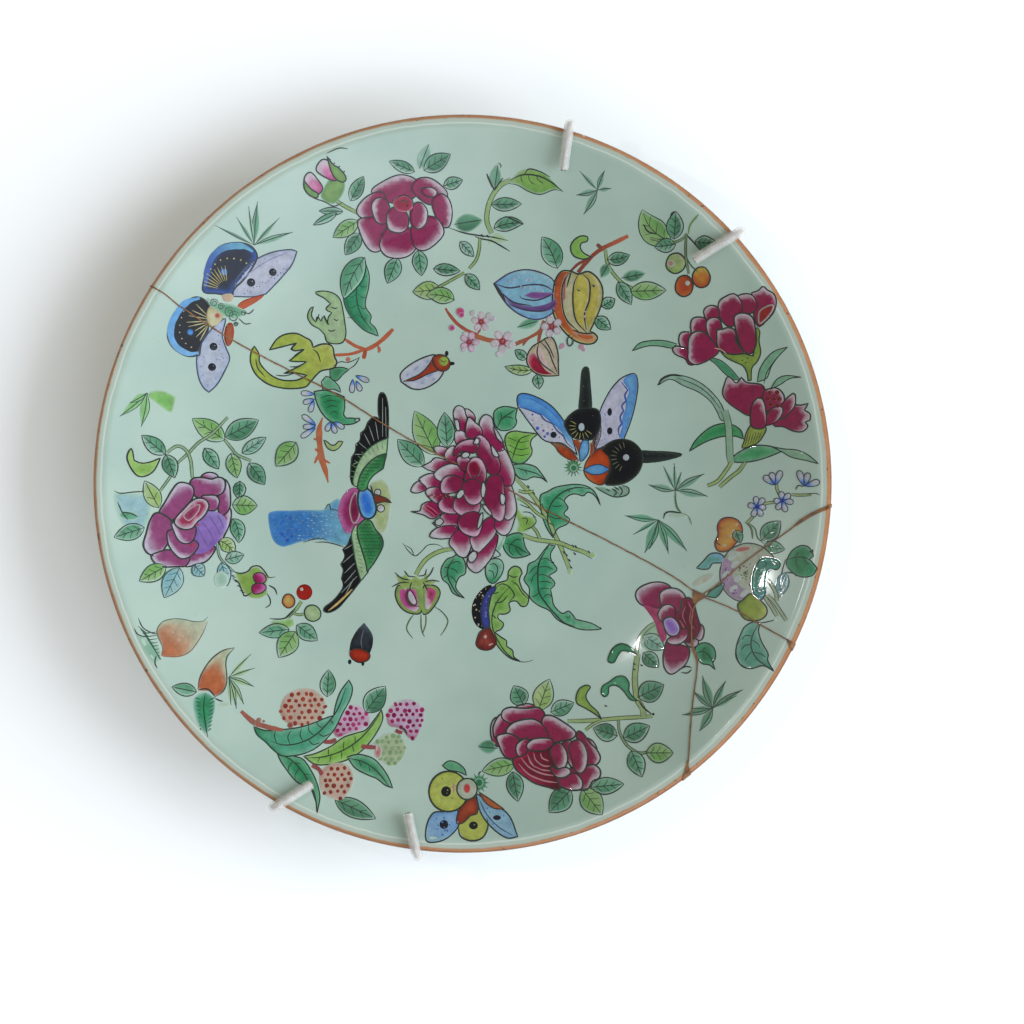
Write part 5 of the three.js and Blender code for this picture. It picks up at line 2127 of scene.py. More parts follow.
        brush.restart()
        brush.shape(
            "-76.8,62.6! -76.4,66 -75,69 -70,74.2 -64,77.2 -58,78.3 -55.5,77.7! -57.2,73.5 -60.8,69 "
            "-66,63.6! -70.4,62.6",
            wash("#d3d6e6", "#bfc6dd"), 0.45, "#2a2f4a"
        )
        brush.line("-75.6,66.6 -71,70.6 -65,74.6 -58.6,77.4", 0.35, "#8d8fb6")
        for x, y, size in ((-70.8, 67.3, 3.2), (-63.6, 70.8, 2.9)):
            brush.dot(x, y, size, "#1a1c26")
            brush.dot(x + 0.4, y + 0.4, size * 0.25, "#cfd6dc")
        for i in range(16):
            x = -73 + i * 1.0
            brush.dot(x, 63.6 + i * 0.56 + 0.5 * math.sin(i * 2.3), 0.7, "#6a5a9c", soft=0.2)
        for x, y in ((-66, 75), (-62, 74.4), (-60.6, 76.4), (-67.6, 72.6), (-60, 72)):
            brush.dot(x, y, 0.7, "#8a86b8", soft=0.2)
        brush.restart()
        brush.shape(
            "-79.7,55.3 -83.2,52.6 -86.4,48.4 -88.4,44.4 -89,40.4 -88.4,35.6 -87,32.4 -85.1,30.7! "
            "-82.4,33.4 -80,37.6 -78.2,42 -79.4,45.6 -80.5,49.6 -79.5,54",
            wash("#cdd4e4", "#b3bfdc"), 0.45, "#2a2f4a"
        )
        for x, y, size in ((-83.4, 45.9, 3.0), (-84, 39.1, 3.0)):
            brush.dot(x, y, size, "#1a1c26")
            brush.dot(x + 0.4, y + 0.4, 0.7, "#cfd6dc")
        for i in range(11):
            brush.dot(-81 + 0.7 * math.sin(i * 2.4), 51.6 - i * 1.0, 0.6, "#6a5a9c", soft=0.2)
        for x, y in (
            (-87.6, 39.2), (-87, 36.3), (-85.4, 33.2), (-82.8, 35.3), (-86.6, 42.4), (-82.4, 41.7),
            (-80.2, 42.1)
        ):
            brush.dot(x, y, 0.8, "#7d93c8", soft=0.2)
        brush.fill(
            "-78.4,54! -77,53.6 -76.6,50.6 -77.4,47.2 -79,46 -80,49 -79.5,52.4",
            wash("#a8562e", "#8a3c22")
        )
        brush.fill(
            "-84.6,59 -81,57.6 -80.1,55.5 -82.4,53 -84.4,52.6 -85.6,55.4", wash("#e3dcb4", "#cfc48e")
        )
        brush.dot(-82, 56.2, 2.3, "#b04030", soft=0.4)
        brush.fill(
            "-76.1,57.8! -75,60.2 -72,62 -65.9,63.6! -68.4,61.4 -71.6,59.4 -74.3,58",
            wash("#c9722e", "#b0401f")
        )
        brush.fill("-80.6,62.8 -79.4,60.8 -77,61.2 -76.6,63.2 -78.6,63.6", wash("#b04030", "#e0d2b0"))
        brush.raise_over()
        brush.fill(
            "-85.2,62.2 -83,60.8 -80,60.4 -77,60 -73.6,58.6 -73.4,56.4 -76,55.2 -79,55.6 -81.6,57.4 "
            "-84.6,59.8",
            wash("#5f9a74", "#86b894", soft=0.6)
        )
        brush.raise_over()
        for x, y, size in (
            (-83, 60.3, 3.0), (-80.7, 59.2, 2.4), (-78, 57.3, 4.0), (-76.6, 55.9, 4.2),
            (-73.4, 57.1, 2.0), (-75.9, 53.4, 1.6)
        ):
            self.curl(brush, x, y, size, "#17402c")
        brush.line("-74,57.6 -71.6,57 -70,58.4", 0.3)
        brush.line("-75,55.4 -73,53.6 -71,53.8", 0.3)
        brush.restart()
        brush.fill(
            "-104.3,30.6 -101.3,31.4 -98.4,30.7 -95.5,29.2! -96.8,24 -98.8,24 -102.6,26.9 -105.1,29",
            wash("#86c46a", "#a3d189", soft=0.8)
        )
        for tip, width in (((-113.8, 22.3), 2.8), ((-107, 19), 3.2), ((-110.6, 26.8), 2.2)):
            self.blade(brush, (-105, 30.3), tip, width, "#86c46a")
        brush.leaf((-80, 14.8), (-90.6, 21.8), 6.6, LeafTone.SPRING)
        brush.leaf((-79.9, 15.7), (-68.8, 21.5), 6.6, LeafTone.DEEP)
        brush.stem("-95.6,6.8 -91.8,10.4 -88.6,13.8 -84,17 -79,22.4", 0.8, "#86a878")
        brush.stem("-80,14.8 -78,12.3 -75.9,9.8 -71.3,7.8", 0.8, "#86a878")
        brush.stem("-98.8,10.4 -95.6,12.6 -92.8,11.4 -91.2,8 -90.6,2", 0.9, "#86a878")
        brush.stem("-96.4,4.4 -98.8,0.8 -101.2,-2.6", 0.7, "#86a878")
        brush.leaf((-78, 10.3), (-76, 2), 5, LeafTone.SPRING)
        brush.leaf((-74.3, 10.3), (-66.3, 15.7), 4.2, LeafTone.PALE)
        brush.leaf((-72, 7), (-66.8, -0.2), 5.4, LeafTone.DEEP)
        brush.leaf((-99.3, 9.8), (-106.8, 16.1), 5, LeafTone.MIDDLE)
        brush.leaf((-99, 9.8), (-96.3, 2), 5, LeafTone.DEEP)
        brush.shape(
            "-110.1,11.7 -111.5,9 -110.5,5.6 -108.4,2.8 -105.9,2.5 -103,4.4 -100.9,8.6! -104.3,7.2 "
            "-107.2,6.9 -109.3,7.8!",
            wash("#86b651", "#a9cb79")
        )
        brush.leaf((-56.2, 14), (-63, 6), 7, LeafTone.SPRING)
        brush.leaf((-86.6, 12), (-82, 5), 4.6, LeafTone.MIDDLE)

    def blade(
        self, brush: Painting, root: Sequence[float], tip: Sequence[float], width: float, colour: str
    ) -> None:
        """A single stroke of a bamboo leaf with its dark midrib.

        Args:
            brush: The painting that takes the strokes.
            root: Where it leaves its stem.
            tip: Its tip.
            width: Its widest part.
            colour: Its colour.
        """
        a, b = np.array(root, float), np.array(tip, float)
        across = np.array([-(b - a)[1], (b - a)[0]]) / np.linalg.norm(b - a) * width / 2
        belly = a + (b - a) * 0.45
        loop = np.vstack(
            [through([a, belly + across, b], 1.0)[:-1], through([b, belly - across, a], 1.0)[:-1]]
        )
        brush.fill(loop, wash(colour, soft=0.35, cover=0.85))
        brush.line(through([a, belly + across * 0.2, b], 1.0), 0.34, "#20402f", taper=0.7)
        if width > 1.8:
            brush.line(through([a, belly + across, b], 1.0), 0.26, "#20402f", taper=0.7)

    def curl(self, brush: Painting, x: float, y: float, size: float, colour: str) -> None:
        """A small spiral line.

        Args:
            brush: The painting that takes the strokes.
            x: Its middle, to the right of the plate's centre.
            y: Its middle, above the plate's centre.
            size: Its width.
            colour: Its colour.
        """
        turns = np.linspace(0, 1.6, 14)
        reach = size / 2 * (1 - turns / 2.2)
        angle = turns * 2 * math.pi
        brush.line(np.column_stack([x + reach * np.cos(angle), y + reach * np.sin(angle)]), 0.3, colour)

    def left_rose(self, brush: Painting) -> None:
        """The mauve rose at the left with its leaves and spiky bud.

        Args:
            brush: The painting that takes the strokes.
        """
        brush.fill(
            "-115.4,-2.8 -110,-2.8 -105.6,-3.4 -103.6,-7 -104.6,-13 -108,-17.4 -111.6,-16 -114.6,-11 "
            "-115.8,-6",
            wash("#a3ccd4", "#8fc4a8", soft=1.6, cover=0.85)
        )
        brush.dot(-111, -10.6, 6.5, "#4c9a72", tall=3.4, turn=-8, soft=1.0)
        for text in (
            "-115.6,-2.4 -113.6,-3.2 -110,-2.8 -106.8,-2.6 -104.4,-2.9", "-114.6,-6 -113,-9.6 -111.2,-12",
            "-113.4,-9.4 -110.6,-9.8 -108,-11"
        ):
            brush.line(text, 0.4)
        brush.leaf((-106, -14.6), (-115.6, -17.8), 5.4, LeafTone.MIDDLE)
        brush.leaf((-101.4, -8), (-106, 1), 5.4, LeafTone.YELLOW, veins=1)
        brush.leaf((-75, 1), (-75.4, -5.2), 4.2, LeafTone.DEEP)
        brush.leaf((-77.6, -7), (-69.2, -7.3), 6.4, LeafTone.SPRING)
        brush.leaf((-77.4, -11.6), (-75.4, -19.8), 4.8, LeafTone.MIDDLE, bend=0.8)
        brush.leaf((-81.8, -19), (-77, -23.6), 4.8, LeafTone.YELLOW, bend=0.8)
        brush.stem("-82.4,-20 -81.8,-24 -80,-26.6 -77,-29.4", 0.6, "#8fb0a8")
        brush.leaf((-79.8, -25.4), (-73.6, -23.8), 4.2, LeafTone.PALE, veins=2)
        brush.leaf((-81, -26.4), (-79, -34.2), 4.4, LeafTone.BLUE)
        brush.dot(-81, -32, 5, "#7fae93", tall=6, soft=1.6, cover=0.6)
        brush.leaf((-99, -27.4), (-107.4, -32.4), 5.6, LeafTone.SPRING)
        brush.leaf((-94.6, -28), (-99.4, -38), 6.6, LeafTone.BLUE)
        brush.leaf((-90.2, -27), (-86.6, -30.8), 4.6, LeafTone.BLUE)
        brush.restart()
        brush.flower(
            (-92, -12),
            (
                "-87.8,1.4 -87.4,3 -85.4,3.9 -83,3.4 -82.2,1.6",
                "-78.4,-8 -77.9,-10.6 -78.6,-14 -80,-17 -81.8,-20.6 -82,-14 -81,-9",
                "-91.4,-24.4 -88,-22.4 -84.4,-20.6 -83,-21.8 -85.6,-25.6 -89,-27 -92.8,-27.6",
                "-80.4,1.6 -78.6,-0.4 -78.2,-3.6 -78.2,-7 -79.2,-9.4 -81.4,-10.6 -82.4,-7 -82,-3",
                "-91.4,0.6 -90,2 -87,2.1 -84.4,1.6 -82.4,2.3 -80.4,1.7 -79.8,-0.4 -81,-3.2 -85,-4.4 "
                "-89,-4.6 -91,-2",
                "-101.3,-9.4 -99.4,-6 -97.4,-2.4 -95.4,0.2 -93,0.4 -90.6,-0.8 -90.2,-3.6 -92,-7 "
                "-95,-10.8 -98,-12.4 -100.4,-11.6",
                "-104.4,-12.6 -102.8,-9.9 -100.6,-9.9 -97.4,-12.4 -97.2,-16 -98.6,-20 -101.4,-23.8 "
                "-104.8,-23.2 -106.3,-20.4 -105.4,-16.4",
            ), MAUVE.deep, MAUVE.tip, start=0.34, width=0.55
        )
        brush.fill(
            "-89.8,-10.2 -86.6,-9 -83.4,-9 -80.4,-10.6 -79.2,-14 -81,-17.8 -84,-21.4 -87.6,-23.4 "
            "-91.4,-22.6 -90,-17",
            wash("#8b6bb0", "#7a5aa2", "#9a84c0", 60)
        )
        for text in (
            "-88,-12 -85,-16 -83.4,-19.4", "-85.4,-10.4 -83,-14 -81.6,-17",
            "-88.6,-15 -87,-18.4 -85.4,-21.4", "-82.4,-10.4 -81,-13 -80.4,-15"
        ):
            brush.line(text, 0.4, "#6b4a94")
        brush.raise_over()
        brush.flower(
            (-89, -14),
            (
                "-103.8,-24 -102.4,-26.6 -99.6,-27.7 -95.4,-27.6 -92.6,-27.4 -91.4,-24.6 -94.4,-23 "
                "-98.4,-22 -101.6,-22.8",
                "-98.6,-15.8 -98.4,-19.8 -96.8,-22.8 -94.4,-24.9 -91.8,-24.6 -89.4,-22.4 -88.6,-20 "
                "-91.4,-18 -95.6,-15.6",
                "-97.2,-12.8 -96.4,-16.4 -95,-18.9 -93,-20 -90.8,-19.4 -89.6,-17 -89.6,-14.2 -92.6,-12.4",
                "-87.6,-4.2 -85.6,-3.8 -83,-3.9 -81.8,-5.6 -82.5,-8.2 -84.2,-9 -86.8,-8",
            ), MAUVE.deep, MAUVE.tip, start=0.42, width=0.5
        )
        brush.fill(
            "-95.4,-10.6 -93.4,-8.4 -91.4,-6.2 -89,-4.8 -86.4,-5.2 -85.2,-7.4 -86.6,-10.6 -89,-12.8 "
            "-90.6,-14.8 -93,-15.3 -95.4,-14.4 -96.5,-12.6",
            wash("#96304f", "#e9dce8", reach=1.5)
        )
        brush.line(
            "-95.4,-10.6 -93.4,-8.4 -91.4,-6.2 -89,-4.8 -86.4,-5.2 -85.2,-7.4 -86.6,-10.6 -89,-12.8 "
            "-90.6,-14.8 -93,-15.3 -95.4,-14.4 -96.5,-12.6",
            0.55, closed=True
        )
        brush.fill(
            "-93.8,-10.6 -91,-7.6 -88,-6.4 -88.4,-9.4 -91.6,-12.6", wash("#7a2340", "#a04a6c", soft=0.6)
        )
        for x, y in ((-89, -13.6), (-90.6, -20.4)):
            brush.dot(x, y, 1.8, "#b0303c", tall=1.0, soft=0.2)
        brush.restart()
        brush.fill(
            "-76.6,-29.6 -73,-29.6 -71.4,-28 -69,-27.6 -66.8,-29.4 -65,-31 -66,-34 -65.6,-37 -69,-38.8 "
            "-72.6,-37.8 -75,-34.4",
            wash("#86a84e", "#9bb968", soft=0.8)
        )
        brush.flower(
            (-71, -33.4),
            (
                "-70.6,-31 -69.4,-29.9 -67.4,-30 -66.2,-31.8 -67,-33.2 -69.4,-33.4",
                "-71,-34.6 -69.6,-33.4 -67,-33.6 -66.2,-35 -67.8,-36.6 -70.4,-36.8"
            ), "#8e1f52", "#c069a0", width=0.42
        )
        for text in (
            "-77.8,-29 -75,-30 -72.4,-29.4 -71,-27.8 -68.6,-27.6 -66.6,-29.6 -65.4,-31.4 -63.2,-31.2",
            "-77.4,-31.6 -75.4,-33 -74.4,-35.4 -73.2,-37.6 -71,-36.4",
            "-66,-36.8 -65,-38.4 -64.8,-40.4 -66.4,-41.6", "-65.4,-34 -63.4,-35.2 -62.6,-37.2"
        ):
            brush.line(text, 0.45)
        for i in range(9):
            x, y = -76.8 + 0.5 * i, -30.6 - 0.85 * i
            brush.line(np.array([(x, y), (x - 1.1, y + (0.5 if i % 2 else -0.2))]), 0.36)

    def peaches(self, brush: Painting) -> None:
        """The two peaches at the lower left with their blade leaves.

        Args:
            brush: The painting that takes the strokes.
        """
        brush.fill(
            "-108.4,-49.4 -104.6,-51 -101,-53.4 -99.8,-57 -101.4,-60 -104,-58.4 -106.4,-54.6",
            wash("#6fae86", "#8fc0a0", soft=1.2, cover=0.7)
        )
        for i in range(9):
            y = -49.4 - i * 1.1
            brush.line(
                np.array(
                    [(-107.6 + i * 0.75, y + 2.2), (-105 + i * 0.6, y - 0.2), (-101.8 + i * 0.2, y + 0.1)]
                ), 0.45, "#1f4a35"
            )
        brush.line("-107.6,-44.6 -106,-47.8 -103,-49.6 -101,-50", 0.4)
        brush.line("-108.8,-48 -107.6,-50 -104.4,-51", 0.4)
        brush.line("-101.6,-57 -102,-59.4 -101.2,-61.2", 0.4)
        brush.restart()
        brush.fill(
            "-85.2,-44.4! -86.8,-45.8 -89.5,-46 -93,-45.2 -96.5,-45 -99.6,-45.8 -101.4,-48 -101.4,-50.4 "
            "-99.8,-54 -100.6,-57.4! -94,-57.6 -91,-56 -88.6,-53 -86.6,-49",
            wash("#b8704e", "#b06a4a", "#cfd4b4", 48, 0.12, soft=0.3)
        )
        brush.line(
            "-85.2,-44.4! -86.8,-45.8 -89.5,-46 -93,-45.2 -96.5,-45 -99.6,-45.8 -101.4,-48 -101.4,-50.4 "
            "-99.8,-54 -99.6,-57.2",
            0.34, "#5a6a52"
        )
        brush.line("-85.4,-46 -86.6,-49.4 -88.6,-53 -91,-56 -94.6,-57.5 -99.4,-57.4", 0.34, "#8a5238")
        for x, y in ((-96.4, -49.4), (-91.6, -49.2), (-93.2, -50.8), (-89.6, -47.6), (-94.4, -52)):
            brush.dot(x, y, 1.0, "#b5714e", soft=0.4, cover=0.7)
        brush.restart()
        brush.fill(
            "-76.4,-54.8! -80,-55.6 -83.4,-58 -86,-61.4 -87.6,-65 -88,-68.4 -86.4,-69 -84,-69.2 "
            "-82.4,-70.9! -80,-69.4 -78.8,-66.6 -78.8,-63.6 -79.2,-60 -78.6,-57.4",
            wash("#b5653f", "#ac5f3e", "#cdd2b0", 60, 0.22, soft=0.3)
        )
        brush.line("-76.4,-54.8 -80,-55.6 -83.4,-58 -86,-61.4 -87.6,-65 -88,-68.4", 0.45, "#4a3a2c")
        brush.line(
            "-76.6,-55 -78.6,-57.4 -79.2,-60 -78.8,-63.6 -78.8,-66.6 -80,-69.4 -82.4,-70.9", 0.45,
            "#3a4a38"
        )
        brush.line("-88,-68.6 -85.4,-68.2 -83.6,-69.4 -82.4,-70.9", 0.55)
        brush.restart()
        for tip, width in (
            ((-71, -57), 1.8), ((-69.6, -61.6), 1.8), ((-69.8, -67.8), 2.0), ((-73, -73.6), 2.2),
            ((-75.4, -75), 2.0), ((-77.2, -73.8), 1.6)
        ):
            self.blade(brush, (-78.2, -64.6), tip, width, "#a8c98a")
        brush.leaf((-88.4, -69.2), (-96.4, -67.4), 4.2, LeafTone.MIDDLE, veins=0)
        brush.fill(
            "-88.6,-70.4 -85.6,-69.2 -82.6,-71 -82,-74.4 -83,-79 -84.6,-83.6! -87.4,-80.6 -89,-76.4 "
            "-89.6,-72.6",
            wash("#2f8a5c", "#7fbfa4", soft=0.6)
        )
        for i in range(9):
            y = -72 - i * 1.25
            brush.line(np.array([(-84.4, y), (-82.4 - i * 0.12, y + 0.9)]), 0.4, "#17402c")
            brush.line(np.array([(-87, y + 0.4), (-89 + i * 0.3, y + 0.9)]), 0.4, "#17402c")
        brush.line("-85.6,-69.6 -86,-74 -85.4,-79 -84.4,-84", 0.4)
        brush.line("-82.4,-71.4 -80.8,-72.2 -79.8,-72.4", 0.5)
        brush.dot(-79.4, -73.6, 4.4, "#cfe0c0", tall=1.8, soft=0.6, cover=0.7)

    def citrons_and_cicada(self, brush: Painting) -> None:
        """The two finger citrons on their twigs, with their leaves and flowers, and the cicada.

        Args:
            brush: The painting that takes the strokes.
        """
        brush.shape(
            "-34.4,76 -36.6,72.4 -39.6,67.4 -40.2,62 -38.6,57.4 -36,54.2 -33,51.6 -28.6,49.8! "
            "-29.6,52.6 -31.4,54.4 -31,56.6 -32.8,59.4 -32.8,62 -31.8,66 -31.6,70.4 -33,74.4",
            wash("#3c9068", "#6fb08a", "#256f49", 200, 0.4, soft=0.3), 0.4, "#1c3b2e"
        )
        brush.line("-34.4,75 -35.6,68 -35.8,62 -34.4,57 -31,52", 0.42, "#16352a")
        for y in (71, 67.6, 64, 60.4, 57):
            brush.line(np.array([(-35.6, y), (-37.4, y - 1.2), (-39, y - 0.9)]), 0.28, "#16352a")
            brush.line(np.array([(-35.4, y), (-33.8, y - 1.4), (-32.4, y - 1.2)]), 0.28, "#16352a")
        brush.restart()
        brush.line("-23.6,52.2 -27.2,48.6 -30.6,46.2 -33,45.2", 1.4, "#b8542c", taper=0.2)
        brush.line("-33,45.4 -36.3,46.5 -39.9,48.8", 1.1, "#b8542c", taper=0.2)
        brush.line("-33.4,45.2 -38,43.8 -43.4,43.4", 1.0, "#b8542c", taper=0.2)
        brush.line("-33,45.6 -33.2,43.8 -33.6,42.2", 1.5, "#a8431f", taper=0.3)
        brush.line("-28.8,46.6 -28.2,45.2 -28.6,44.2", 0.9, "#b8542c")
        brush.dot(-38.8, 42, 2.0, "#b8542c", soft=0.3)
        brush.restart()
        brush.shape(
            "-49.7,64.2 -46.6,64.8 -43.4,64 -41.3,61.9 -40.4,58 -39.8,54 -39.5,50.6 -40.5,47.8 -43,47.2 "
            "-45.8,47.8 -46.6,50.2! -48.4,52.1 -50.9,53.6 -52.3,56 -51.6,58.6 -50.3,59.6! -51,56.6 "
            "-49.6,54.4! -49,56.4 -47.8,54.6! -47,56.4 -45.6,53.6! -45.4,56 -44.2,57.6! -46.2,58.8 "
            "-44.6,60.6! -46.6,62.4!",
            wash("#bcd4a8", "#a3c48c"), 0.42
        )
        for text in (
            "-49.4,54.6 -48.6,56.6 -48.4,57.2", "-46.8,56.8 -46,55 -45,53.4",
            "-44.4,59.6 -43.2,59 -42.2,59.4", "-43.6,55.6 -42.6,55 -42,55.4", "-45.6,52 -44.4,51.4 -43,52"
        ):
            brush.line(text, 0.4)
        brush.restart()
        brush.shape(
            "-65.1,45! -62.6,48.6 -59.7,50.3 -56,50.6 -53,49.2 -51.3,48.2 -50.5,46! -48,47 -45.5,47.1 "
            "-43.9,46 -43.4,43 -42.6,41 -43.8,39 -47.6,38.2 -49.6,36.6 -51.8,34 -53.4,32.6 -58,32.1 "
            "-62.6,32.6 -66.3,34 -69.7,36.9 -71.4,41 -71,44.6 -70,46.2! -68.5,43.6 -68.4,41 -66.6,38.4 "
            "-63.8,36.1 -60.5,34.9 -56,35 -52.6,36.6! -56.6,37.4 -60.4,37.2! -56.4,39 -52.6,41.2! "
            "-56.4,41.2 -58.6,41.4! -56,43.4 -53.4,45.4! -56.6,44.8 -58,45.4! -56,47.4!",
            wash("#b9c35a", "#a3b84e", "#cdd27e", 30, 0.5), 0.5
        )
        for text in (
            "-56.4,47.2 -57.6,45.8 -56.8,44.8", "-53.6,45.2 -56.4,43.4 -57.6,41.8",
            "-52.6,41.2 -55.6,39.6 -58.4,39.4", "-50.6,45.4 -49,44 -48,41", "-63,36.6 -60,36.4 -57,37.2",
            "-66.6,36 -69,39 -69.6,42"
        ):
            brush.line(text, 0.4)
        for x, y in (
            (-47, 44), (-46, 42), (-49, 42.6), (-48, 40), (-51.4, 42), (-62, 47.6), (-59, 49),
            (-54, 34.4), (-60, 33.4), (-66, 35.4), (-69.8, 39)
        ):
            brush.dot(x, y, 0.6, "#8fa03c", soft=0.2, cover=0.7)
        brush.restart()
        brush.shape(
            "-44.9,38.9! -41.3,39.4 -38.4,38.6! -40.5,36.9 -42.6,34.8 -44.7,35.7",
            wash("#2f7a4e", "#5f9f78", soft=0.2), 0.38
        )
        brush.line("-38.6,38.6 -36.4,40.2 -34.9,42.8", 0.36)
        brush.line("-44,39.6 -41.4,41.2 -38.6,41 -35,42.6", 0.3)
        brush.shape(
            "-47.8,34.4! -46,36.3 -43.8,35 -41.8,32.8 -41.3,30.9! -44,32 -47,31.6",
            wash("#57a078", "#86bb9a", soft=0.2), 0.36
        )
        brush.shape(
            "-50.2,31.2! -46.5,31.6 -42.8,30.6 -40.1,29.4! -39.9,26 -40.3,23.4 -39.3,22.2! -36.8,22.2 "
            "-34.7,21.6! -37.2,20.3 -41,20.1 -45,21.3 -47.8,24.2 -49.5,27.8",
            wash("#2f8a58", "#5fae80", "#86bb9a", 190, 0.55), 0.42
        )
        for y in (29, 27.4, 25.6, 23.6):
            brush.line(
                np.array(
                    [(-48 + (29 - y) * 0.55, y), (-45.4 + (29 - y) * 0.3, y + 0.9), (-42.4, y + 0.5)]
                ), 0.32
            )
        brush.shape("-36.8,21.4 -35.4,22.3 -34.7,21.9 -35.6,21", wash("#e2e8e4"), 0.3)
        brush.restart()
        for root, tip in (
            ((-36.3, 36.5), (-31.7, 34.6)), ((-37.2, 35.3), (-37.6, 30.7)),
            ((-36.1, 34.8), (-34.5, 31.3)), ((-50.1, 30.3), (-54.7, 30.7)), ((-50.1, 28.6), (-54, 27.3)),
            ((-50.3, 28), (-51.8, 24.2)), ((-49.7, 20), (-54.3, 23.2)), ((-49.6, 19.6), (-54, 19.2)),
            ((-49.7, 19), (-54.7, 15.7)), ((-44.7, 21), (-46.1, 17.8)), ((-44.2, 20.6), (-43, 17.1)),
            ((-43.6, 21), (-40.1, 18.8))
        ):
            self.small_petal(brush, root, tip, 2.0)
        brush.restart()
        brush.line(
            "-47.4,22.4 -48.4,19 -48.5,15.6 -48.1,11 -47.5,7.8 -46.4,4.4 -45.5,0.5", 1.9, "#b35a30",
            taper=0.75
        )
        for root, tip in (
            ((-48.4, 15), (-50.4, 15.2)), ((-48.3, 11), (-50, 11.8)), ((-48.4, 10.4), (-50.1, 7)),
            ((-47.4, 8.4), (-44.9, 7))
        ):
            brush.line(np.array([root, tip]), 1.0, "#b35a30", taper=0.5)
        brush.restart()
        brush.shape(
            "-47,14.8! -45.9,12.3 -43.8,11.2 -41.8,12.3 -40.5,14.3! -42,14.4 -43.2,13.2 -44.6,13.2 "
            "-46,14.4",
            wash("#9db563", "#b9cd8b"), 0.42
        )
        brush.restart()
        brush.shape(
            "-20.9,34.4! -21.2,37 -18.8,39.6 -15.2,41.8 -11.3,43.3 -9,43.2 -6.6,39 -7.8,35.8 -10.6,33.4 "
            "-14,32 -17.4,32.2",
            wash("#d3d8e8", "#e6e9f0"), 0.5
        )
        for x, y, tall, turn in (
            (-12, 41.3, 2.4, -50), (-15.9, 39, 2.2, -50), (-18.8, 36.7, 1.8, -40), (-13.8, 34, 1.4, -70),
            (-11.4, 36.6, 3.4, -68), (-10, 35.3, 1.6, -60), (-16.6, 34.8, 2.0, -70)
        ):
            brush.dot(x, y, 1.0, "#7f86c4", tall=tall, turn=turn, soft=0.35)
        brush.fill(
            "-10.1,42.9! -12,39.6 -15.1,36.8 -20.4,34.5! -16,35.1 -11.6,37.2 -7,38.6!",
            wash("#b0472a", "#8e2f1c")
        )
        brush.line("-10.1,42.9 -12,39.6 -15.1,36.8 -20.4,34.5", 0.4)
        brush.line("-7,38.6 -11.6,37.2 -16,35.1 -20.4,34.5", 0.4)
        brush.raise_over()
        brush.shape(
            "-10.4,42.4 -8.4,43.6 -5.8,43 -4.4,40.8 -5.2,38.6 -7.4,38 -9.6,39.6",
            wash("#a5482c", "#7e2f1c"), 0.4
        )
        brush.dot(-6.6, 41.4, 3.6, "#9db04c", rim="#6f8a3a")
        brush.line("-7.8,42 -6.6,41 -5.8,41.8", 0.3)
        brush.dot(-5.6, 44, 1.4, "#14181c", tall=2.0)
        brush.dot(-3.8, 40.6, 2.0, "#14181c", tall=1.4)

    def small_petal(
        self, brush: Painting, root: Sequence[float], tip: Sequence[float], width: float
    ) -> None:
        """A white petal that turns blue at its root.

        Args:
            brush: The painting that takes the strokes.
            root: Its blue end.
            tip: Its white end.
            width: Its widest part.
        """
        a, b = np.array(root, float), np.array(tip, float)
        across = np.array([-(b - a)[1], (b - a)[0]]) / np.linalg.norm(b - a) * width / 2
        loop = through(
            [
                a, a + (b - a) * 0.5 + across * 0.8, a + (b - a) * 0.85 + across * 0.8, b,
                a + (b - a) * 0.85 - across * 0.8, a + (b - a) * 0.5 - across * 0.8
            ], 0.7, closed=True
        )
        angle = math.degrees(math.atan2(*(b - a)[::-1]))
        brush.fill(loop, wash("#4f86e0", "", "#e9edf2", angle, 0.2))
        brush.line(loop, 0.3, "#20304f", closed=True, taper=0)

    def scales(self, brush: Painting, loop: str, spacing: float, size: float, colour: str) -> None:
        """Rows of little feather arcs inside an outline.

        Args:
            brush: The painting that takes the strokes.
            loop: The outline, given as text, that they fill.
            spacing: Distance between rows.
            size: Width of an arc.
            colour: Their colour.
        """
        edge = outline_of(loop)
        low, high = edge.min(axis=0), edge.max(axis=0)
        angles = np.radians(np.linspace(20, 160, 5))
        for row, y in enumerate(np.arange(low[1] + spacing / 2, high[1], spacing)):
            for x in np.arange(low[0] + (row % 2) * spacing / 2, high[0], spacing):
                spot = np.array([[x, y]])
                if brush.contains(edge, spot)[0] and brush.depths(spot, edge)[0] > size * 0.6:
                    brush.line(
                        np.column_stack([x + size / 2 * np.cos(angles), y + size / 2 * np.sin(angles)]),
                        0.26, colour
                    )

    def specks(self, brush: Painting, loop: str, count: int, size: float, colours: Sequence[str]) -> None:
        """Small dots scattered inside an outline.

        Args:
            brush: The painting that takes the strokes.
            loop: The outline, given as text, that they fill.
            count: How many to place.
            size: Their usual width.
            colours: Their colours in turn.
        """
        edge = outline_of(loop)
        low, high = edge.min(axis=0), edge.max(axis=0)
        made = 0
        for _ in range(count * 12):
            spot = brush.dice.uniform(low, high)[None]
            if made < count and brush.contains(edge, spot)[0] and brush.depths(spot, edge)[0] > size * 0.5:
                brush.dot(
                    spot[0, 0], spot[0, 1], size * brush.dice.uniform(0.7, 1.3),
                    colours[made % len(colours)]
                )
                brush.level -= 0.004
                made += 1

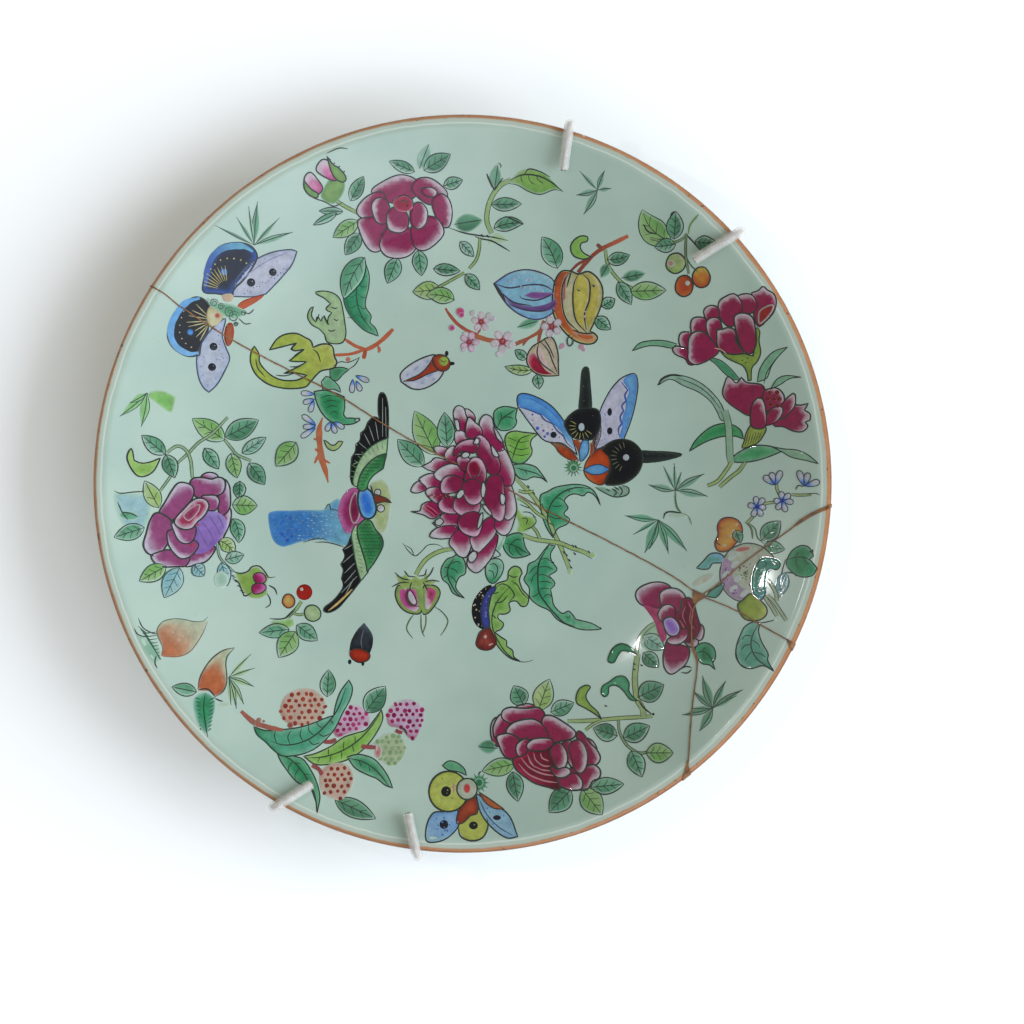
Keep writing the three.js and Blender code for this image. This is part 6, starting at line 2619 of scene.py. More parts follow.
    def bird(self, brush: Painting) -> None:
        """The bird in flight: blue back, rose band, blue neck, and black and green wings.

        Args:
            brush: The painting that takes the strokes.
        """
        back = (
            "-65.8,-10.4 -64.6,-9.2 -62,-8.8 -58,-8.8 -54,-8.6 -48,-8.6 -46.6,-8.2 -45,-6.4 -42,-4.8 "
            "-40,-8 -38.6,-14 -37.8,-18 -39.4,-20.8 -44,-20 -48,-19 -54,-19.4 -58,-20.6 -61,-21.2 "
            "-63.8,-19.4 -65.2,-15.6"
        )
        brush.fill(back, wash("#3c78b8", "#4a8cc4", "#79b4c8", 0, 0.25, reach=1.2, soft=0.3))
        brush.raise_over()
        self.specks(brush, back, 90, 0.5, ("#1c3a52", "#274a78"))
        self.specks(
            brush, "-65,-10.6 -62,-9.6 -56,-10 -55,-14 -56,-19.4 -60.6,-20.6 -64,-17", 16, 1.5,
            ("#2c5cb0", "#3468b4")
        )
        for row in range(10):
            for i in range(15):
                x = -64 + i * 1.6 + brush.dice.uniform(-0.5, 0.5)
                y = -9.8 - row * 1.05 + brush.dice.uniform(-0.3, 0.3)
                pale = x > -54 + brush.dice.uniform(-4, 4)
                if brush.dice.random() < (0.75 if pale else 0.4):
                    tint = (
                        "#a9cdd6", "#8fbccb", "#2f6f9c"
                    )[brush.dice.integers(3)] if pale else ("#1f3c8c", "#2a5aa8")[brush.dice.integers(2)]
                    brush.line(
                        np.array(
                            [
                                (x, y),
                                (x + brush.dice.uniform(0.4, 0.9), y + brush.dice.uniform(-0.25, 0.25))
                            ]
                        ), 0.32, tint, cover=0.7
                    )
        for text in (
            "-54,-19.6 -50.6,-18.6 -47.6,-18.2 -45.8,-19", "-50,-19.6 -46,-19.6 -42,-20.6 -39.6,-21.4",
            "-46.6,-8.4 -45.2,-6.6 -44.6,-9", "-45,-8.2 -42,-9"
        ):
            brush.line(text, 0.36, "#3a2f28")
        brush.restart()
        for wing in (
            "-25.3,15.6! -25.2,24 -25.6,27.8 -26.4,30.2 -27.6,30.9 -28.5,29.4 -28.7,25 -28.4,22.2! "
            "-30.4,22.6 -32.2,20.8! -33.2,18.4 -34.6,17.2! -34.8,14.8 -36.2,13.4! -36.4,11 -37.6,9! "
            "-37.9,5.6 -38,2 -37.4,-0.4! -36.4,3.4 -34.6,8 -31.4,12 -28.4,14.4",
            "-38,-17.6! -39,-20.4 -40.6,-22! -39.9,-24.4 -41.3,-27! -40.4,-29 -41,-31.8! -40.4,-34 "
            "-41.4,-36.4 -44,-39.4 -46.6,-41.4 -47,-42.8 -45,-43.2 -42,-41.6 -38.8,-38 -35.6,-34 "
            "-34.4,-32.4! -35.4,-28 -36.6,-22.4 -37,-18.6",
        ):
            brush.shape(wing, wash("#17181c", "#0e0f12"), 0.4, "#0e0f12")
        for root, tip in (
            ((-27.2, 16), (-27.2, 29)), ((-26, 15.8), (-26.2, 26)), ((-28.6, 15), (-29.6, 21)),
            ((-30, 14.4), (-31.8, 19.6)), ((-31.4, 13.2), (-33.4, 17)), ((-32.8, 12), (-35.2, 14)),
            ((-34, 10), (-36.6, 10)), ((-35, 7.6), (-37.2, 6.6)), ((-37.4, -20.4), (-40, -22)),
            ((-37, -23.4), (-40.6, -26.6)), ((-36.6, -26.6), (-40, -30)), ((-36.2, -29), (-40, -33.4)),
            ((-35.8, -31), (-41, -36.6)), ((-37, -32), (-39.6, -37))
        ):
            brush.line(np.array([root, tip]), 0.24, "#8a8a80", cover=0.7)
        brush.line("-45.4,-42.6 -42.8,-40.6 -40.2,-38.2 -37.4,-35.4", 0.7, "#d9b56a")
        brush.raise_over()
        bands = (
            "-25.4,15.5! -28.6,14.2 -32,11.8 -34.6,8.6 -36.4,4.6 -37.2,1 -36.8,-0.6! -35.6,-1! -35,2.4 "
            "-33.6,5.2 -31,7.8 -28.4,9.6 -25.8,10.4!",
            "-36.4,-13.6! -37.7,-17 -37.2,-20.6 -36.6,-24.6 -35.6,-29 -34.5,-32.6! -32,-29.6! -33.4,-25 "
            "-34.6,-21 -35.8,-17 -35.2,-14"
        )
        for band in bands:
            brush.shape(band, wash("#c9dcb8", "#a9cf9a"), 0.4, "#1c3b2e")
        for i in range(10):
            angle = math.radians(98 + i * 8.4)
            away = np.array([math.cos(angle), math.sin(angle)])
            centre = np.array([-25.6, 1.2])
            brush.line(np.array([centre + away * 10.4, centre + away * 13]), 0.28, "#5c8a4c")
        for i in range(11):
            y = -15.6 - i * 1.35
            brush.line(np.array([(-36.8 + i * 0.17, y), (-35.2 + i * 0.17, y - 0.5)]), 0.28, "#5c8a4c")
        brush.raise_over()
        inner = (
            "-25.8,10.3! -29,9.3 -32,7 -34,4 -35.2,1.4 -35.7,-1.4! -34,-2.4 -32.2,-1.4! -32,0.4 -30.2,3 "
            "-27,5.2!",
            "-33.2,-11.8! -35.6,-14.4 -35.4,-18 -34.2,-22 -33,-26 -32.4,-29.6! -30,-26.4 -28.2,-23.4 "
            "-27,-20.4 -27.6,-17.6 -29.6,-15.2 -31.2,-12.4"
        )
        for part in inner:
            brush.shape(part, wash("#2c7a44", "#4f9a5c", "#1f5c34", 0, 0.5), 0.45, "#12261c")
            self.scales(brush, part, 1.15, 1.1, "#12301f")
        brush.line("-31.2,-0.4 -30.6,-2.6 -30.4,-4", 0.5)
        brush.restart()
        brush.fill(
            "-31.8,-0.2 -30,1.2 -27,1.8 -25,-0.6 -24,-4 -24.4,-9 -25.2,-14 -27,-17 -29.6,-15.4 "
            "-30.8,-12 -31.6,-6",
            wash("#b9c98f", "#c6d3a6", soft=1.0)
        )
        brush.raise_over()
        self.specks(
            brush, "-30.6,-0.4 -27.6,0.8 -25.6,-2 -25,-9 -26,-14.6 -28,-15.6 -29.8,-12 -29.6,-6", 44,
            0.36, ("#3c5a30",)
        )
        brush.shape(
            "-36.8,-1.3 -38.6,-2 -40.6,-4.2 -41.9,-7.4 -42.1,-10.4 -41,-13.6 -39.4,-16.6 -37.4,-15.8 "
            "-35.2,-13.6 -33.4,-11.4 -34.6,-7 -34.6,-2.6",
            wash("#8a2456", "#b8639a", reach=2.4), 0.3, "#a34a80"
        )
        brush.fill(
            "-36.6,-2.6 -38,-5 -38.6,-9 -37.6,-13 -35.8,-13 -34.6,-10 -35.4,-6 -35.6,-3",
            wash("#6a1238", "#7e1f4c", soft=0.8)
        )
        # The blue neck, paler at its edges, with a painted lighter blue sheen towards its right.
        brush.shape(
            "-35,-2.2 -33,-1.4 -31,-2.6 -30,-5 -29.3,-8.4 -30.2,-10.8 -32,-11.7 -34,-10.8 -35.2,-8 "
            "-35.6,-5",
            wash("#2f6fc8", "#7fb6e0", "#5fa8dc", -20, 0.4), 0.75, "#141c24"
        )
        brush.dot(-33.2, -6.4, 0.6, "#e6eef4")
        for x, y, size in ((-28.9, -2.8, 2.3), (-27.8, -8.2, 2.6)):
            brush.dot(x, y, size + 0.5, "#1a221c")
            brush.dot(x, y, size, "#f0f2ee")
            brush.dot(x, y, size * 0.55, "#c9cdd2")
        brush.shape(
            "-30,-3.3! -28,-4 -25.8,-4.9 -24.2,-6.3! -26.6,-5.9 -29.6,-6.4", wash("#8a3c26", "#6e3020"),
            0.45, "#2a1812"
        )

    def hanging_bud_and_beetle(self, brush: Painting) -> None:
        """The striped bud that hangs below the peony, the beetle and the three cherries.

        Args:
            brush: The painting that takes the strokes.
        """
        brush.stem("-3.6,-21.8 -7,-22.4 -10,-23.6 -12.8,-25.6 -14.6,-28 -16,-30.6", 1.3, "#93ad4a")
        brush.line("-20.4,-19.8 -18.6,-22.4 -16.2,-24.2 -14,-22.6 -12,-20.6 -9,-20.3 -6.8,-21.4", 0.32)
        brush.line("-19.6,-20.6 -17.6,-21.8 -16.6,-24", 0.28)
        brush.restart()
        left = (
            "-21.6,-34 -22.9,-36.6 -22.3,-39.6 -20.4,-42.2 -17.6,-43.6 -14.4,-43.4 -13.8,-40 -14.2,-36 "
            "-17,-34.4"
        )
        right = "-13.4,-34.4 -9.6,-34.2 -7.8,-36.2 -8.4,-38.8 -10,-41.4 -12,-43.6 -13.6,-43.6 -14,-39"
        for part in (left, right):
            brush.shape(part, wash("#93aa62", "#7f9a50"), 0.45)
        brush.fill(
            "-21.2,-35.4 -21.4,-38.6 -19.6,-41.6 -16.6,-43 -15,-42.4 -15.4,-38.4 -16.4,-35.4",
            wash("#9a2c64", "#b95a90", "#e6cfdf", -60, 0.55)
        )
        brush.fill(
            "-12.6,-35 -9.8,-35.2 -9,-37 -10.2,-40 -12,-42.6 -13,-41",
            wash("#9a1f4c", "#b95a80", "#eddfe6", 200, 0.4)
        )
        brush.raise_over()
        brush.shape(
            "-18.2,-35.6 -18.8,-38 -17.4,-40.4 -15.6,-40.4 -16.6,-37.4", wash("#efe7ec"), 0.5, "#4a1430"
        )
        brush.line("-18.6,-35 -19.3,-38 -18,-40.6 -15,-41.2", 0.6, "#4a1430")
        brush.line("-14.2,-35 -14,-40 -13.2,-43.4", 1.1, "#8ba552", taper=0.1)
        brush.line("-15.4,-35.4 -14.8,-38 -14.8,-41", 0.8, "#7f9a50", taper=0.1)
        for text in (
            "-16.6,-43.8 -18.4,-46.4 -19,-49 -17,-52", "-14.2,-43.8 -14.2,-47.4 -13.8,-49.8 -13,-51.4",
            "-12.6,-43.6 -12.6,-47 -13.6,-50.2", "-9.8,-41.2 -7.2,-43 -5.2,-45.8 -6,-48.6 -7.6,-51"
        ):
            brush.line(text, 0.38, "#4a5f34")
        brush.fill(
            "-23,-30.6! -20.4,-31 -19.4,-30 -17.6,-32 -16,-30.6 -14.4,-32 -12,-29.8 -11.6,-32.2 "
            "-8.6,-32.8! -10.6,-34 -13,-34 -14.4,-36! -17,-34.8 -20,-36! -21.4,-34 -24.4,-35.2! -22,-33",
            wash("#8fa654", "#a3b86c", soft=0.3)
        )
        for text in (
            "-23,-29.8 -21,-31.6 -18,-32.4", "-19.8,-29.2 -18.4,-31 -16.2,-31.2",
            "-10,-28 -11.2,-30.4 -13,-32", "-8,-32.8 -10.6,-32.4 -13,-33",
            "-24,-34.6 -21,-33.2 -18,-33.2", "-12.4,-28.6 -13,-30.6 -15.2,-31",
            "-17.4,-33 -18,-35 -17.6,-36", "-13.6,-33 -12.4,-35 -12.2,-36"
        ):
            brush.line(text, 0.45)
        brush.restart()
        brush.shape(
            "-3.6,-24.6 -5.6,-25.4 -7.5,-28.6 -7,-32 -5,-33.8 -3.4,-36.8 0.5,-38.5! -1.6,-36.4 "
            "-2.6,-34.4 -1.4,-31.4 0.6,-30.2 0.8,-27.4 -0.2,-24.8 -1.8,-23.6",
            wash("#3c8f63", "#6fb08a", soft=0.3), 0.42
        )
        brush.line("-3,-25 -5,-28 -5.2,-31 -4,-34 -2,-37 0,-38.4", 0.45)
        for text in (
            "-4.6,-28 -6.4,-28.2", "-5.2,-30.6 -6.8,-31.6", "-4.6,-28.2 -2.6,-29 -1.8,-30.4",
            "-4.8,-30.8 -3,-32 -2.4,-33.6", "-4,-26.8 -2,-26 -0.6,-27"
        ):
            brush.line(text, 0.3)
        brush.restart()
        brush.fill(
            "-33.4,-46.5! -35.8,-49 -37.8,-52.6 -38.5,-56.2! -35.4,-55.4 -31.4,-57.2! -30.4,-54 "
            "-30.6,-50.4",
            wash("#2c3238", "#1a1e22", "#49525a", 60, 0.5)
        )
        brush.fill(
            "-38.3,-56! -35.8,-55.2 -33,-55.9 -31.4,-57.4 -32,-59.2 -34.8,-60 -37.2,-59 -38.2,-57.6",
            wash("#b0341c", "#7a1f14")
        )
        brush.line(
            "-38.3,-56.2 -35.8,-55.3 -33,-56 -31.4,-57.4 -32,-59.2 -34.8,-60.1 -37.2,-59 -38.3,-57.4 "
            "-38.4,-56",
            0.4
        )
        brush.line("-33.6,-49 -34.4,-53 -34,-55.4", 0.3, "#5a646c")
        brush.dot(-38.2, -59.8, 1.4, "#14181c", tall=1.9)
        brush.dot(-33.8, -60.4, 1.2, "#14181c", tall=1.8)
        brush.restart()
        brush.stem("-61,-47 -58.6,-44.4 -56,-41.8 -54.4,-39.4", 1.0, "#8fb35a")
        brush.stem("-57,-43.6 -55,-44 -53.4,-43.6", 0.7, "#8fb35a")
        brush.line("-65,-45.2 -62,-45.4 -59.4,-44.8 -56.4,-42", 0.45)
        brush.fill(
            "-65,-46 -61,-45.4 -57.4,-45 -56.6,-47.6 -60,-49 -63.6,-48",
            wash("#8fbf6a", "#a9cf8a", soft=0.9)
        )
        brush.dot(-53.5, -36.4, 5.5, "#9a2018", rim="#6e1410")
        brush.dot(-54.4, -35.4, 1.6, "#b8452c", soft=0.6)
        brush.shape(
            "-53.4,-42.6 -52,-40.9 -49.6,-41 -48,-43 -48.4,-45.2 -50.6,-46.2 -52.8,-45.2",
            wash("#b9cf9c", "#a3c08a"), 0.42
        )
        brush.shape(
            "-60.2,-37.6 -58.4,-37 -56.8,-38.6 -57,-40.8 -59,-41.7 -60.8,-40",
            wash("#d0b060", "#b8562c", reach=1.4), 0.4
        )
        brush.leaf((-56, -47.4), (-49, -52.6), 5.4, LeafTone.MIDDLE)
        brush.leaf((-58.4, -48.8), (-68.4, -49.9), 4.8, LeafTone.MIDDLE, veins=2)
        brush.leaf((-56.4, -49.6), (-61.8, -58.2), 7.0, LeafTone.SPRING)

    def carnations(self, brush: Painting) -> None:
        """The two carnations at the right with their calyxes and long blades.

        Args:
            brush: The painting that takes the strokes.
        """
        brush.shape(
            "56.8,44.8! 59.4,47.4 64,48.2 68,48 71.6,47! 70,45.6 66,46.3 61.6,46.3",
            wash("#4f9a70", "#86b894", soft=0.2), 0.36
        )
        brush.shape(
            "81.4,42.4! 86,41.4 89.6,38.4 92.6,34.8! 90,35 87,37.4 84.4,40.2",
            wash("#4f9a70", "#3f8a63", soft=0.3), 0.3
        )
        brush.shape(
            "65.4,33.2! 67,35.4 70,36.6 75,36 80,33.6 84,30 86.8,26 88.2,21! 86.4,21.4 85.2,24 83,27.6 "
            "79,30.8 74,33 69.6,35.2",
            wash("#8fb89e", "#a3c4ae", soft=0.2), 0.32
        )
        brush.line("65.4,33.2 67,35.4 70,36.6 74,36.2", 0.7)
        brush.line("72,35.6 78,33.2 82.6,29.8 86,25.4", 0.28)
        brush.shape(
            "98.2,34! 98.9,38 101.2,41.9 104,44.2 107.8,45.3! 104.8,42.2 102.6,38.9 101.2,35.2",
            wash("#6fa884", "#8fbf9e", soft=0.2), 0.34
        )
        brush.shape(
            "102.4,31.4! 104.4,34.6 107.4,35.9 112.4,35.3! 108.6,34.9 105.6,33",
            wash("#6fa884", "#8fbf9e", soft=0.2), 0.34
        )
        brush.line("100.4,33.4 101.2,37 104,41.4", 0.3)
        brush.restart()
        brush.shape(
            "97.6,51.8 98.8,50.6 98.6,47.4 99.2,43.6 98,40.6 96.4,38.6 96.2,34.6! 95.2,34.4! 94.8,37 "
            "93.4,39.4 90.8,40.7 88,42.2 86.2,44! 90,43.2 94,43.4 96.6,42.8 97.2,47",
            wash("#97b04e", "#7f9a44"), 0.42
        )
        brush.raise_over()
        brush.flower(
            (96, 44),
            (
                "96,63.4! 98,64 99.6,65.4 101,64.2 103.2,62.8 104,60 103,56.6 100.4,53.6 98.4,52.2 "
                "97,55 96.4,59",
                "91,61.6 92.6,62.9 95.2,63 97,61.6 97.8,58.6 95.8,56.6 92.6,57.4",
                "85.4,60.6 87.2,62.2 90.2,63.2 92.4,61 93,58 92.4,54 89,52.4 86.4,54.4 85.2,57.6",
                "80.4,57.6 81.6,59.2 83.4,59.5 85.2,58.6 85.6,56 84,53.6 81.6,54.4",
                "72.3,48.6 73,50.6 75.2,50.9 76.8,50 78.6,46.6 76.6,44 73,46",
                "70.2,45.2 71.4,46.2 74,45.8 77.6,44.4 79,41 76,39.9 74.4,42 71.4,43.4",
                "76.2,53.6 77,55.4 79.5,55.7 81.4,54.8 82.4,51.5 82,48.6 79,48 76.6,50.4",
                "81.2,53 82.2,55.1 84.4,55.5 86,54.2 86.6,50 85.6,46.4 82.8,48",
                "75.4,44 75.6,48.6 77.4,50.8 80.4,50.8 83.6,47.6 85.6,44.4 82,41.4 78,40 75.6,41.4",
            ), CARNATION.deep, CARNATION.tip, start=0.45, width=0.48
        )
        brush.flower(
            (94, 41),
            (
                "84.8,49.6 85,51.7 86.6,51.5 88.4,52.1 90.6,51.2 91.6,47.6 93.6,43.7 88.6,43.5 85.4,45.2",
                "90.4,54.8 91.4,56.5 94,56.7 96.4,55.2 97.4,51 97.6,46.6 96,43.3 93.4,44.6 91.6,49",
            ), CARNATION.deep, CARNATION.tip, start=0.45, width=0.5
        )
        brush.fill(
            "98.4,53 100.6,54.2 102.8,57 103.2,59.4 100.6,59 98.2,57",
            wash("#96281a", "#8a1830", soft=0.7)
        )
        brush.line("90.6,49.6 91.6,46.6 93.6,44", 0.4)
        brush.line("84,45.4 86.4,44.8 88,43.4", 0.34, "#d8b8a0")
        for x, y in ((93.3, 41.2), (95, 41.9), (96.8, 42.6), (88.4, 43.9), (94.4, 40.4)):
            brush.dot(x, y, 0.6, brush.ink)
        brush.restart()
        brush.shape(
            "76,11! 78,14.6 82,18.4 86,20.1 90,19.9 93,17.8 93.8,15! 91,16 87,15.9 83,14.8 79.6,13.2",
            wash("#2f8a52", "#4f9a68", soft=0.2), 0.42
        )
        brush.shape(
            "89.6,7.4! 91,9.6 94.5,11.8 98.5,12.9 103,12.4 106.6,11! 103,9.4 98.5,7.9 94,7.2",
            wash("#3f9a60", "#77b08a", soft=0.2), 0.42
        )
        brush.shape(
            "102.6,12.5! 107,11.6 111,11.2 114.6,9.6 118,6.6! 113.6,7.8 109.4,8.8 106,10.8",
            wash("#a3c4a8", "#8fb89a", soft=0.2), 0.34
        )
        brush.stem("87.6,24.6 88.8,20 89.2,14 89.4,9.6 90,7", 2.2, "#86b08c")
        brush.stem("90,7.4 88.2,4.6 85.4,1 82,-0.6", 1.1, "#97b04e")
        brush.stem("94.4,7.2 92.4,4.4 89.6,2.2 86,-1", 1.1, "#97b04e")
        brush.restart()
        brush.shape(
            "94,14.2 94.6,16.8 96.2,19.6 99,20 101.2,18.6 100.2,16 98.6,13.8 96,12.6 93.3,12",
            wash("#a3b454", "#86983f"), 0.42
        )
        for i in range(6):
            brush.line(
                np.array([(94.4 + i * 0.8, 12.8 + i * 0.25), (95.4 + i * 0.85, 17.2)]), 0.36, "#4a4a22"
            )
        for x, y in ((95.4, 17.9), (96.6, 17.5), (97.6, 17.1), (98.8, 16.7)):
            brush.dot(x, y, 0.6, "#3a3018")
        brush.raise_over()
        brush.flower(
            (97, 22),
            (
                "87,31.8! 88.4,35.8 90,35! 91.4,33.6 93,35.6! 94.4,34 96,33.6 98,33.4 100,32.7 "
                "100.8,30.4 99,27.6 96.6,25.4 95.6,22.8 92,24.8 88.6,27.4 87,29.8",
                "100.4,30.8 102.4,31.7 104.8,31.7 106.8,29.4 106.6,26.2 104,23 101,24.6 99.8,28",
                "110.4,26.4! 112,26 114.6,26.6! 113.4,24.4! 115.3,23 115.2,21! 113.6,20.5! 114.6,19 "
                "112.8,17.3 110,17.5 106.6,19 103.6,19.4 105,23 108.4,25",
                "106.4,26.8 108.4,29 110.3,29.9 110.4,26.2 109,24 106.4,21.6 104.4,23",
                "102,24.2 103.6,25.4 105.8,25.7 106.6,24 105,21.2 102.2,19.6 99.8,20",
                "96.3,25.4 97.4,27.8 99.2,28.8 100.4,27.2 101,24.4 101.2,20 99.6,18.4 96.6,19 96,22",
            ), CARNATION.deep, CARNATION.tip, start=0.45, width=0.48
        )
        for x, y in (
            (102.4, 30.2), (104.6, 30.4), (101.6, 28.4), (103.6, 28.2), (105.4, 28.2), (102.6, 26.4),
            (104.8, 26)
        ):
            brush.dot(x, y, 1.9, "#a3182c", rim="#5e0d18", soft=0.1)

    def swallowtail(self, brush: Painting) -> None:
        """The butterfly with two round black tailed wings and two blue and white ones.

        Args:
            brush: The painting that takes the strokes.
        """
        brush.shape(
            "18.4,26! 18.1,29 19.2,30.4 22,30.3 26,28.7 30,26 33.6,21.6 36.2,16.6 38.4,9.7! 36,11.8 "
            "33,13.8 29.4,14 26.4,15.4 23.2,19.4 20.4,23.2",
            wash("#e6e5ee", "#cfd2e4"), 0.45
        )
        brush.fill(
            "18.4,26! 18.1,29 19.2,30.4 22,30.3 26,28.7 30,26 33.6,21.6 36.2,16.6 38,11! 36.4,13 "
            "34.4,15.4 32,18.4 29,21 26,23.4 22.6,24.8",
            wash("#5f9fd8", "#3f7cc0", "#86bcdc", -50, 0.5)
        )
        brush.raise_over()
        brush.line(
            "18.6,26 22.6,24.8 26,23.4! 27.4,21.6 30,20.4! 31.6,18 33.6,16.4! 35,13.8 37,12", 0.5,
            "#2a3f7c"
        )
        brush.line("19.6,29 23,28.6 27,26.4 31,23 34,18.6", 0.3, "#2f68b4")
        brush.dot(30.4, 16.6, 2.5, "#1a2234")
        for x, y, size, colour in (
            (23.3, 23.4, 1.1, "#3f5fb0"), (23.4, 21.5, 0.9, "#a04a78"), (25, 18.8, 1.6, "#3f5fb0"),
            (26.6, 20, 0.7, "#6a4a9c"), (27, 18, 1.2, "#6a4a9c"), (28.4, 17, 1.4, "#5a5fb0"),
            (27.4, 16, 1.2, "#3f4f9c"), (28.6, 19, 0.7, "#a04a78"), (30, 18.4, 0.8, "#3f5fb0"),
            (31.6, 18.4, 0.6, "#3f5fb0"), (32.4, 15.8, 0.7, "#6a4a9c")
        ):
            brush.dot(x, y, size, colour, soft=0.2)
        brush.restart()
        brush.shape(
            "29,14.2! 33,13.4 36,11.4 38.6,8.4 38.4,7.4! 35.4,8.4 32.4,10.4 31,12.6!",
            wash("#b8562c", "#8a3018", "#8a6a4c", 100, 0.5), 0.4, "#4a2a1a"
        )
        brush.restart()
        brush.shape(
            "45.6,23 47,27 49.4,31.4 52.2,34.8 55,36.6 57.8,37.1 58.7,34.5 58.6,31 57.6,25.5 56,20 "
            "54,15! 49.4,13.6 44.4,11.8 44.6,16 45.6,19.6",
            wash("#d5d4e6", "#c3c4dc"), 0.42
        )
        brush.fill(
            "53.4,34.6! 55,36.6 57.8,37 58.6,34.5 58.5,31 57.5,25.5 55.9,20 54,15.2! 52.4,15.6 53.2,19 "
            "53.4,22.4 54.4,25.4 54.6,28.4 55.6,31.4",
            wash("#6fa8cc", "#4f86c4")
        )
        brush.raise_over()
        brush.line(
            "53.2,34.4 55.4,31.6! 54.4,30 54.8,28! 53.4,26.4 54,24.6! 52.8,22.6 53.4,20.4! 52.2,18.4 "
            "52.8,15.6",
            0.6, "#2c3f8c"
        )
        brush.dot(49.3, 24.3, 1.9, "#1a1c26", tall=3.0)
        brush.dot(49.3, 17.9, 2.2, "#1a1c26", tall=2.8)
        self.specks(
            brush, "46.4,22.6 48,24.6 52.4,22.6 52,15.4 46,13.4 46,18", 60, 0.5,
            ("#7a6fb0", "#8f7cae", "#4f5a9c")
        )
        self.specks(brush, "50,29.6 52.4,32.4 53.4,28 52,25", 10, 0.45, ("#8f8cc0",))
        brush.restart()
        brush.shape(
            "43.2,12.6! 44,16 45,20 46.2,22.4! 46.3,17 45,12.8 43.8,10.6!", wash("#9a6a4c", "#7a4a38"),
            0.3
        )
        brush.shape(
            "39.2,24.6 39.4,31 39.8,37 40.4,39 41.3,39.5 42.2,38.7 42.7,34 43,25",
            wash("#15171b", "#2a3430"), 0.4, "#0e1210"
        )
        brush.shape(
            "34,20.6 35.8,23.2 38.6,25.1 42,25.6 45.4,24.9 46.3,21 45.4,17.5 43.4,15 39.4,15 36.4,16 "
            "34.8,18.2",
            wash("#121418", "#1c1f22"), 0.4, "#0e1210"
        )
        brush.shape(
            "59.4,10.9 64,11 70,10.7 73.6,9.9 70,8.5 64,7.4 59.6,7.6", wash("#15171b", "#2a3430"), 0.4,
            "#0e1210"
        )
        brush.shape(
            "46.8,11.8 50,14.4 53.5,15.1 57,14.2 59.8,11.4 60.4,8 59.4,4.6 57.2,2 54,0.2 50,-0.4 "
            "47.6,0.4 49.4,5 49,9",
            wash("#121418", "#20221c"), 0.4, "#0e1210"
        )
        brush.dot(39.8, 19.2, 2.3, "#c3d3d6", tall=3.0)
        brush.dot(54.8, 9, 2.5, "#b5bcc0")
        for i in range(9):
            away, other = heading(150 + i * 22), heading(100 + i * 18)
            spot, second = np.array([39.8, 19.2]), np.array([54.8, 9])
            brush.line(np.array([spot + away * 2.0, spot + away * 4.2]), 0.26, "#a39a52")
            brush.line(np.array([second + other * 3.2, second + other * 5.2]), 0.24, "#6f6a48")
        for x, y in (
            (57.6, 12), (58.8, 9.6), (52.8, 13.2), (50.4, 12.8), (36.4, 22), (43.6, 23), (40.4, 33),
            (40.6, 28), (62, 10), (66, 9.6)
        ):
            brush.dot(x, y, 0.45, "#9a9a86")
        brush.restart()
        brush.shape(
            "40.6,4.6! 41.4,7.4 43.4,10.2 46,11.9 48.4,11 49.8,8 49.6,4.4 48.6,1.6 46.6,-0.3 43.6,0.6 "
            "41.4,2.4",
            wash("#b0451f", "#8a2c16", "#c86a34", 200, 0.5), 0.45, "#3a1a12"
        )
        brush.shape(
            "40.4,4.6! 42.6,6 46,6.6 49.4,5! 46.6,3.4 43.4,3.3",
            wash("#7fb4d6", "#4f8fc4", "#3f86cc", 0, 0.5), 0.4, "#1a2a44"
        )
        brush.shape(
            "39.4,7.6! 39,11 40.2,14.6 42,14.8 42.2,11 40.6,8.2", wash("#8fc0da", "#4f8fc4"), 0.4,
            "#1a2a44"
        )
        brush.fill("36.4,15.2! 39.6,14.6 39,11 38.8,8.6! 38.4,11", wash("#a8562e", "#8a3c22", soft=0.2))
        brush.fill("42.6,14.4! 43.6,14 44,11 42,8.6! 42.6,11", wash("#a8562e", "#8a3c22", soft=0.2))
        brush.restart()
        brush.dot(37, 5.8, 5.2, "#4f8f5c", rim="#6fa87a", soft=0.9)
        brush.dot(37.2, 5.4, 3.0, "#2f6f44", soft=0.8)
        for i in range(14):
            away = heading(i * 26)
            brush.line(
                np.array([np.array([37, 5.6]) + away * 1.4, np.array([37, 5.6]) + away * 3.1]), 0.3,
                "#1c3f2c"
            )
        brush.restart()
        brush.fill(
            "44.2,-1 47,-0.8 50,-1.6 53.8,-0.2 55.8,-1.4 55.4,-3.8 52,-4.4 49,-3.8 46,-2.6",
            wash("#a3b8a8", "#6f9a80", soft=0.4)
        )
        for text in (
            "44.4,-1 47.4,-2.8 50.4,-4.2 53.4,-4.2 55.6,-3.2 55.6,-1.2 53.6,-0.4",
            "50,-1.4 51.6,-2.8 50.6,-4", "52.4,-0.6 53.6,-2.4 52.6,-4", "48,-1.6 49.4,-2.4",
            "50.6,-0.8 52.6,-2"
        ):
            brush.line(text, 0.45)

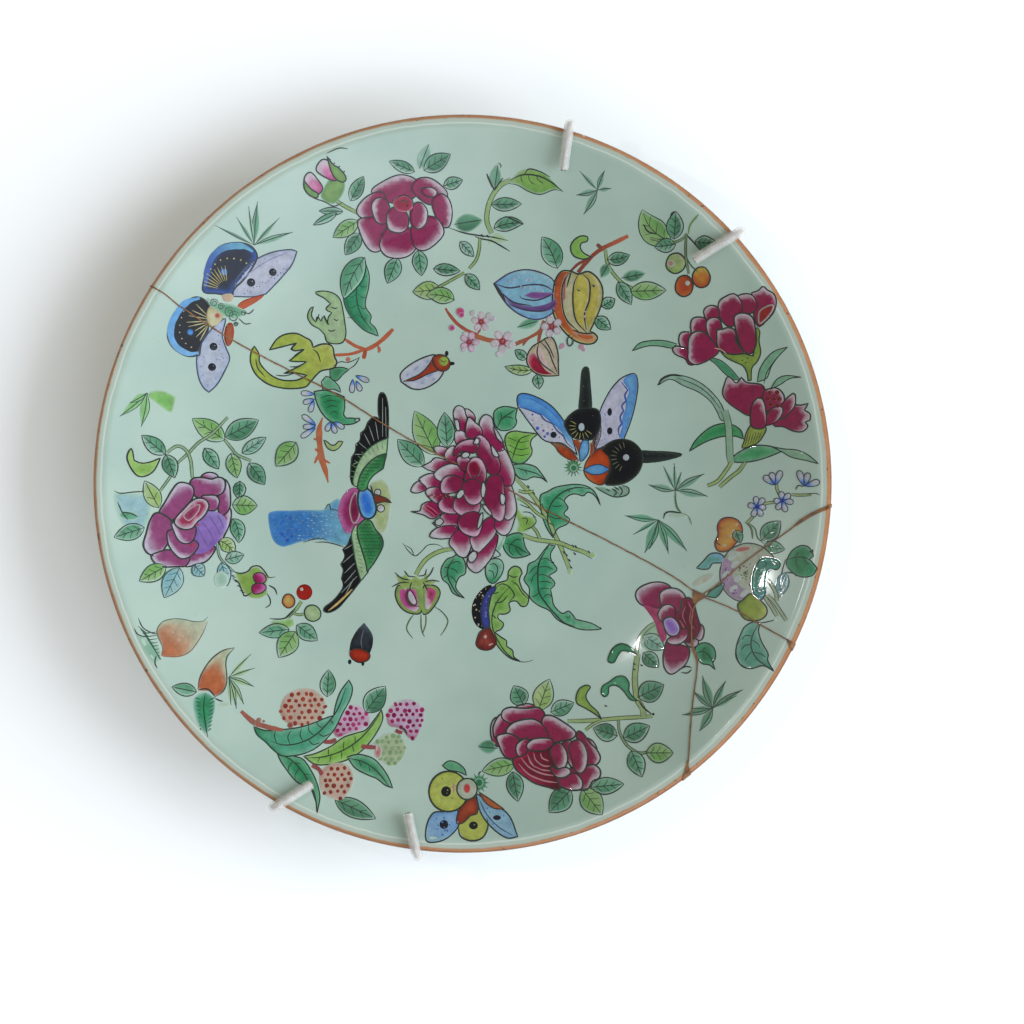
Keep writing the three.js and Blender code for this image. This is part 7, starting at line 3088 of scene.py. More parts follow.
    def leaves_by_the_peony(self, brush: Painting) -> None:
        """The leaves and branches round the peony, and the lace-edged caterpillar below it.

        Args:
            brush: The painting that takes the strokes.
        """
        brush.leaf((-9.3, 9.8), (-16.4, 24.6), 8.4, LeafTone.SPRING)
        brush.leaf((-5.4, 12.4), (-6.3, 24.2), 6, LeafTone.MIDDLE)
        brush.leaf((-13.4, 6), (-22.2, 15), 6.6, LeafTone.MIDDLE)
        brush.shape(
            "10.3,21.6 10.4,24.4 12.5,25.9 15,26.1 18.2,25.4! 17.6,22.6 18,20.8 16.4,18.6 13,18 11,19.4",
            wash("#3f8f63", "#6fb08a", soft=0.2), 0.4
        )
        brush.line("11.4,18.8 13,22 17.8,25.2", 0.36)
        brush.line("13,22 12.6,24.4", 0.3)
        brush.line("13.4,22.4 15.6,22.6 17,21.8", 0.3)
        brush.shape(
            "14,14.6 14.8,17 17.4,17.9 20,17.5 25.2,16.9! 23.2,15.3 22.6,13.4 23.2,11.4 22.6,9.4 20,7 "
            "16.6,7.4 15,11",
            wash("#78b04c", "#9cc872", "#4f9a62", -80, 0.6, soft=0.2), 0.42
        )
        brush.line("16.4,8 17.6,12 19.4,15.4 23.6,16.8", 0.4)
        for y in (14.4, 12, 10):
            brush.line(np.array([(17 + (y - 10) * 0.3, y), (19.6, y - 0.4), (22.2, y + 0.2)]), 0.3)
            brush.line(np.array([(17 + (y - 10) * 0.25, y), (15.8, y + 1), (15, y + 1.2)]), 0.28)
        brush.shape(
            "16.6,6 19,6.8 22,6.6 24.6,5.6 26.4,3.4 28.3,0.6! 26.4,2 23.4,2.4 21,1.4 18.2,2.6",
            wash("#5fa07e", "#86bb9a", soft=0.2), 0.42
        )
        brush.line("17,5.6 21,4.6 25,3.4 27.6,1.4", 0.36)
        brush.line("20.6,4.8 21.6,3.2", 0.28)
        brush.restart()
        brush.stem(
            "17.4,2.2 20.4,-0.8 23.4,-4 26,-7.6 28.6,-12 31,-17.4 33,-21.6 34.6,-25.6 35.8,-28.6", 1.3,
            "#97b058"
        )
        brush.stem("18.6,-2.2 21,-2.8 23.8,-2.4", 0.9, "#97b058")
        brush.stem("18.4,-4.6 21.6,-6.6 24.4,-9.4 27.6,-11.6", 0.9, "#97b058")
        brush.stem("20,-17.2 24,-18.6 28,-19.2 32.6,-19.9 36.8,-21.6 40.4,-22.8 43.6,-24.6", 1.3, "#97b058")
        brush.stem("23.4,-14.4 24.8,-16.2 25.8,-18.4", 0.9, "#97b058")
        brush.dot(35.9, -29.4, 1.8, "#a9c46a", tall=2.6, soft=0.8)
        brush.dot(43.6, -24, 2.6, "#a9c46a", tall=2.2, soft=1.0)
        for x, y in (
            (36.6, -20.4), (37.6, -20.6), (37.2, -23), (34.4, -23.4), (35.4, -25.2), (21.6, -0.4),
            (23.4, -2.6), (42, -22.4), (36, -27.6), (33.6, -22.6)
        ):
            brush.line(np.array([(x, y), (x + 0.7, y - 0.9)]), 0.5)
        brush.restart()
        brush.shape(
            "26,-7 26,-3.8 28.4,-2.5 31,-1.1 35,-0.3 38,-0.1 41,-0.5 43.6,-2 45.2,-4.4 46.2,-7.2! "
            "44.4,-4 42,-2.7 40.4,-4 38.4,-3.4 36,-3.6 34,-5.6 35.3,-8 33.8,-10 35.8,-11.8 34.8,-13.6 "
            "31.8,-15 30.2,-18! 28,-14.6 26.6,-10.8",
            wash("#3c9468", "#6fb08a", "#78b494", 100, 0.5, soft=0.2), 0.42
        )
        brush.line("43,-1.6 38,-1.2 33.4,-2.8 30,-6 28.5,-9.8 28.6,-13.4 30.1,-17.6", 0.44)
        for text in (
            "29.8,-7.2 31.6,-7.6 33.4,-7", "28.6,-10.4 31,-11.6 33,-11.6", "31.4,-4.6 33,-5 34,-6",
            "28.8,-13 30.6,-14", "28.4,-9.6 27,-8.4 26.6,-6.6", "35,-1.6 36,-2.8"
        ):
            brush.line(text, 0.3)
        brush.restart()
        brush.fill(
            "18.4,-13.4 17.8,-16 20,-16.6 23.4,-15 24.7,-12.6 23.4,-10.9 20.2,-10.2 18.4,-7.6 17.4,-10",
            wash("#83ab52", "#9bbf6c", soft=0.6)
        )
        for text in (
            "20.6,-15.4 23.2,-14.4 24.6,-12.4 23.4,-10.8", "19.6,-11.6 21.6,-11.6 21.2,-13.6",
            "19,-6.8 22,-8 23.6,-8.2", "20,-9.4 22.4,-9.6 24.6,-11.4"
        ):
            brush.line(text, 0.36)
        brush.shape(
            "13.4,-18.6 15,-17.4 17.6,-16.5 19.8,-16.8 20.4,-19.2 21,-21.4 22.6,-23.7! 20,-24.6 "
            "16.6,-24.8 14.4,-23 13.4,-20.8",
            wash("#2f7f54", "#5fa580", soft=0.3), 0.42
        )
        for text in (
            "14,-20 17,-20.6 20.4,-22.6 22.4,-23.7", "15.4,-20.4 15.6,-22.8 17,-24",
            "17.4,-21 18.6,-23.2 20,-24.2", "16,-20.2 17.6,-18.8 19.6,-18.6"
        ):
            brush.line(text, 0.34)
        brush.fill("11.2,-21.4 13,-18.6 14.6,-17 13.2,-21.4 11,-24.6", wash("#6fae86", "#8fc0a0", soft=0.7))
        brush.shape(
            "10.4,-24.8! 8.8,-23 8.4,-21.6 9.4,-21 11.4,-22.6 12.6,-24", wash("#e4e8e6", "#c6dccf"), 0.36
        )
        brush.shape(
            "8,-26.6 9.8,-25.2 12.4,-25.4 13.6,-27.6 12.8,-30.6 10.4,-33.4 8.4,-32.6 7.4,-29.6",
            wash("#6fae8c", "#a3ccb4", "#3c8f63", -90, 0.4, soft=0.2), 0.38
        )
        brush.line("8.8,-27.2 10.4,-26.8 11.6,-28.4 11,-31 9.4,-32.6", 0.34)
        brush.line("8.4,-29 10,-29.6 10.2,-31.6", 0.3)
        brush.restart()
        brush.shape(
            "28.8,-20.4! 27,-22.6 24.6,-25.6 22,-27 21.4,-30 20.4,-32.2 22.2,-35 22.4,-38.2 25.2,-40.8 "
            "29,-42.6 31.4,-45.4 35,-47.4 40,-49 45,-49 46.3,-48.6! 43,-46.8 38,-45.6! 35.6,-42.8 "
            "33.4,-43.6 30.6,-41 29.9,-38 29.4,-35.4! 30.9,-33.4 28.8,-30.8! 31.6,-28.8 29.8,-26 "
            "29.4,-23.4 31,-20.8!",
            wash("#3c9468", "#74b48e", "#8fbfa0", -70, 0.62, soft=0.2), 0.4
        )
        brush.line(
            "28.9,-20.6 27,-23.6 25.4,-27 25.1,-32 25.6,-36.6 28,-40.4 30.6,-43.4 33.6,-46.4 37.6,-48",
            0.5
        )
        for text in (
            "25.2,-28 28,-27.8 30.4,-28.8", "25.2,-30.6 27.4,-30.6 29.4,-31.8",
            "25.2,-33 28,-32.8 29.8,-33.4", "25.6,-35.4 27.4,-35 29,-35.4",
            "26.8,-38.4 28.4,-37 29.8,-38", "26,-25.4 28,-25 29.4,-26",
            "25.2,-29.4 23.4,-31.4 22.8,-33.6", "25.4,-27.4 23.6,-28.4 22,-30.4",
            "25.8,-36.4 24,-37.8 23,-38", "34.4,-44.6 35.6,-45 36,-44"
        ):
            brush.line(text, 0.3)
        brush.dot(46.2, -48.6, 0.9, brush.ink)
        brush.dot(30, -26.4, 1.6, brush.ink, tall=0.7)
        brush.restart()
        brush.shape(
            "10.6,-34.4 12,-33.2 14.8,-32.2 15.2,-29.4 17,-27.7 19,-28.2 19.8,-30! 19,-31.6 19,-33 "
            "20,-35.6 22,-38 21.4,-40.8 19.6,-41.2 17.8,-39.4 15.4,-40 15.8,-42.6 14,-43.8 11.8,-43.8 "
            "11.8,-45.4 13.6,-47 12.6,-49 10.7,-49.8 12.8,-51.6 14.6,-52.8 14.6,-54.6 16.6,-56 17,-58.2 "
            "19.4,-59.8! 15.8,-58.6 12.8,-56 10.4,-52.6 9,-48.4 8.4,-43.6 9.2,-38.6",
            wash("#7cab50", "#9cc474", soft=0.2), 0.45
        )
        for text in (
            "15.8,-34.6 13.4,-37 11.2,-40 9.8,-44 9.8,-48 11.6,-52.6 14.6,-57 18.6,-59.6 21.6,-59.8 "
            "23.4,-59.2",
            "11,-34.8 13,-33.6 15.4,-34.6 17.2,-37.4 15.6,-39.4",
            "16.2,-32.6 18.2,-34 19.8,-36.6 21.8,-38.6", "15.2,-30.6 17,-31.4 18.4,-31",
            "10.4,-40 13,-39.6 15,-37.4", "9.8,-44 11.2,-45.4", "10,-37 12,-36.4"
        ):
            brush.line(text, 0.4)
        brush.restart()
        lace = (
            "9.8,-34 7.4,-34.4 5,-36.6 3.2,-39.6 2.7,-43 3.6,-46.6 5.8,-48.8 7.8,-48.4 7,-44 7.2,-40 "
            "8.4,-37"
        )
        brush.fill(lace, wash("#14161a"))
        brush.raise_over()
        self.specks(brush, lace, 26, 0.75, ("#e3dcc0", "#d9c68a", "#cfd6c8"))
        brush.shape(
            "10.8,-34.4 8.8,-35.4 7,-38 6,-41.4 6,-45 7,-48.4 8.8,-48.2 8.6,-44 8.4,-40.6 9.4,-37.6 "
            "10.9,-35.6",
            wash("#4c5aa8", "#2a3074"), 0.4, "#14162c"
        )
        self.specks(
            brush, "10,-35.2 8,-38 7,-42 7.4,-47.4 8,-44 8.2,-40", 34, 0.5,
            ("#d8d27a", "#cdd4ee", "#1c2048")
        )
        brush.shape(
            "8.8,-48.6 5.8,-49.6 4.6,-52.2 4.4,-54.4 6.4,-55.8 9.4,-55.6 11.2,-53.4 10.2,-50.8",
            wash("#8a3a30", "#5e1f1c"), 0.45, "#3a1614"
        )
        brush.dot(7.4, -51.4, 1.4, "#c9a89a", tall=1.8, turn=-30, soft=0.2)
        brush.dot(9.2, -54, 2.4, "#cdb5a4", tall=0.9, turn=25, soft=0.2)
        for text in ("5.6,-50.6 7,-52.6 6.6,-55", "8,-49.4 9,-51.4 8.6,-53"):
            brush.line(text, 0.3, "#4a1a18")

    def bamboo_sprays(self, brush: Painting) -> None:
        """The bamboo sprays at the top, the right and the lower right.

        Args:
            brush: The painting that takes the strokes.
        """
        sprays = (
            (
                (44.9, 97.8),
                (
                    (38.9, 104, 1.8), (47.2, 104, 2.0), (37.8, 96.3, 2.0), (40.3, 90, 2.4),
                    (49.5, 98.2, 1.8)
                ), "#6f9f84"
            ),
            (
                (65.6, -12),
                (
                    (54.4, -10.6, 2.4), (57.2, -17, 1.8), (61, -23.2, 3.4), (62.6, -22, 2.6),
                    (69, -23.4, 2.4), (75.2, -22.6, 2.8)
                ), "#4f9a72"
            ),
            (
                (71.4, -2.2),
                (
                    (67.4, 6, 1.6), (71, 7, 1.6), (73.4, 4, 1.8), (81, 3.4, 2.6), (82.2, -4.2, 2.6),
                    (62.4, -0.2, 2.4)
                ), "#6f9f84"
            ),
            (
                (83.2, -74.6),
                (
                    (80, -64, 3.0), (76.8, -69, 2.2), (87.6, -65.6, 2.2), (93, -68.4, 2.2),
                    (73, -77, 2.2), (76, -74.8, 1.6), (78.6, -82.2, 2.8), (91, -70.4, 1.8)
                ), "#4f8a66"
            ),
        )
        for root, tips, colour in sprays:
            for x, y, width in tips:
                self.blade(brush, root, (x, y), width, colour)
        brush.line("71.4,-2.4 71.4,-5.4 72,-8 73.4,-9.8", 0.6, "#4a6f3c")
        brush.line("67.4,-11.6 68,-9.8 70,-9.3 73.4,-9.8", 0.5)
        brush.line("73.4,-9.8 75.6,-10.8 76.8,-13.6", 0.34, "#6f8f5c")
        brush.dot(72.6, -10.6, 7, "#a9c48a", tall=1.8, soft=0.9, cover=0.5)

    def small_blue_flowers(self, brush: Painting) -> None:
        """The little blue and white flowers at the right rim.

        Args:
            brush: The painting that takes the strokes.
        """
        brush.stem("104.6,0 104.8,-2 106,-4.6", 0.8, "#a3b46c")
        brush.stem("115.8,-3.6 112,-3.8 109.4,-3.6", 0.8, "#a3b46c")
        brush.stem("104,-6.2 101.8,-6.4 99.8,-7", 0.8, "#a3b46c")
        brush.stem("97.6,-10.2 96.2,-11.8 94.6,-13.4", 0.8, "#a3b46c")
        brush.line("94.8,-13 96.4,-15 96.8,-18.4", 0.6, "#4a5f34")
        brush.line("95.4,-13 97.6,-15 98.4,-18 100.6,-20", 0.5, "#4a5f34")
        brush.line("114.4,-3.6 117,-3.2 118.4,-3.8", 0.3)
        for heart, tips in (
            (
                (98.2, -7.6),
                ((97.8, -4.2), (100.6, -4.8), (101.2, -8), (99.8, -10.8), (96.8, -11), (95.2, -7))
            ),
            (
                (106.4, -5.6),
                ((106, -2.6), (109, -3.4), (110, -6.2), (107.6, -9.4), (104.6, -8.6), (103.6, -5.8))
            )
        ):
            for tip in tips:
                self.small_petal(brush, heart, tip, 2.1)
            brush.dot(heart[0], heart[1], 1.9, "#24308f", soft=0.2)
        for root, tip in (
            ((103.9, -0.4), (100.4, 2.6)), ((104, -0.2), (102.8, 3.8)), ((104.2, -0.4), (106, 4.4)),
            ((113.4, -0.8), (111.6, 4.4)), ((113.6, -0.6), (114.8, 3.6)), ((113.8, -0.8), (118.4, 0.8))
        ):
            self.small_petal(brush, root, tip, 2.3)
        brush.line("113.2,-1 111.4,-0.6 110.8,-2", 0.4)

    def right_fruits(self, brush: Painting) -> None:
        """The fruits and leaves by the right rim, which the cracks run through.

        Args:
            brush: The painting that takes the strokes.
        """
        brush.shape(
            "86.2,-12.2 88,-11.3 90.4,-11.4 92.6,-12.8 93.5,-15.6 92.6,-18.2 91,-20.2 89.6,-21.8 "
            "87.4,-22.7 85.2,-22.2 84.4,-19.8 85.5,-17 85.2,-14.4",
            wash("#c9984a", "#b8672f", "#a3342a", 150, 0.55), 0.5, "#4a2018"
        )
        for x, y in ((91.6, -13.6), (89.6, -17.4), (87.6, -20.6), (90.6, -15.6)):
            brush.dot(x, y, 1.3, "#a5502c", soft=0.5, cover=0.7)
        brush.line("85.4,-17 84.9,-19.4 86.4,-20.6", 0.4)
        brush.leaf((91.2, -15.4), (92.8, -19.8), 3.4, LeafTone.DEEP, veins=1)
        brush.leaf((99.6, -18.8), (105.9, -12.4), 5.8, LeafTone.DEEP)
        brush.leaf((100.4, -20.6), (107.2, -21.8), 4.2, LeafTone.MIDDLE, veins=2)
        brush.dot(80.6, -32.2, 8, "#cbb79c", tall=3.0, turn=28, soft=1.4, cover=0.8)
        brush.restart()
        brush.shape(
            "87.6,-24.4 89.4,-22 92.4,-20.4 95.6,-19.8 99.4,-20.7 102.4,-23 104,-26 101.4,-30 99.4,-34 "
            "98.6,-37 95,-38.8 91.6,-39 88.4,-36.8 86.4,-33.6 86,-29.6 86.6,-27",
            wash("#c3cab4", "#a9b89c"), 0.46, "#3a2a3a"
        )
        brush.fill(
            "87,-24.8 89.6,-25 91,-27.6 90.6,-31 92.6,-33.6 95,-35.6 96.6,-38.2 93.6,-39 90.4,-38.4 "
            "87.4,-35.6 86.1,-31.6 86.3,-28",
            wash("#a57aa0", "#8a5a8a", soft=0.5, cover=0.8)
        )
        for x, y in ((91, -27), (92, -31.6), (90.4, -35), (93.8, -36.6), (88, -30.4), (90, -24.4)):
            brush.dot(x, y, 3.6, "#dcc6d2", tall=2.2, turn=40, soft=1.2, cover=0.7)
        brush.dot(93.6, -21.8, 6, "#b85a52", tall=2.4, turn=10, soft=0.9)
        brush.dot(90.6, -23.4, 4.4, "#cfd4cc", tall=2.2, soft=0.6)
        brush.raise_over()
        self.specks(
            brush, "92,-27.6 96,-26 98,-29 97.4,-34 94.6,-33.6 92.4,-31", 46, 0.8,
            ("#6f8a4c", "#4a3a5c", "#a9b878", "#d9dcc8")
        )
        self.specks(
            brush, "87.4,-28 89.6,-27 90,-31 91,-35 94,-37.6 90,-37.4 87.4,-33", 26, 0.7,
            ("#5a3468", "#b8a0c8")
        )
        brush.shape(
            "98.4,-26.4 99.6,-24.8 102,-24.6 105,-25.4 105.6,-27.2 104.4,-28.6 102.6,-28.4 101.4,-29.8 "
            "101,-33 100.6,-37 98.8,-38.9 97,-37 96.3,-33 97,-29",
            wash("#2f7a66", "#4f9a84", "#5fa8b0", -90, 0.5), 0.46
        )
        for i in range(7):
            y = -28.4 - i * 1.4
            brush.line(np.array([(97.2, y), (98.8, y - 0.5), (100.6, y + 0.2)]), 0.3)
        for text in ("100,-25.6 101.4,-26.6 100.4,-27.6", "102.6,-25.4 103.6,-26.8 105,-27"):
            brush.line(text, 0.36)
        brush.shape(
            "91.7,-40.4 93.6,-38.6 96,-36.6 98.6,-38.4 101,-41 101,-43.6 98.6,-45.4 95,-45.5 92.8,-43.8",
            wash("#93a83c", "#7a8f30", "#b9c46a", 0, 0.4), 0.45
        )
        brush.restart()
        # The small crescent leaf, green, with a painted pale blue reflection towards its upper side.
        brush.shape(
            "78.3,-28.2! 80.8,-25.6 83,-23.4 86,-23.3 87.8,-25 86.6,-26.4 83.6,-26.6 82.4,-28.4 80,-28.6",
            wash("#4f9a80", "#7fb8b4", "#86b4d6", 60, 0.5, soft=0.15), 0.42
        )
        brush.shape(
            "81.4,-37.6! 83,-35.6 85.6,-34 87.4,-33 86.6,-35.8 84.6,-38",
            wash("#6fa8a8", "#4f8a72", soft=0.2), 0.36
        )
        brush.restart()
        brush.shape(
            "107.6,-27 108.4,-24 110,-21.8 112.6,-20.5 115,-21.2 116.4,-24! 115,-25! 117.5,-28! "
            "116,-30.4 113,-31 110.2,-30",
            wash("#2f8052", "#57a078", soft=0.3), 0.42
        )
        brush.line("108,-25.2 111,-24.4 114.4,-24.8 117.2,-27.6", 0.42)
        for text in (
            "110.6,-24.4 110.8,-26.6 111.8,-28", "113,-24.6 114.4,-26.4 115.4,-26.8",
            "110.4,-24.2 111.6,-22.6"
        ):
            brush.line(text, 0.32)
        brush.leaf((107.4, -29.4), (104.8, -38), 4.2, LeafTone.BLUE)
        brush.line("116.2,-21.8 115.8,-22.6 115,-22.4", 0.7)
        brush.line("107.4,-25 106.4,-28.6 105.6,-32.6 105.8,-36", 0.42)
        brush.line("107.6,-29.4 110,-29.8 110.8,-30.8", 0.5)
        brush.stem("100,-36.8 101.4,-39 103,-41.4 104.4,-44", 1.1, "#a9b894")
        brush.stem("101.4,-37 104,-40 107.4,-45.4", 1.1, "#a9b894")
        brush.stem("100.8,-31.4 102.6,-33.4 104.2,-36.6 104.4,-39", 1.1, "#a9b894")
        brush.restart()
        brush.shape(
            "92.4,-50.6 94,-47.6 97,-45.9 99,-46.4! 98.4,-49 99.4,-52.6 101.4,-56.4 101.2,-58.6 "
            "103.2,-62.2! 99.8,-60.4 96,-61.4 93,-60.8 91,-57.8 91.2,-54",
            wash("#5fa48c", "#8fc4b0", "#3c8f72", -60, 0.5, soft=0.2), 0.42
        )
        brush.line("98.6,-46.4 96.4,-50.6 96,-54.6 98,-58.4 102.6,-61.6", 0.4)
        for text in (
            "96.2,-50.6 94,-50.6 93,-52", "96,-53.4 94,-53.8 92.6,-55.6", "96.4,-55.6 95,-57 93.8,-59",
            "96.2,-52 98,-53 98.8,-54.6", "96.6,-56 98.8,-56.4 100.6,-57.6",
            "92.6,-51.6 91,-55 92,-59.6 95,-61.4"
        ):
            brush.line(text, 0.32)
        brush.line("98.6,-46.4 101,-46 104,-45.2", 0.36)

    def right_rose(self, brush: Painting) -> None:
        """The dark rose beside the meeting of the cracks, and the leaves about it.

        Args:
            brush: The painting that takes the strokes.
        """
        brush.fill(
            "59.4,-53.6 62,-49 65,-46.6 67,-49.6 66,-54 63,-56.4",
            wash("#a9c8a0", "#7fae86", soft=0.9, cover=0.8)
        )
        brush.stem("58.4,-59 58.4,-54.6 60,-50.6 63,-47.6 66,-46.4", 1.3, "#8fb07c")
        brush.leaf((60.6, -51), (67.6, -55.4), 5.4, LeafTone.PALE)
        brush.leaf((60.4, -56.6), (65.6, -61.4), 5, LeafTone.DEEP)
        brush.shape(
            "77.4,-56.4 78.6,-53.8 81.4,-53.1 83.8,-54.8 84.3,-57.8 83.4,-59.8 84.2,-62! 82.2,-60.4 "
            "79.6,-59.8",
            wash("#2f7f54", "#5fa580", soft=0.2), 0.42
        )
        brush.line("77.8,-56.6 80.4,-56 82.6,-58 84,-61.4", 0.4)
        brush.line("80,-56 81,-54.4", 0.3)
        brush.line("80.4,-56.2 80.6,-58.4", 0.3)
        brush.restart()
        crimson, pale = "#802046", "#e0d0da"
        brush.flower(
            (71, -46),
            (
                "58,-38 58.4,-35.8 60.4,-34.2 64,-33 67.4,-33.2 69.8,-34.8 69.4,-38 67,-41.4 62.6,-41.4 "
                "59.6,-40.4",
                "68.4,-52.6 71,-53.8 73.6,-54 75.8,-55.4 75,-59.4 72.6,-62 69.6,-63.7 67.5,-61.8 67,-58 "
                "67.6,-55",
                "74,-51 76.4,-50.4 78.2,-51 78.7,-53.6 76.8,-54.8 74.4,-53.4",
                "77.4,-48.6 79,-46.8 80.5,-48 80.5,-50.6 79.4,-52.4 77.6,-51.4",
                "66,-37.4 67.4,-35.6 70,-34.9 72.6,-35.6 74.5,-37.6 74.5,-40.6 73.4,-43.6 70,-43.8 "
                "67,-41.8",
            ), crimson, pale, start=0.36, width=0.5
        )
        brush.fill(
            "60.4,-40.6 64,-41.4 66.6,-43 67,-47.6 68.4,-51 66.8,-53.2 65.2,-50 64,-46 62,-43",
            wash("#8e1740", "#a8456c")
        )
        brush.shape(
            "73.6,-38.8 76,-38.2 77.4,-40.4 78.4,-44 79.3,-47.6 78,-51 75,-53 71.6,-51.6 70.2,-48 "
            "70.6,-44.6 72.8,-42",
            wash("#5e0f26", "#7a1a3a"), 0.5
        )
        for text in (
            "74.6,-41 73.6,-44 74.6,-47", "76.4,-42 76,-46 77.4,-48.6", "72.6,-45.6 74,-48.4 73,-50.6",
            "75.4,-39.6 77,-43 76.4,-44.6"
        ):
            brush.line(text, 0.36, "#b0506c")
        brush.raise_over()
        brush.flower((71, -46), (
            "65.4,-43.6 67,-41 69.4,-40.5 71.2,-42 71,-44.8 69,-46.2 66.4,-46",
            "70,-51 72,-50.2 73,-48.6 75,-48.6 75.2,-51 73,-53.4 70,-53.8 68.2,-52.6",
        ), crimson, "#e0d2da", start=0.36, width=0.45)
        brush.shape(
            "67.2,-45.8 69.6,-44.6 71.6,-46 72.7,-48.4 71.8,-50.6 69.4,-50.9 67.8,-49",
            wash("#8a63b4", "#e0d4ea", reach=1.1), 0.5
        )
        brush.line("72.4,-62 74.6,-61 76.4,-61.4", 0.5)
        brush.line("73,-63 75,-63.2 76.4,-62", 0.4)

    def lower_rose(self, brush: Painting) -> None:
        """The crimson rose at the foot with its branch and leaves.

        Args:
            brush: The painting that takes the strokes.
        """
        brush.stem("35,-79.5 40,-79.4 46,-79 52,-78.4 58,-78 63.4,-77.5", 1.2, "#9bb45c")
        brush.stem("60.4,-77.8 60,-75 58.4,-72.4 57.8,-69 57.6,-65 58,-61 58.6,-57", 1.8, "#97ac5c")
        brush.line("58.8,-72.4 60.4,-74.8 63.2,-77", 0.6)
        brush.dot(63.6, -76.9, 1.0, brush.ink)
        for x, y in ((57, -60.2), (59.4, -60.6), (57, -62), (47.4, -74.2)):
            brush.line(np.array([(x, y), (x + 0.9, y - 0.4)]), 0.6)
        brush.stem("46,-79.4 43.6,-80.4 41,-82.4", 0.8, "#9bb45c")
        brush.stem("52,-79 52.4,-83 54.6,-87 58,-89.4 61,-89.4 64.6,-87", 0.8, "#6f8f5c")
        brush.shape(
            "46.4,-78.8! 44.4,-77.2 41,-75.2 38.2,-73.6 38,-71 39.2,-68.6 41.4,-67.5 42.8,-68.2 "
            "41.8,-69.6 41.2,-71.6 42.6,-74 44.8,-76 46,-78!",
            wash("#93b552", "#7f9f48"), 0.45
        )
        brush.shape(
            "58.6,-72.6! 56,-72.2 54,-69.6 51.4,-67.6 49,-68 48.7,-70.4 47.4,-71.4 46.3,-70 46.8,-67.8 "
            "49,-66.4 51.4,-64.7 54,-64.5 55.6,-66.6 55.6,-69.4 57,-71.4",
            wash("#5fa07a", "#3f8f63"), 0.42
        )
        brush.shape(
            "48.6,-59.6 49,-57.4 50.4,-55 53,-53.6 56,-54.6 58.4,-57.4! 55.6,-56.4 53.4,-56 52,-57.6 "
            "50.6,-60",
            wash("#4f9068", "#2f7a52"), 0.42
        )
        brush.leaf((58.6, -71.4), (67.2, -67.2), 7.0, LeafTone.DEEP)
        brush.leaf((51.6, -84.2), (43.6, -81.8), 5.8, LeafTone.DEEP)
        brush.leaf((53.6, -85), (62.4, -80.8), 6.2, LeafTone.DEEP)
        brush.leaf((56.2, -89), (59.6, -97.4), 5.8, LeafTone.MIDDLE)
        brush.leaf((61, -89.6), (70, -89.4), 6.4, LeafTone.SPRING)
        brush.restart()
        brush.leaf((20.4, -74.4), (17, -67.8), 6.2, LeafTone.DEEP)
        brush.leaf((25.2, -76), (29, -65.6), 6.8, LeafTone.YELLOW)
        brush.leaf((29.4, -76.6), (37.2, -73.4), 5.2, LeafTone.MIDDLE)
        brush.leaf((11.6, -88.6), (4.6, -88), 4.8, LeafTone.DEEP, lines=False, veins=0)
        brush.leaf((17.4, -93.6), (6.4, -96), 5.8, LeafTone.SPRING)
        brush.leaf((16.6, -96.2), (18.4, -105.8), 5.6, LeafTone.DEEP)
        brush.leaf((36, -101.8), (28.8, -109.2), 7.2, LeafTone.DEEP)
        brush.leaf((39.8, -101.6), (46.3, -109.8), 7.4, LeafTone.SPRING)
        brush.leaf((42.6, -101), (53.6, -99.8), 5.4, LeafTone.MIDDLE)
        brush.restart()
        deep, pale = "#882046", "#e2d4dc"
        brush.flower(
            (26, -92),
            (
                "17.6,-75 20,-74 22.6,-73.9 24.6,-75 22,-76 19.4,-76",
                "11,-78.4 9.5,-80.4 9.2,-83.4 10,-86.4 12,-88 13,-84 12.6,-80",
                "12.6,-77.4 11,-79.2 10,-82 10.6,-85 12.6,-84.8 15.4,-83.6 16,-80.6 14.6,-78.6",
                "12.8,-77.6 13.6,-75.8 16,-75 19,-75.3 22,-75.3 25,-75 27,-76.4 27.6,-78.6 26,-80.4 "
                "22.6,-80.6 19,-80.8 16,-80.4 13.6,-79.2",
                "41,-85 43.4,-86 44.8,-88.6 42.8,-88 41.4,-87",
                "38,-84 38.8,-82.7 40.4,-83.8 42.4,-86.6 44.6,-88.6 45.9,-91.4 44.6,-93.6 42,-93.8 "
                "40,-91 38.6,-87",
                "36,-94.6 38.6,-95.4 41,-94.4 43.6,-93.6 45.8,-95.4 45.4,-98 43.2,-99 41.6,-101.6 "
                "38.8,-101.8 36.4,-99.6",
                "31,-98.2 34,-97 37.6,-96.6 39.8,-99 39.4,-101.6 36,-102 33.4,-101.2 31.4,-100",
                "26.4,-79.6 27.4,-77.8 30,-77.8 33,-79.4 36,-81.4 37.8,-83.4 36.6,-85.2 33,-86 30,-86.6 "
                "27.6,-85 26.8,-81.8",
                "14.4,-82.8 16.4,-80.4 19.6,-79.2 23.4,-78.9 26,-80.2 27.8,-82.4 28.4,-85 24,-85.6 "
                "19.4,-85.6 16,-84.6",
                "11.2,-84.8 13,-83.9 15.4,-83.7 18.2,-85 19,-88 18.6,-91.2 16.4,-92 14,-91.2 12.2,-88",
            ), deep, pale, start=0.4, width=0.55
        )
        brush.shape(
            "16.8,-92 20,-90.8 20.8,-88.6 25,-88.8 29,-88.2 30,-91.4 31,-95 31.4,-98 32.4,-101.8 "
            "28.4,-101.1 24,-99.8 20.4,-97.6 17.6,-95.2",
            wash("#7a1230", "#9a2848", "#5a0d20", 20, 0.3), 0.5
        )
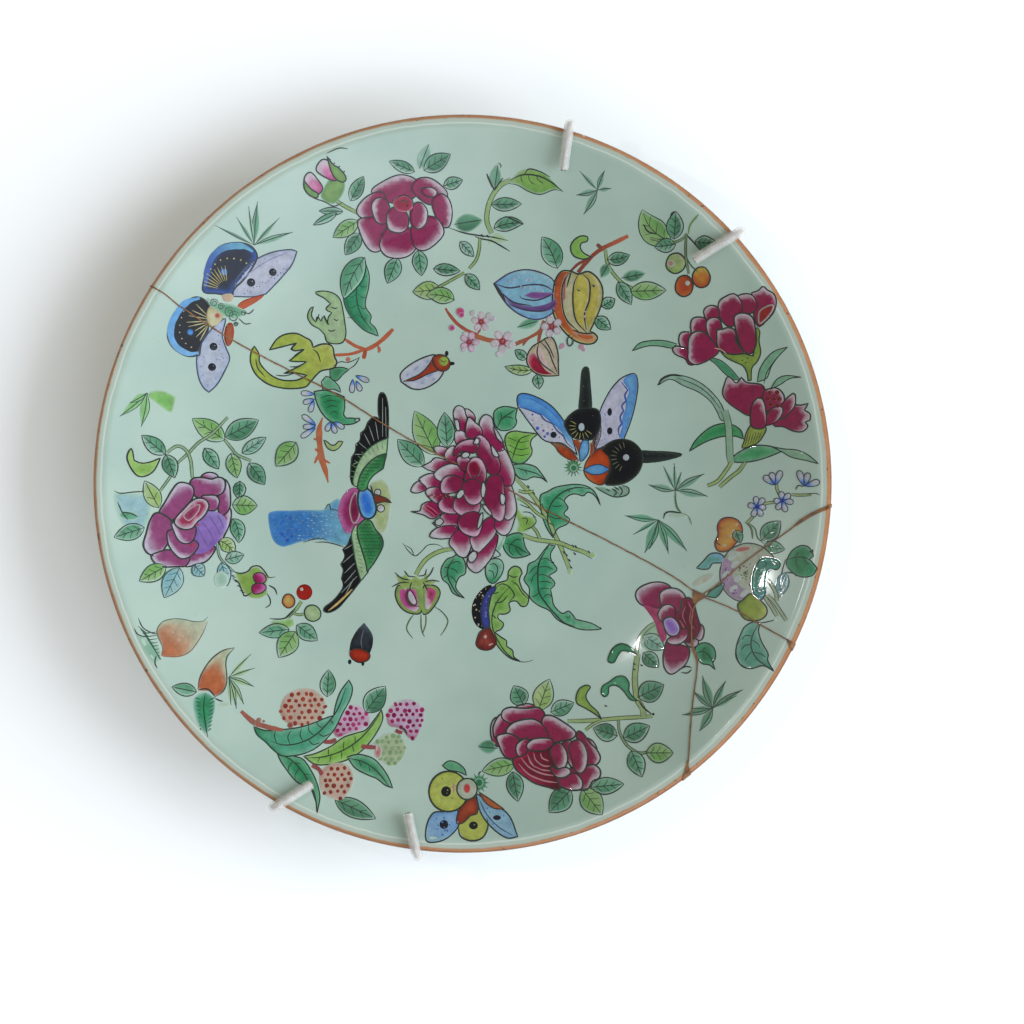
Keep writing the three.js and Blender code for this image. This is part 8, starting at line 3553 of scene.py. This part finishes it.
        for text in (
            "19.4,-91.6 22,-94.6 26,-96.6 30.4,-97.4", "18.6,-93.6 22,-97 27,-99 31.4,-99.6",
            "21.6,-90.6 23,-93.6 26,-95.4 29.6,-95.8", "23.6,-90 24.4,-92.4 27,-94.2 29.8,-94.2",
            "26,-90 26.4,-91.6 28.6,-92.6"
        ):
            brush.line(text, 0.5, "#b84a66", cover=0.75)
        for text in (
            "20,-92.8 23,-96 28,-98 31.4,-98.4", "22.4,-91 24,-94.4 27,-96",
            "24.6,-90.2 25.4,-93 28.6,-93.6"
        ):
            brush.line(text, 0.34, "#3a0a16")
        brush.raise_over()
        brush.flower(
            (27, -90),
            (
                "17.8,-87.6 19.4,-86 21.8,-85.2 22,-88 21,-90.2 19,-91.2 17.9,-90",
                "33,-86.9 36,-85.8 37.6,-90 37.8,-94.8 36,-94.2 34.2,-91.2 32.8,-89.2",
                "36,-86.6 38.6,-85.6 40.7,-87.4 41.7,-91 40.9,-95 39,-96.5 37,-94.8 36.2,-91.4 "
                "35.4,-88.6",
                "29.6,-88 32,-86.6 34.2,-88.6 35,-91.6 34.2,-94.4 32,-95.2 30.2,-92.6 29.2,-90",
                "29.2,-94.2 31.4,-95.2 34.4,-94.6 36.1,-96 34.4,-97.7 31.6,-97.9 29.8,-96.4",
                "21.3,-87.6 23,-85.7 26,-85.1 29.4,-85.4 30.2,-87 28.4,-88.8 25,-89.4 22.2,-89.1",
            ), deep, pale, start=0.36, width=0.5
        )

    def yellow_butterfly(self, brush: Painting) -> None:
        """The butterfly with round yellow wings at the foot.

        Args:
            brush: The painting that takes the strokes.
        """
        brush.shape(
            "-2,-108.4 -6,-109.1 -9.6,-109.4 -11.6,-112.4 -12.3,-116.4 -11.4,-118.8 -7,-118.4 "
            "-3.4,-116.2 -1.2,-113",
            wash("#8fb8dc", "#6f9fd0", "#a9cfe0", 240, 0.4), 0.5
        )
        brush.dot(-6.2, -113.2, 3.3, "#14181e")
        self.specks(
            brush, "-9.6,-110.6 -4,-109.8 -2.6,-113 -5,-116.4 -9,-117", 18, 0.9,
            ("#4f6fc0", "#3c86b8", "#5a6ab0")
        )
        brush.restart()
        brush.shape(
            "4.4,-103.2! 6.6,-104.6 9.2,-107.4 13,-108.2 16,-111.2 18.3,-117! 15,-117.5 11.4,-115.6 "
            "8,-112.4 5.6,-108.6",
            wash("#9cc6d8", "#86b0cc"), 0.5
        )
        brush.line("5.4,-105 8,-110 12,-114 16.6,-116.6", 0.4, "#2a4468")
        brush.dot(11.4, -111, 3.0, "#1a1c30", tall=2.0)
        for x, y in ((9, -109.2), (13.6, -110.4), (8.2, -108), (10, -113)):
            brush.dot(x, y, 0.9, "#4f6fb0", soft=0.2)
        brush.shape(
            "5.4,-102.8! 8,-104.4 11,-106.4 13.8,-108.3! 10.4,-108 7.4,-106", wash("#c8804c", "#a8562c"),
            0.42, "#3a2418"
        )
        brush.restart()
        brush.dot(3.4, -113.6, 9.8, "#c3cb62", rim="#a9b24c")
        brush.line("8,-111 8.4,-114 6.6,-117.4 3,-118.4 -0.6,-117 -1.6,-113.6", 0.55)
        brush.dot(3.6, -113.5, 3.4, "#14181c", tall=3.0)
        brush.dot(3.9, -113.3, 0.9, "#8f9a5c")
        brush.shape(
            "-2,-112.8 -1.4,-109 0.8,-106.2 3.4,-104 4.8,-106 4.8,-109.6 2.6,-110.4 0.2,-112.6",
            wash("#a5452a", "#7a2c1a"), 0.45, "#2a1812"
        )
        brush.raise_over()
        circle = np.column_stack(
            [
                np.cos(np.linspace(0, 2 * math.pi, 36, endpoint=False)),
                np.sin(np.linspace(0, 2 * math.pi, 36, endpoint=False))
            ]
        )
        wing = np.array([-4.8, -102.6]) + circle * 6.5
        brush.fill(wing, wash("#cdd66c", "#b5c055"))
        brush.line(wing, 0.62, "#1a1f14", closed=True, taper=0)
        brush.dot(-5.6, -102.6, 3.8, "#14181c")
        brush.dot(-5.1, -102.2, 0.9, "#9aa070")
        self.specks(
            brush, "-9,-99 -3,-97.4 0,-103 -2,-107 -8,-107.4 -10,-103", 20, 0.7,
            ("#8a8f3c", "#a5783c", "#6f7a34")
        )
        brush.raise_over()
        small = np.array([1.4, -101.8]) + circle * 3.4
        brush.fill(small, wash("#d5dcc8", "#b9c6a8"))
        brush.line(small, 0.5, "#1a1f14", closed=True, taper=0)
        brush.dot(1.4, -101.6, 3.0, "#b8403a", tall=3.8, soft=0.5)
        brush.dot(-3, -101.4, 1.2, "#b8605a", tall=4, soft=0.4)
        brush.restart()
        brush.dot(5.4, -99.8, 5.6, "#3f8f5c", rim="#6fae86", soft=0.9)
        brush.dot(5.4, -99.8, 3.4, "#1f6b45", soft=0.8)
        for i in range(12):
            away = heading(i * 30)
            brush.line(
                np.array([np.array([5.4, -99.8]) + away * 1.6, np.array([5.4, -99.8]) + away * 3.3]),
                0.28, "#1c3f2c"
            )
        brush.shape(
            "-6.9,-94.2! -4.8,-92.7 -2,-93.3 0.4,-95.2 1.2,-97.4! -1.4,-96.3 -5,-95.6",
            wash("#3f8f5c", "#6fae86"), 0.42
        )
        brush.line("5.4,-97.4 5.4,-96.6 6.2,-96.2", 0.5)

    def lychee(
        self, brush: Painting, outline: str, body: Paint, seed_colours: Sequence[str], spacing: float
    ) -> None:
        """A bumpy fruit: a soft wash with rows of dark seeds.

        Args:
            brush: The painting that takes the strokes.
            outline: Its outline, given as text.
            body: Its wash.
            seed_colours: Colours of its seeds.
            spacing: Distance between seeds.
        """
        brush.fill(outline, body)
        edge = outline_of(outline)
        low, high = edge.min(axis=0), edge.max(axis=0)
        for row, y in enumerate(np.arange(low[1] + 0.9, high[1] - 0.4, spacing * 0.86)):
            for x in np.arange(low[0] + 0.8 + (row % 2) * spacing / 2, high[0], spacing):
                spot = np.array([[x, y]]) + brush.dice.uniform(-0.35, 0.35, (1, 2))
                if brush.contains(edge, spot)[0] and brush.depths(spot, edge)[0] > 0.45:
                    tint = seed_colours[brush.dice.integers(len(seed_colours))]
                    wide, tall = brush.dice.uniform(1.5, 2.2, 2)
                    brush.dot(
                        spot[0, 0], spot[0, 1], wide, tint, tall=tall, turn=brush.dice.uniform(-40, 40),
                        soft=0.2
                    )
                    brush.level -= 0.004
        brush.raise_over()

    def lychees(self, brush: Painting) -> None:
        """The cluster of five lychees with its twig and long leaves.

        Args:
            brush: The painting that takes the strokes.
        """
        self.lychee(
            brush,
            "-61.4,-75 -60,-71.2 -57,-69 -53,-68.2 -49.6,-68.9 -46.6,-71.6 -45.7,-75.4 -47.4,-78.6 "
            "-51,-80.6 -55,-81 -59,-80 -61,-77.6",
            wash("#c79c86", "#d2b39f", "#ac6a52", 220, 0.4, soft=0.5, cover=0.8), ("#86342a", "#9a4434"),
            2.25
        )
        self.lychee(
            brush,
            "-43.8,-82.4 -42,-78.6 -40,-76.2 -37,-74 -34,-74.6 -31.4,-77.4 -31.2,-80.6 -34,-82.6 "
            "-38.6,-83.8 -42,-85",
            wash("#cf9cbe", "#dcc0d6", "#982c5e", 225, 0.4, soft=0.4, cover=0.85), ("#8a1c4a", "#a83a6c"),
            2.1
        )
        self.lychee(
            brush,
            "-25.9,-78 -24.6,-74.8 -21,-72.5 -17,-72.3 -14,-74.4 -12.8,-78 -14,-82 -16,-85.6 "
            "-18.4,-85.2 -20,-83.4 -22,-82 -25,-81.2",
            wash("#d0a6c8", "#dec8da", "#a03c70", 240, 0.45, soft=0.4, cover=0.85),
            ("#7a1440", "#962454"), 2.1
        )
        self.lychee(
            brush,
            "-29.6,-89 -28.4,-85.4 -25.6,-83.5 -22.4,-83.6 -19.6,-86 -18.8,-89.4 -20.4,-92.6 "
            "-23.6,-94.6 -27,-93",
            wash("#bccda4", "#c9d8b4", soft=0.5), ("#93b080", "#8aa878"), 2.1
        )
        brush.dot(-28.4, -89.6, 3.0, "#b8525c", tall=5.0, soft=1.2)
        self.lychee(
            brush,
            "-47.8,-99.6 -47.6,-96 -44.6,-93.4 -40,-93 -37,-95 -36.1,-98.6 -37.6,-102.8 -40.6,-105.2 "
            "-44,-104.6 -46.8,-102.6",
            wash("#c99e88", "#d4b5a1", "#ac6a54", 130, 0.5, soft=0.5, cover=0.8), ("#8a342a", "#7e2e24"),
            2.25
        )
        brush.line(
            "-73.8,-75.8 -71,-78.4 -69,-79.8 -66,-80.8 -63,-81.6 -60,-82.2", 1.5, "#9a4a3a", taper=0.3
        )
        for x, y, size in (
            (-68, -78.8, 2.0), (-69.4, -79.8, 1.8), (-57.6, -80.6, 2.4), (-66.4, -79.2, 1.2)
        ):
            brush.dot(x, y, size, "#8a4234", soft=0.3)
        for text in (
            "-46.4,-86.2 -44,-86.2 -42.4,-85.4", "-34,-87.8 -31.6,-88 -29.2,-88.2",
            "-50.2,-93.8 -48,-95 -46.8,-96.8", "-22.6,-82.6 -21.4,-83.2 -20.4,-83.4"
        ):
            brush.line(text, 1.3, "#8a2c34", taper=0.2)
        brush.line("-30,-86.6 -28.8,-87.6 -29,-89.4", 0.5, "#e0d4c4")
        brush.line("-20.8,-81.6 -19.4,-82.6 -18.8,-84", 0.6, "#2a1c1c")
        brush.restart()
        brush.leaf((-45.6, -71.4), (-45.2, -62.4), 5.2, LeafTone.MIDDLE)
        brush.leaf((-32.8, -76.6), (-26.2, -68), 7.0, LeafTone.DEEP)
        brush.shape(
            "-69.6,-80.9! -66,-82.1 -62,-82.1 -58,-81.8 -54,-81.2 -50,-80 -46,-78.4 -43.4,-77.6! "
            "-42.6,-73.6 -41,-69.4 -38.4,-65.9! -37.2,-68.6 -38,-72.4 -40.4,-76.8 -42.6,-81.4 -45.4,-85 "
            "-48.6,-87.8 -51.4,-89.4 -55,-90.4 -60,-90.6 -63,-88.6 -65.4,-86.2 -68.4,-83.6",
            wash("#4fa07e", "#83c0a4", "#2c7f54", 200, 0.55, soft=0.2), 0.42
        )
        brush.line("-64,-85.6 -60,-87 -55,-86.6 -50,-84.4 -45.6,-80.4 -42,-75.4 -39.4,-68.6", 0.45)
        for text in (
            "-57.6,-86.8 -58.4,-84.4 -57.4,-82.4", "-53.4,-86 -54.4,-83.6 -53.8,-81.8",
            "-49.6,-84.2 -51.4,-82.6 -51.6,-80.6", "-47,-81.8 -48.8,-80.4 -48.8,-79.4",
            "-51.6,-85.4 -50,-87 -47.6,-86.4", "-48.6,-83.2 -46.6,-84.4 -44.4,-83.4",
            "-62,-86.4 -62.8,-84 -62.4,-82.4", "-44.4,-79 -43.4,-80.4"
        ):
            brush.line(text, 0.34)
        brush.restart()
        brush.shape(
            "-62.4,-87.4! -61,-91.4 -58.6,-95 -55.6,-98.6 -52.6,-100.4 -50,-101.4 -48.8,-104.6 "
            "-48.2,-109.2! -47.4,-104 -48.6,-99.2 -50.4,-95.6 -53.2,-91.8 -57,-90.4",
            wash("#2f8a5c", "#6fb08a", soft=0.2), 0.42
        )
        brush.line("-61.6,-90 -57.6,-91.6 -54,-95 -51,-99.6 -48.6,-106", 0.42)
        for text in (
            "-56.6,-92.4 -58,-94.4 -57.6,-95.6", "-54.4,-94.6 -55.8,-97 -55.4,-98.2",
            "-56,-92.8 -54,-93.2", "-53,-96.4 -51.2,-96.8"
        ):
            brush.line(text, 0.32)
        brush.shape(
            "-53,-90.8! -49,-89.9 -44,-87.6 -40,-84.8 -36,-83.5 -32.6,-82.4 -30,-79.4 -27.4,-75.8! "
            "-27,-79 -28.8,-83 -32,-87.4 -36,-90.8 -40,-92.6 -45,-93.6 -49.4,-93.4",
            wash("#83b850", "#a9d07c", soft=0.2), 0.42
        )
        brush.line("-52,-91.4 -46,-91 -40,-89 -35,-85.8 -31,-81.6 -28,-77.4", 0.42)
        for text in (
            "-47.6,-91.2 -48.4,-92.8", "-44,-90.6 -44.4,-92.8", "-40.6,-89.4 -40.4,-91.8",
            "-37,-87.4 -36.4,-89.6", "-45,-90.8 -44.8,-88.4", "-40,-88.8 -39.8,-86",
            "-36,-86.6 -36.2,-84.4"
        ):
            brush.line(text, 0.3)
        brush.shape(
            "-38.6,-91.2! -35,-90.4 -30.4,-91.6 -27.4,-94.2 -24.8,-98 -23.4,-101.4! -26,-100.4 "
            "-28.6,-98.4 -32,-97 -36,-94.8",
            wash("#3c8f63", "#7fb894", soft=0.2), 0.42
        )
        brush.line("-38,-91.6 -33,-93 -28.6,-96 -24.8,-100.6", 0.4)
        brush.line("-34.6,-92.6 -34,-94.4", 0.3)
        brush.line("-31.4,-94.2 -31,-96", 0.3)
        brush.leaf((-42.4, -105), (-28.8, -111.2), 5.8, LeafTone.DEEP)


def paint_face(form: PlateForm) -> None:
    """Paint every motif of the plate's face, in pieces by region.

    Args:
        form: Section of the plate.
    """
    FacePainting(form, OverglazeEnamel().build()).build()


# ---- the wire hanger ----


@dataclass(frozen=True)
class Hook:
    """One hook of the hanger: where it holds the rim, which way it points out, and its finger."""

    rim_angle: float
    outward: float
    finger: float


@dataclass
class WireHanger:
    """Two bent wires, two springs between them and a vinyl sleeve on each hook, in millimetres."""

    form: PlateForm
    wire: float = 1.6
    sleeve: float = 3.5
    sleeve_bore: float = 2.2
    sleeve_back: float = 8.0
    tip_bare: float = 0.7
    gap: float = 0.3
    finger_bend: float = 3.6
    finger_slope: float = 18.5
    back_slope: float = 25.2
    leg: float = 22.0
    axis_angle: float = 64.7
    eye_along: float = 30.0
    eye_radius: float = 2.6
    eyes: tuple[float, float] = (-6.0, 30.0)
    peak_radius: float = 3.0
    spring_radius: float = 2.55
    spring_wire: float = 0.9
    spring_turns: int = 26
    spring_neck: float = 1.5
    spring_seat: float = 0.85
    wire_high: float = 3.9
    wrap_steps: int = 20
    finger_ease: float = 2.2
    foot_clearance: float = 4.0
    nail_along: float = 90.0
    nail_splay: float = 0.2
    nail_inner: float = 7.0
    nail_outer: float = 2.0
    lower_peak: float = 46.0
    coil_steps: int = 16
    coil_hook_steps: int = 10
    crisp_angle: int = 40
    hooks: dict[str, Hook] = field(default_factory=lambda: {
        "upper_left": Hook(73.2, 82, 11.5),
        "upper_right": Hook(42.5, 31, 14),
        "lower_left": Hook(240.5, 211.5, 11),
        "lower_right": Hook(262.5, 283, 10.5),
    })

    def spot(self, forward: float, sideways: float, height: float) -> np.ndarray:
        """A place given along the springs' line and sideways from the plate's centre.

        Args:
            forward: Distance along the springs' line.
            sideways: Distance to the right of that line.
            height: Its height.

        Returns:
            The place.
        """
        along = heading(self.axis_angle)
        plan = forward * along + sideways * np.array([along[1], -along[0]])
        return np.array([plan[0], plan[1], height])

    def hook_line(self, hook: Hook, behind: float, bare: float = 0.0) -> list[np.ndarray]:
        """Points of a hook from its tip, over the rim's edge and back along its leg.

        Args:
            hook: The hook.
            behind: Length of the leg behind the rim.
            bare: How far the tip stands out of its sleeve.

        Returns:
            The points, in order.
        """
        out = np.array([*heading(hook.outward), 0])
        rim = heading(hook.rim_angle) * self.form.edge_centre
        centre = np.array([*rim, float(self.form.face(self.form.edge_centre)) - self.form.edge_radius])
        slant = math.cos(math.radians(hook.outward - hook.rim_angle))
        reach = self.form.edge_radius / slant + self.gap + self.sleeve / 2
        start = math.pi / 2 + math.atan(self.form.lip_slope)
        end = math.radians(self.back_slope) - math.pi / 2
        turns = [start + (end - start) * i / self.wrap_steps for i in range(self.wrap_steps + 1)]
        wrap = [(reach * math.cos(turn), reach * math.sin(turn)) for turn in turns]
        bend = (-self.finger_bend, wrap[0][1] - (self.finger_bend + wrap[0][0]) * self.form.lip_slope)
        run = hook.finger + bare - self.finger_bend
        tip = (bend[0] - run, bend[1] - run * math.tan(math.radians(self.finger_slope)))
        last = wrap[-1]
        leg = (last[0] - behind, last[1] - behind * math.tan(math.radians(self.back_slope)))
        corners = [np.array([*corner, 0]) for corner in (tip, bend, wrap[0])]
        eased = self.eased(corners, self.finger_ease)
        plane = [(p[0], p[1]) for p in eased[:-1]] + wrap + [leg]
        return [centre + out * across + np.array([0, 0, rise]) for across, rise in plane]

    @staticmethod
    def eased(corners: Sequence[np.ndarray], reach: float = 3.0, pieces: int = 6) -> list[np.ndarray]:
        """A bent wire's points: straight between corners, and rounded at each one.

        Args:
            corners: The corners, in order.
            reach: How far from a corner the bend begins.
            pieces: Straight pieces in each bend.

        Returns:
            The points, in order.
        """
        points = [corners[0]]
        for before, corner, after in zip(corners, corners[1:], corners[2:]):
            entry = corner + (before - corner) / np.linalg.norm(before - corner) * reach
            leave = corner + (after - corner) / np.linalg.norm(after - corner) * reach
            for i in range(pieces + 1):
                t = i / pieces
                points.append((1 - t) ** 2 * entry + 2 * t * (1 - t) * corner + t**2 * leave)
        return [*points, corners[-1]]

    def half_turn(
        self, centre: np.ndarray, radius: float, side: float, pieces: int = 14
    ) -> list[np.ndarray]:
        """Half a turn of wire whose closed end points along the springs' line, or against it.

        Args:
            centre: Middle of the turn.
            radius: Its radius.
            side: 1 where it points along the line, and -1 against it.
            pieces: Straight pieces in it.

        Returns:
            The points, in order.
        """
        along = np.array([*heading(self.axis_angle), 0])
        aside = np.array([along[1], -along[0], 0])
        turns = [math.pi * i / pieces for i in range(pieces + 1)]
        return [centre - aside * radius * math.cos(t) + along * side * radius * math.sin(t) for t in turns]

    def leg_corners(self, knee: np.ndarray, eye_side: np.ndarray) -> list[np.ndarray]:
        """A leg's corners from behind the rim, under the foot ring and up to one side of an eye.

        Args:
            knee: End of the hook's leg behind the rim.
            eye_side: Where the leg meets the eye.

        Returns:
            The corners, in order.
        """
        flat = (eye_side - knee) * np.array([1, 1, 0])
        flat /= np.linalg.norm(flat)
        plan = knee * np.array([1, 1, 0])
        inward = float(plan @ flat)
        miss = float(plan @ plan) - inward**2
        low = np.array([0, 0, self.wire / 2])
        crossing = [
            plan + flat * (-inward - math.sqrt(radius**2 - miss)) + low
            for radius in (
                self.form.foot_outer + self.foot_clearance, self.form.foot_inner - self.foot_clearance
            )
        ]
        return [knee, *crossing, eye_side]

    def wire_line(
        self, left: Hook, right: Hook, side: int, peak: np.ndarray, under: Sequence
    ) -> list[np.ndarray]:
        """One wire: hook, leg, eye, peak, eye, leg and hook.

        Args:
            left: The hook on the left.
            right: The hook on the right.
            side: 1 for the upper wire and -1 for the lower one.
            peak: Middle of the peak's half turn.
            under: Places of both hands that the wire passes on its way to the peak.

        Returns:
            The points, in order.
        """
        first = self.hook_line(left, self.leg, self.tip_bare)
        second = self.hook_line(right, self.leg, self.tip_bare)
        eyes = [
            self.half_turn(self.spot(side * self.eye_along, at, self.wire_high), self.eye_radius, -side)
            for at in self.eyes
        ]
        top = self.half_turn(peak, self.peak_radius, side)
        legs = [
            self.eased([first[-2], *self.leg_corners(first[-1], eyes[0][0])]),
            self.eased([second[-2], *self.leg_corners(second[-1], eyes[1][-1])]),
        ]
        rise = self.eased([eyes[0][-1], *[place(-1) for place in under], top[0]])
        fall = self.eased([top[-1], *[place(1) for place in under][::-1], eyes[1][0]])
        return [
            *first[:-2], *legs[0][:-1], *eyes[0], *rise[1:-1], *top, *fall[1:-1], *eyes[1],
            *legs[1][:-1][::-1], *second[:-2][::-1],
        ]

    def spring_line(self, sideways: float) -> list[np.ndarray]:
        """A stretched spring with an open hook at each end.

        Args:
            sideways: Distance of its axis from the springs' line.

        Returns:
            The points, in order.
        """
        end = self.eye_along - self.eye_radius - self.spring_seat - self.spring_neck
        steps = self.spring_turns * self.coil_steps
        points = []
        for i in range(steps + 1):
            turn = 2 * math.pi * self.spring_turns * i / steps
            points.append(self.spot(
                -end + 2 * end * i / steps,
                sideways + self.spring_radius * math.sin(turn),
                self.wire_high + self.spring_radius * math.cos(turn),
            ))
        hooks = {}
        for side in (-1, 1):
            hooks[side] = []
            for i in range(self.coil_hook_steps + 1):
                turn = math.pi * i / self.coil_hook_steps
                hooks[side].append(self.spot(
                    side * (end + self.spring_neck + self.spring_radius * math.sin(turn)),
                    sideways,
                    self.wire_high + self.spring_radius * math.cos(turn),
                ))
        return [*hooks[-1][::-1], *points, *hooks[1]]

    @staticmethod
    def rod(name: str, line: Sequence[np.ndarray], diameter: float, sides: int = 4) -> bpy.types.Object:
        """A round wire along points in millimetres, made a closed mesh.

        Args:
            name: Name of the new object.
            line: Points along its middle.
            diameter: Its thickness.
            sides: Blender's bevel resolution.

        Returns:
            The closed rod.
        """
        curve = bpy.data.curves.new(name, "CURVE")
        curve.dimensions = "3D"
        curve.bevel_depth = diameter / 2 * MM
        curve.bevel_resolution = sides
        curve.use_fill_caps = True
        spline = curve.splines.new("POLY")
        spline.points.add(len(line) - 1)
        for point, place in zip(spline.points, line):
            point.co = (*(place * MM), 1)
        piece = bpy.data.objects.new(name, curve)
        bpy.context.scene.collection.objects.link(piece)
        only(piece)
        bpy.ops.object.convert(target="MESH")
        piece = bpy.context.active_object
        bpy.ops.object.mode_set(mode="EDIT")
        bpy.ops.mesh.select_all(action="SELECT")
        bpy.ops.mesh.remove_doubles(threshold=ROD_WELD)
        bpy.ops.mesh.normals_make_consistent(inside=False)
        bpy.ops.object.mode_set(mode="OBJECT")
        return piece

    def tube(self, name: str, line: Sequence[np.ndarray]) -> bpy.types.Object:
        """A vinyl sleeve: an outer rod bored along its length by a thinner one.

        Args:
            name: Name of the new object.
            line: Points along its middle.

        Returns:
            The closed sleeve.
        """
        outer = self.rod(name, line, self.sleeve, 6)
        first = line[0] - (line[1] - line[0]) / np.linalg.norm(line[1] - line[0])
        last = line[-1] + (line[-1] - line[-2]) / np.linalg.norm(line[-1] - line[-2])
        bore = self.rod("bore", [first, *line, last], self.sleeve_bore, 6)
        cut(outer, bore)
        bpy.data.objects.remove(bore)
        return outer

    def build(self) -> None:
        """Make the wires, springs and sleeves, dressed and ridden on the plate's body."""
        steel, vinyl = SpringSteel().build(), ClearVinyl().build()
        middle = sum(self.eyes) / 2
        low = self.wire / 2
        outside, inside = self.form.foot_outer + self.nail_outer, self.form.foot_inner - self.nail_inner

        def under(forward: float) -> Callable[[int], np.ndarray]:
            """The two wires of the nail peak at one distance, chosen by hand -1 or 1.

            Args:
                forward: Distance along the springs' line.

            Returns:
                A function of the hand, which gives the place.
            """
            splay = self.peak_radius + (self.nail_along - forward) * self.nail_splay
            return lambda hand: self.spot(forward, middle + hand * splay, low)

        wires = {
            "upper": self.wire_line(
                self.hooks["upper_left"], self.hooks["upper_right"], 1,
                self.spot(self.nail_along, middle, low + 1), [under(inside), under(outside)],
            ),
            "lower": self.wire_line(
                self.hooks["lower_left"], self.hooks["lower_right"], -1,
                self.spot(-self.lower_peak, middle, self.wire_high), [],
            ),
        }
        for name, line in wires.items():
            self.finish(
                self.rod(f"hanger_{name}_steel_wire", line, self.wire), steel, "spring_wire",
                f"hanger_wire_{name}"
            )
        for name, sideways in zip(("left", "right"), self.eyes):
            coil = self.rod(f"hanger_{name}_steel_spring", self.spring_line(sideways), self.spring_wire, 2)
            self.finish(coil, steel, "spring_wire", f"hanger_spring_{name}")
        for name, hook in self.hooks.items():
            sleeve = self.tube(f"hook_{name}_vinyl", self.hook_line(hook, self.sleeve_back))
            self.finish(sleeve, vinyl, "vinyl_sleeve", f"hook_sleeve_{name}")

    def finish(
        self, piece: bpy.types.Object, material: bpy.types.Material, slot: str, cad_node: str
    ) -> None:
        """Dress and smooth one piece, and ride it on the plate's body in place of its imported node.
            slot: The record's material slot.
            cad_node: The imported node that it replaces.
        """
        dress(piece, material)
        smooth(piece, self.crisp_angle)
        hand_in(piece, slot, cad_node)


# ---- floor, light and camera ----


@dataclass(frozen=True)
class SoftLamp:
    """A square lamp that faces the plate: bearings in degrees, distance and side in metres."""

    azimuth: float
    elevation: float
    distance: float
    side: float
    watts: float
    tint: str
    mirrored: bool = True


@dataclass
class Studio:
    """A pale floor, two soft lamps, two small ones for glints and a camera above, in metres."""

    look_at: tuple[float, float] = (0.0164, -0.0094)
    rim_height: float = 0.0295
    camera_height: float = 1.1
    view_width: float = 0.3395
    sensor: float = 36.0
    floor_side: float = 6.0
    floor_tint: str = "#f4f4f4"
    air_tint: str = "#f8f5e6"
    air_strength: float = 0.62
    ceiling_strength: float = 0.16
    lamps: dict[str, SoftLamp] = field(default_factory=lambda: {
        "key_softbox": SoftLamp(-3, 27, 4.0, 3.2, 262, "#e8f2ff", mirrored=False),
        "window_light": SoftLamp(-62, 44, 4.0, 3.2, 62, "#dcebff"),
        "right_glint": SoftLamp(162, 54, 1.5, 0.04, 1.5, "#ffffff"),
        "lower_glint": SoftLamp(138, 70, 1.5, 0.03, 0.9, "#ffffff"),
    })

    def build(self) -> None:
        """Make the floor, the lamps, the world's light and the camera."""
        self.floor()
        for name, lamp in self.lamps.items():
            self.light(name, lamp)
        self.air()
        bpy.context.scene.view_settings.view_transform = "Standard"
        self.camera()

    def floor(self) -> None:
        """A wide pale floor that the hanger's wires rest on."""
        deselect()
        bpy.ops.mesh.primitive_plane_add(size=self.floor_side, location=(0, 0, 0))
        floor = bpy.context.active_object
        floor.name = "studio_floor"
        material, tree, shader = new_material("matt_white_sweep")
        shader.inputs["Base Color"].default_value = linear(self.floor_tint)
        shader.inputs["Roughness"].default_value = 0.9
        dress(floor, material)

    def light(self, name: str, lamp: SoftLamp) -> None:
        """Hang one lamp.

        Args:
            name: Its name.
            lamp: Where it hangs and how it shines.
        """
        data = bpy.data.lights.new(name, "AREA")
        data.size = lamp.side
        data.energy = lamp.watts
        data.color = linear(lamp.tint)[:3]
        piece = bpy.data.objects.new(name, data)
        bpy.context.scene.collection.objects.link(piece)
        plan = heading(lamp.azimuth) * math.cos(math.radians(lamp.elevation))
        direction = Vector((plan[0], plan[1], math.sin(math.radians(lamp.elevation))))
        piece.location = direction * lamp.distance
        piece.rotation_euler = direction.to_track_quat("Z", "Y").to_euler()
        piece.visible_glossy = lamp.mirrored

    def air(self) -> None:
        """The room's own light, dimmer overhead, so that the plate's flat parts mirror little."""
        world = bpy.data.worlds.new("pale_room")
        bpy.context.scene.world = world
        world.use_nodes = True
        tree = world.node_tree
        background = tree.nodes["Background"]
        background.inputs["Color"].default_value = linear(self.air_tint)
        height = node(
            tree, "ShaderNodeSeparateXYZ", in_0=node(tree, "ShaderNodeTexCoord").outputs["Generated"]
        )
        dim = node(
            tree, "ShaderNodeMapRange", Value=height.outputs["Z"], From_Min=0.7, From_Max=0.92,
            To_Min=self.air_strength, To_Max=self.ceiling_strength,
        )
        tree.links.new(dim.outputs[0], background.inputs["Strength"])

    def camera(self) -> None:
        """The camera, straight above and with the painting's top edge up."""
        data = bpy.data.cameras.new("camera")
        data.sensor_width = self.sensor
        half = self.view_width / 2 / (self.camera_height - self.rim_height)
        data.lens = self.sensor / 2 / half
        camera = bpy.data.objects.new("camera", data)
        bpy.context.scene.collection.objects.link(camera)
        camera.location = (*self.look_at, self.camera_height)
        bpy.context.scene.camera = camera


def main() -> None:
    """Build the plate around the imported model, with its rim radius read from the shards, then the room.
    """
    logging.basicConfig(level=logging.INFO, format="%(name)s: %(message)s")
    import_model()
    rim = max(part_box("shard_upper")[1].y, -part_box("shard_lower")[0].y) / MM
    form = PlateForm(rim_radius=rim)
    BrokenPlate(form).build()
    WireHanger(form).build()
    paint_face(form)
    Studio().build()


if __name__ == "__main__":
    main()
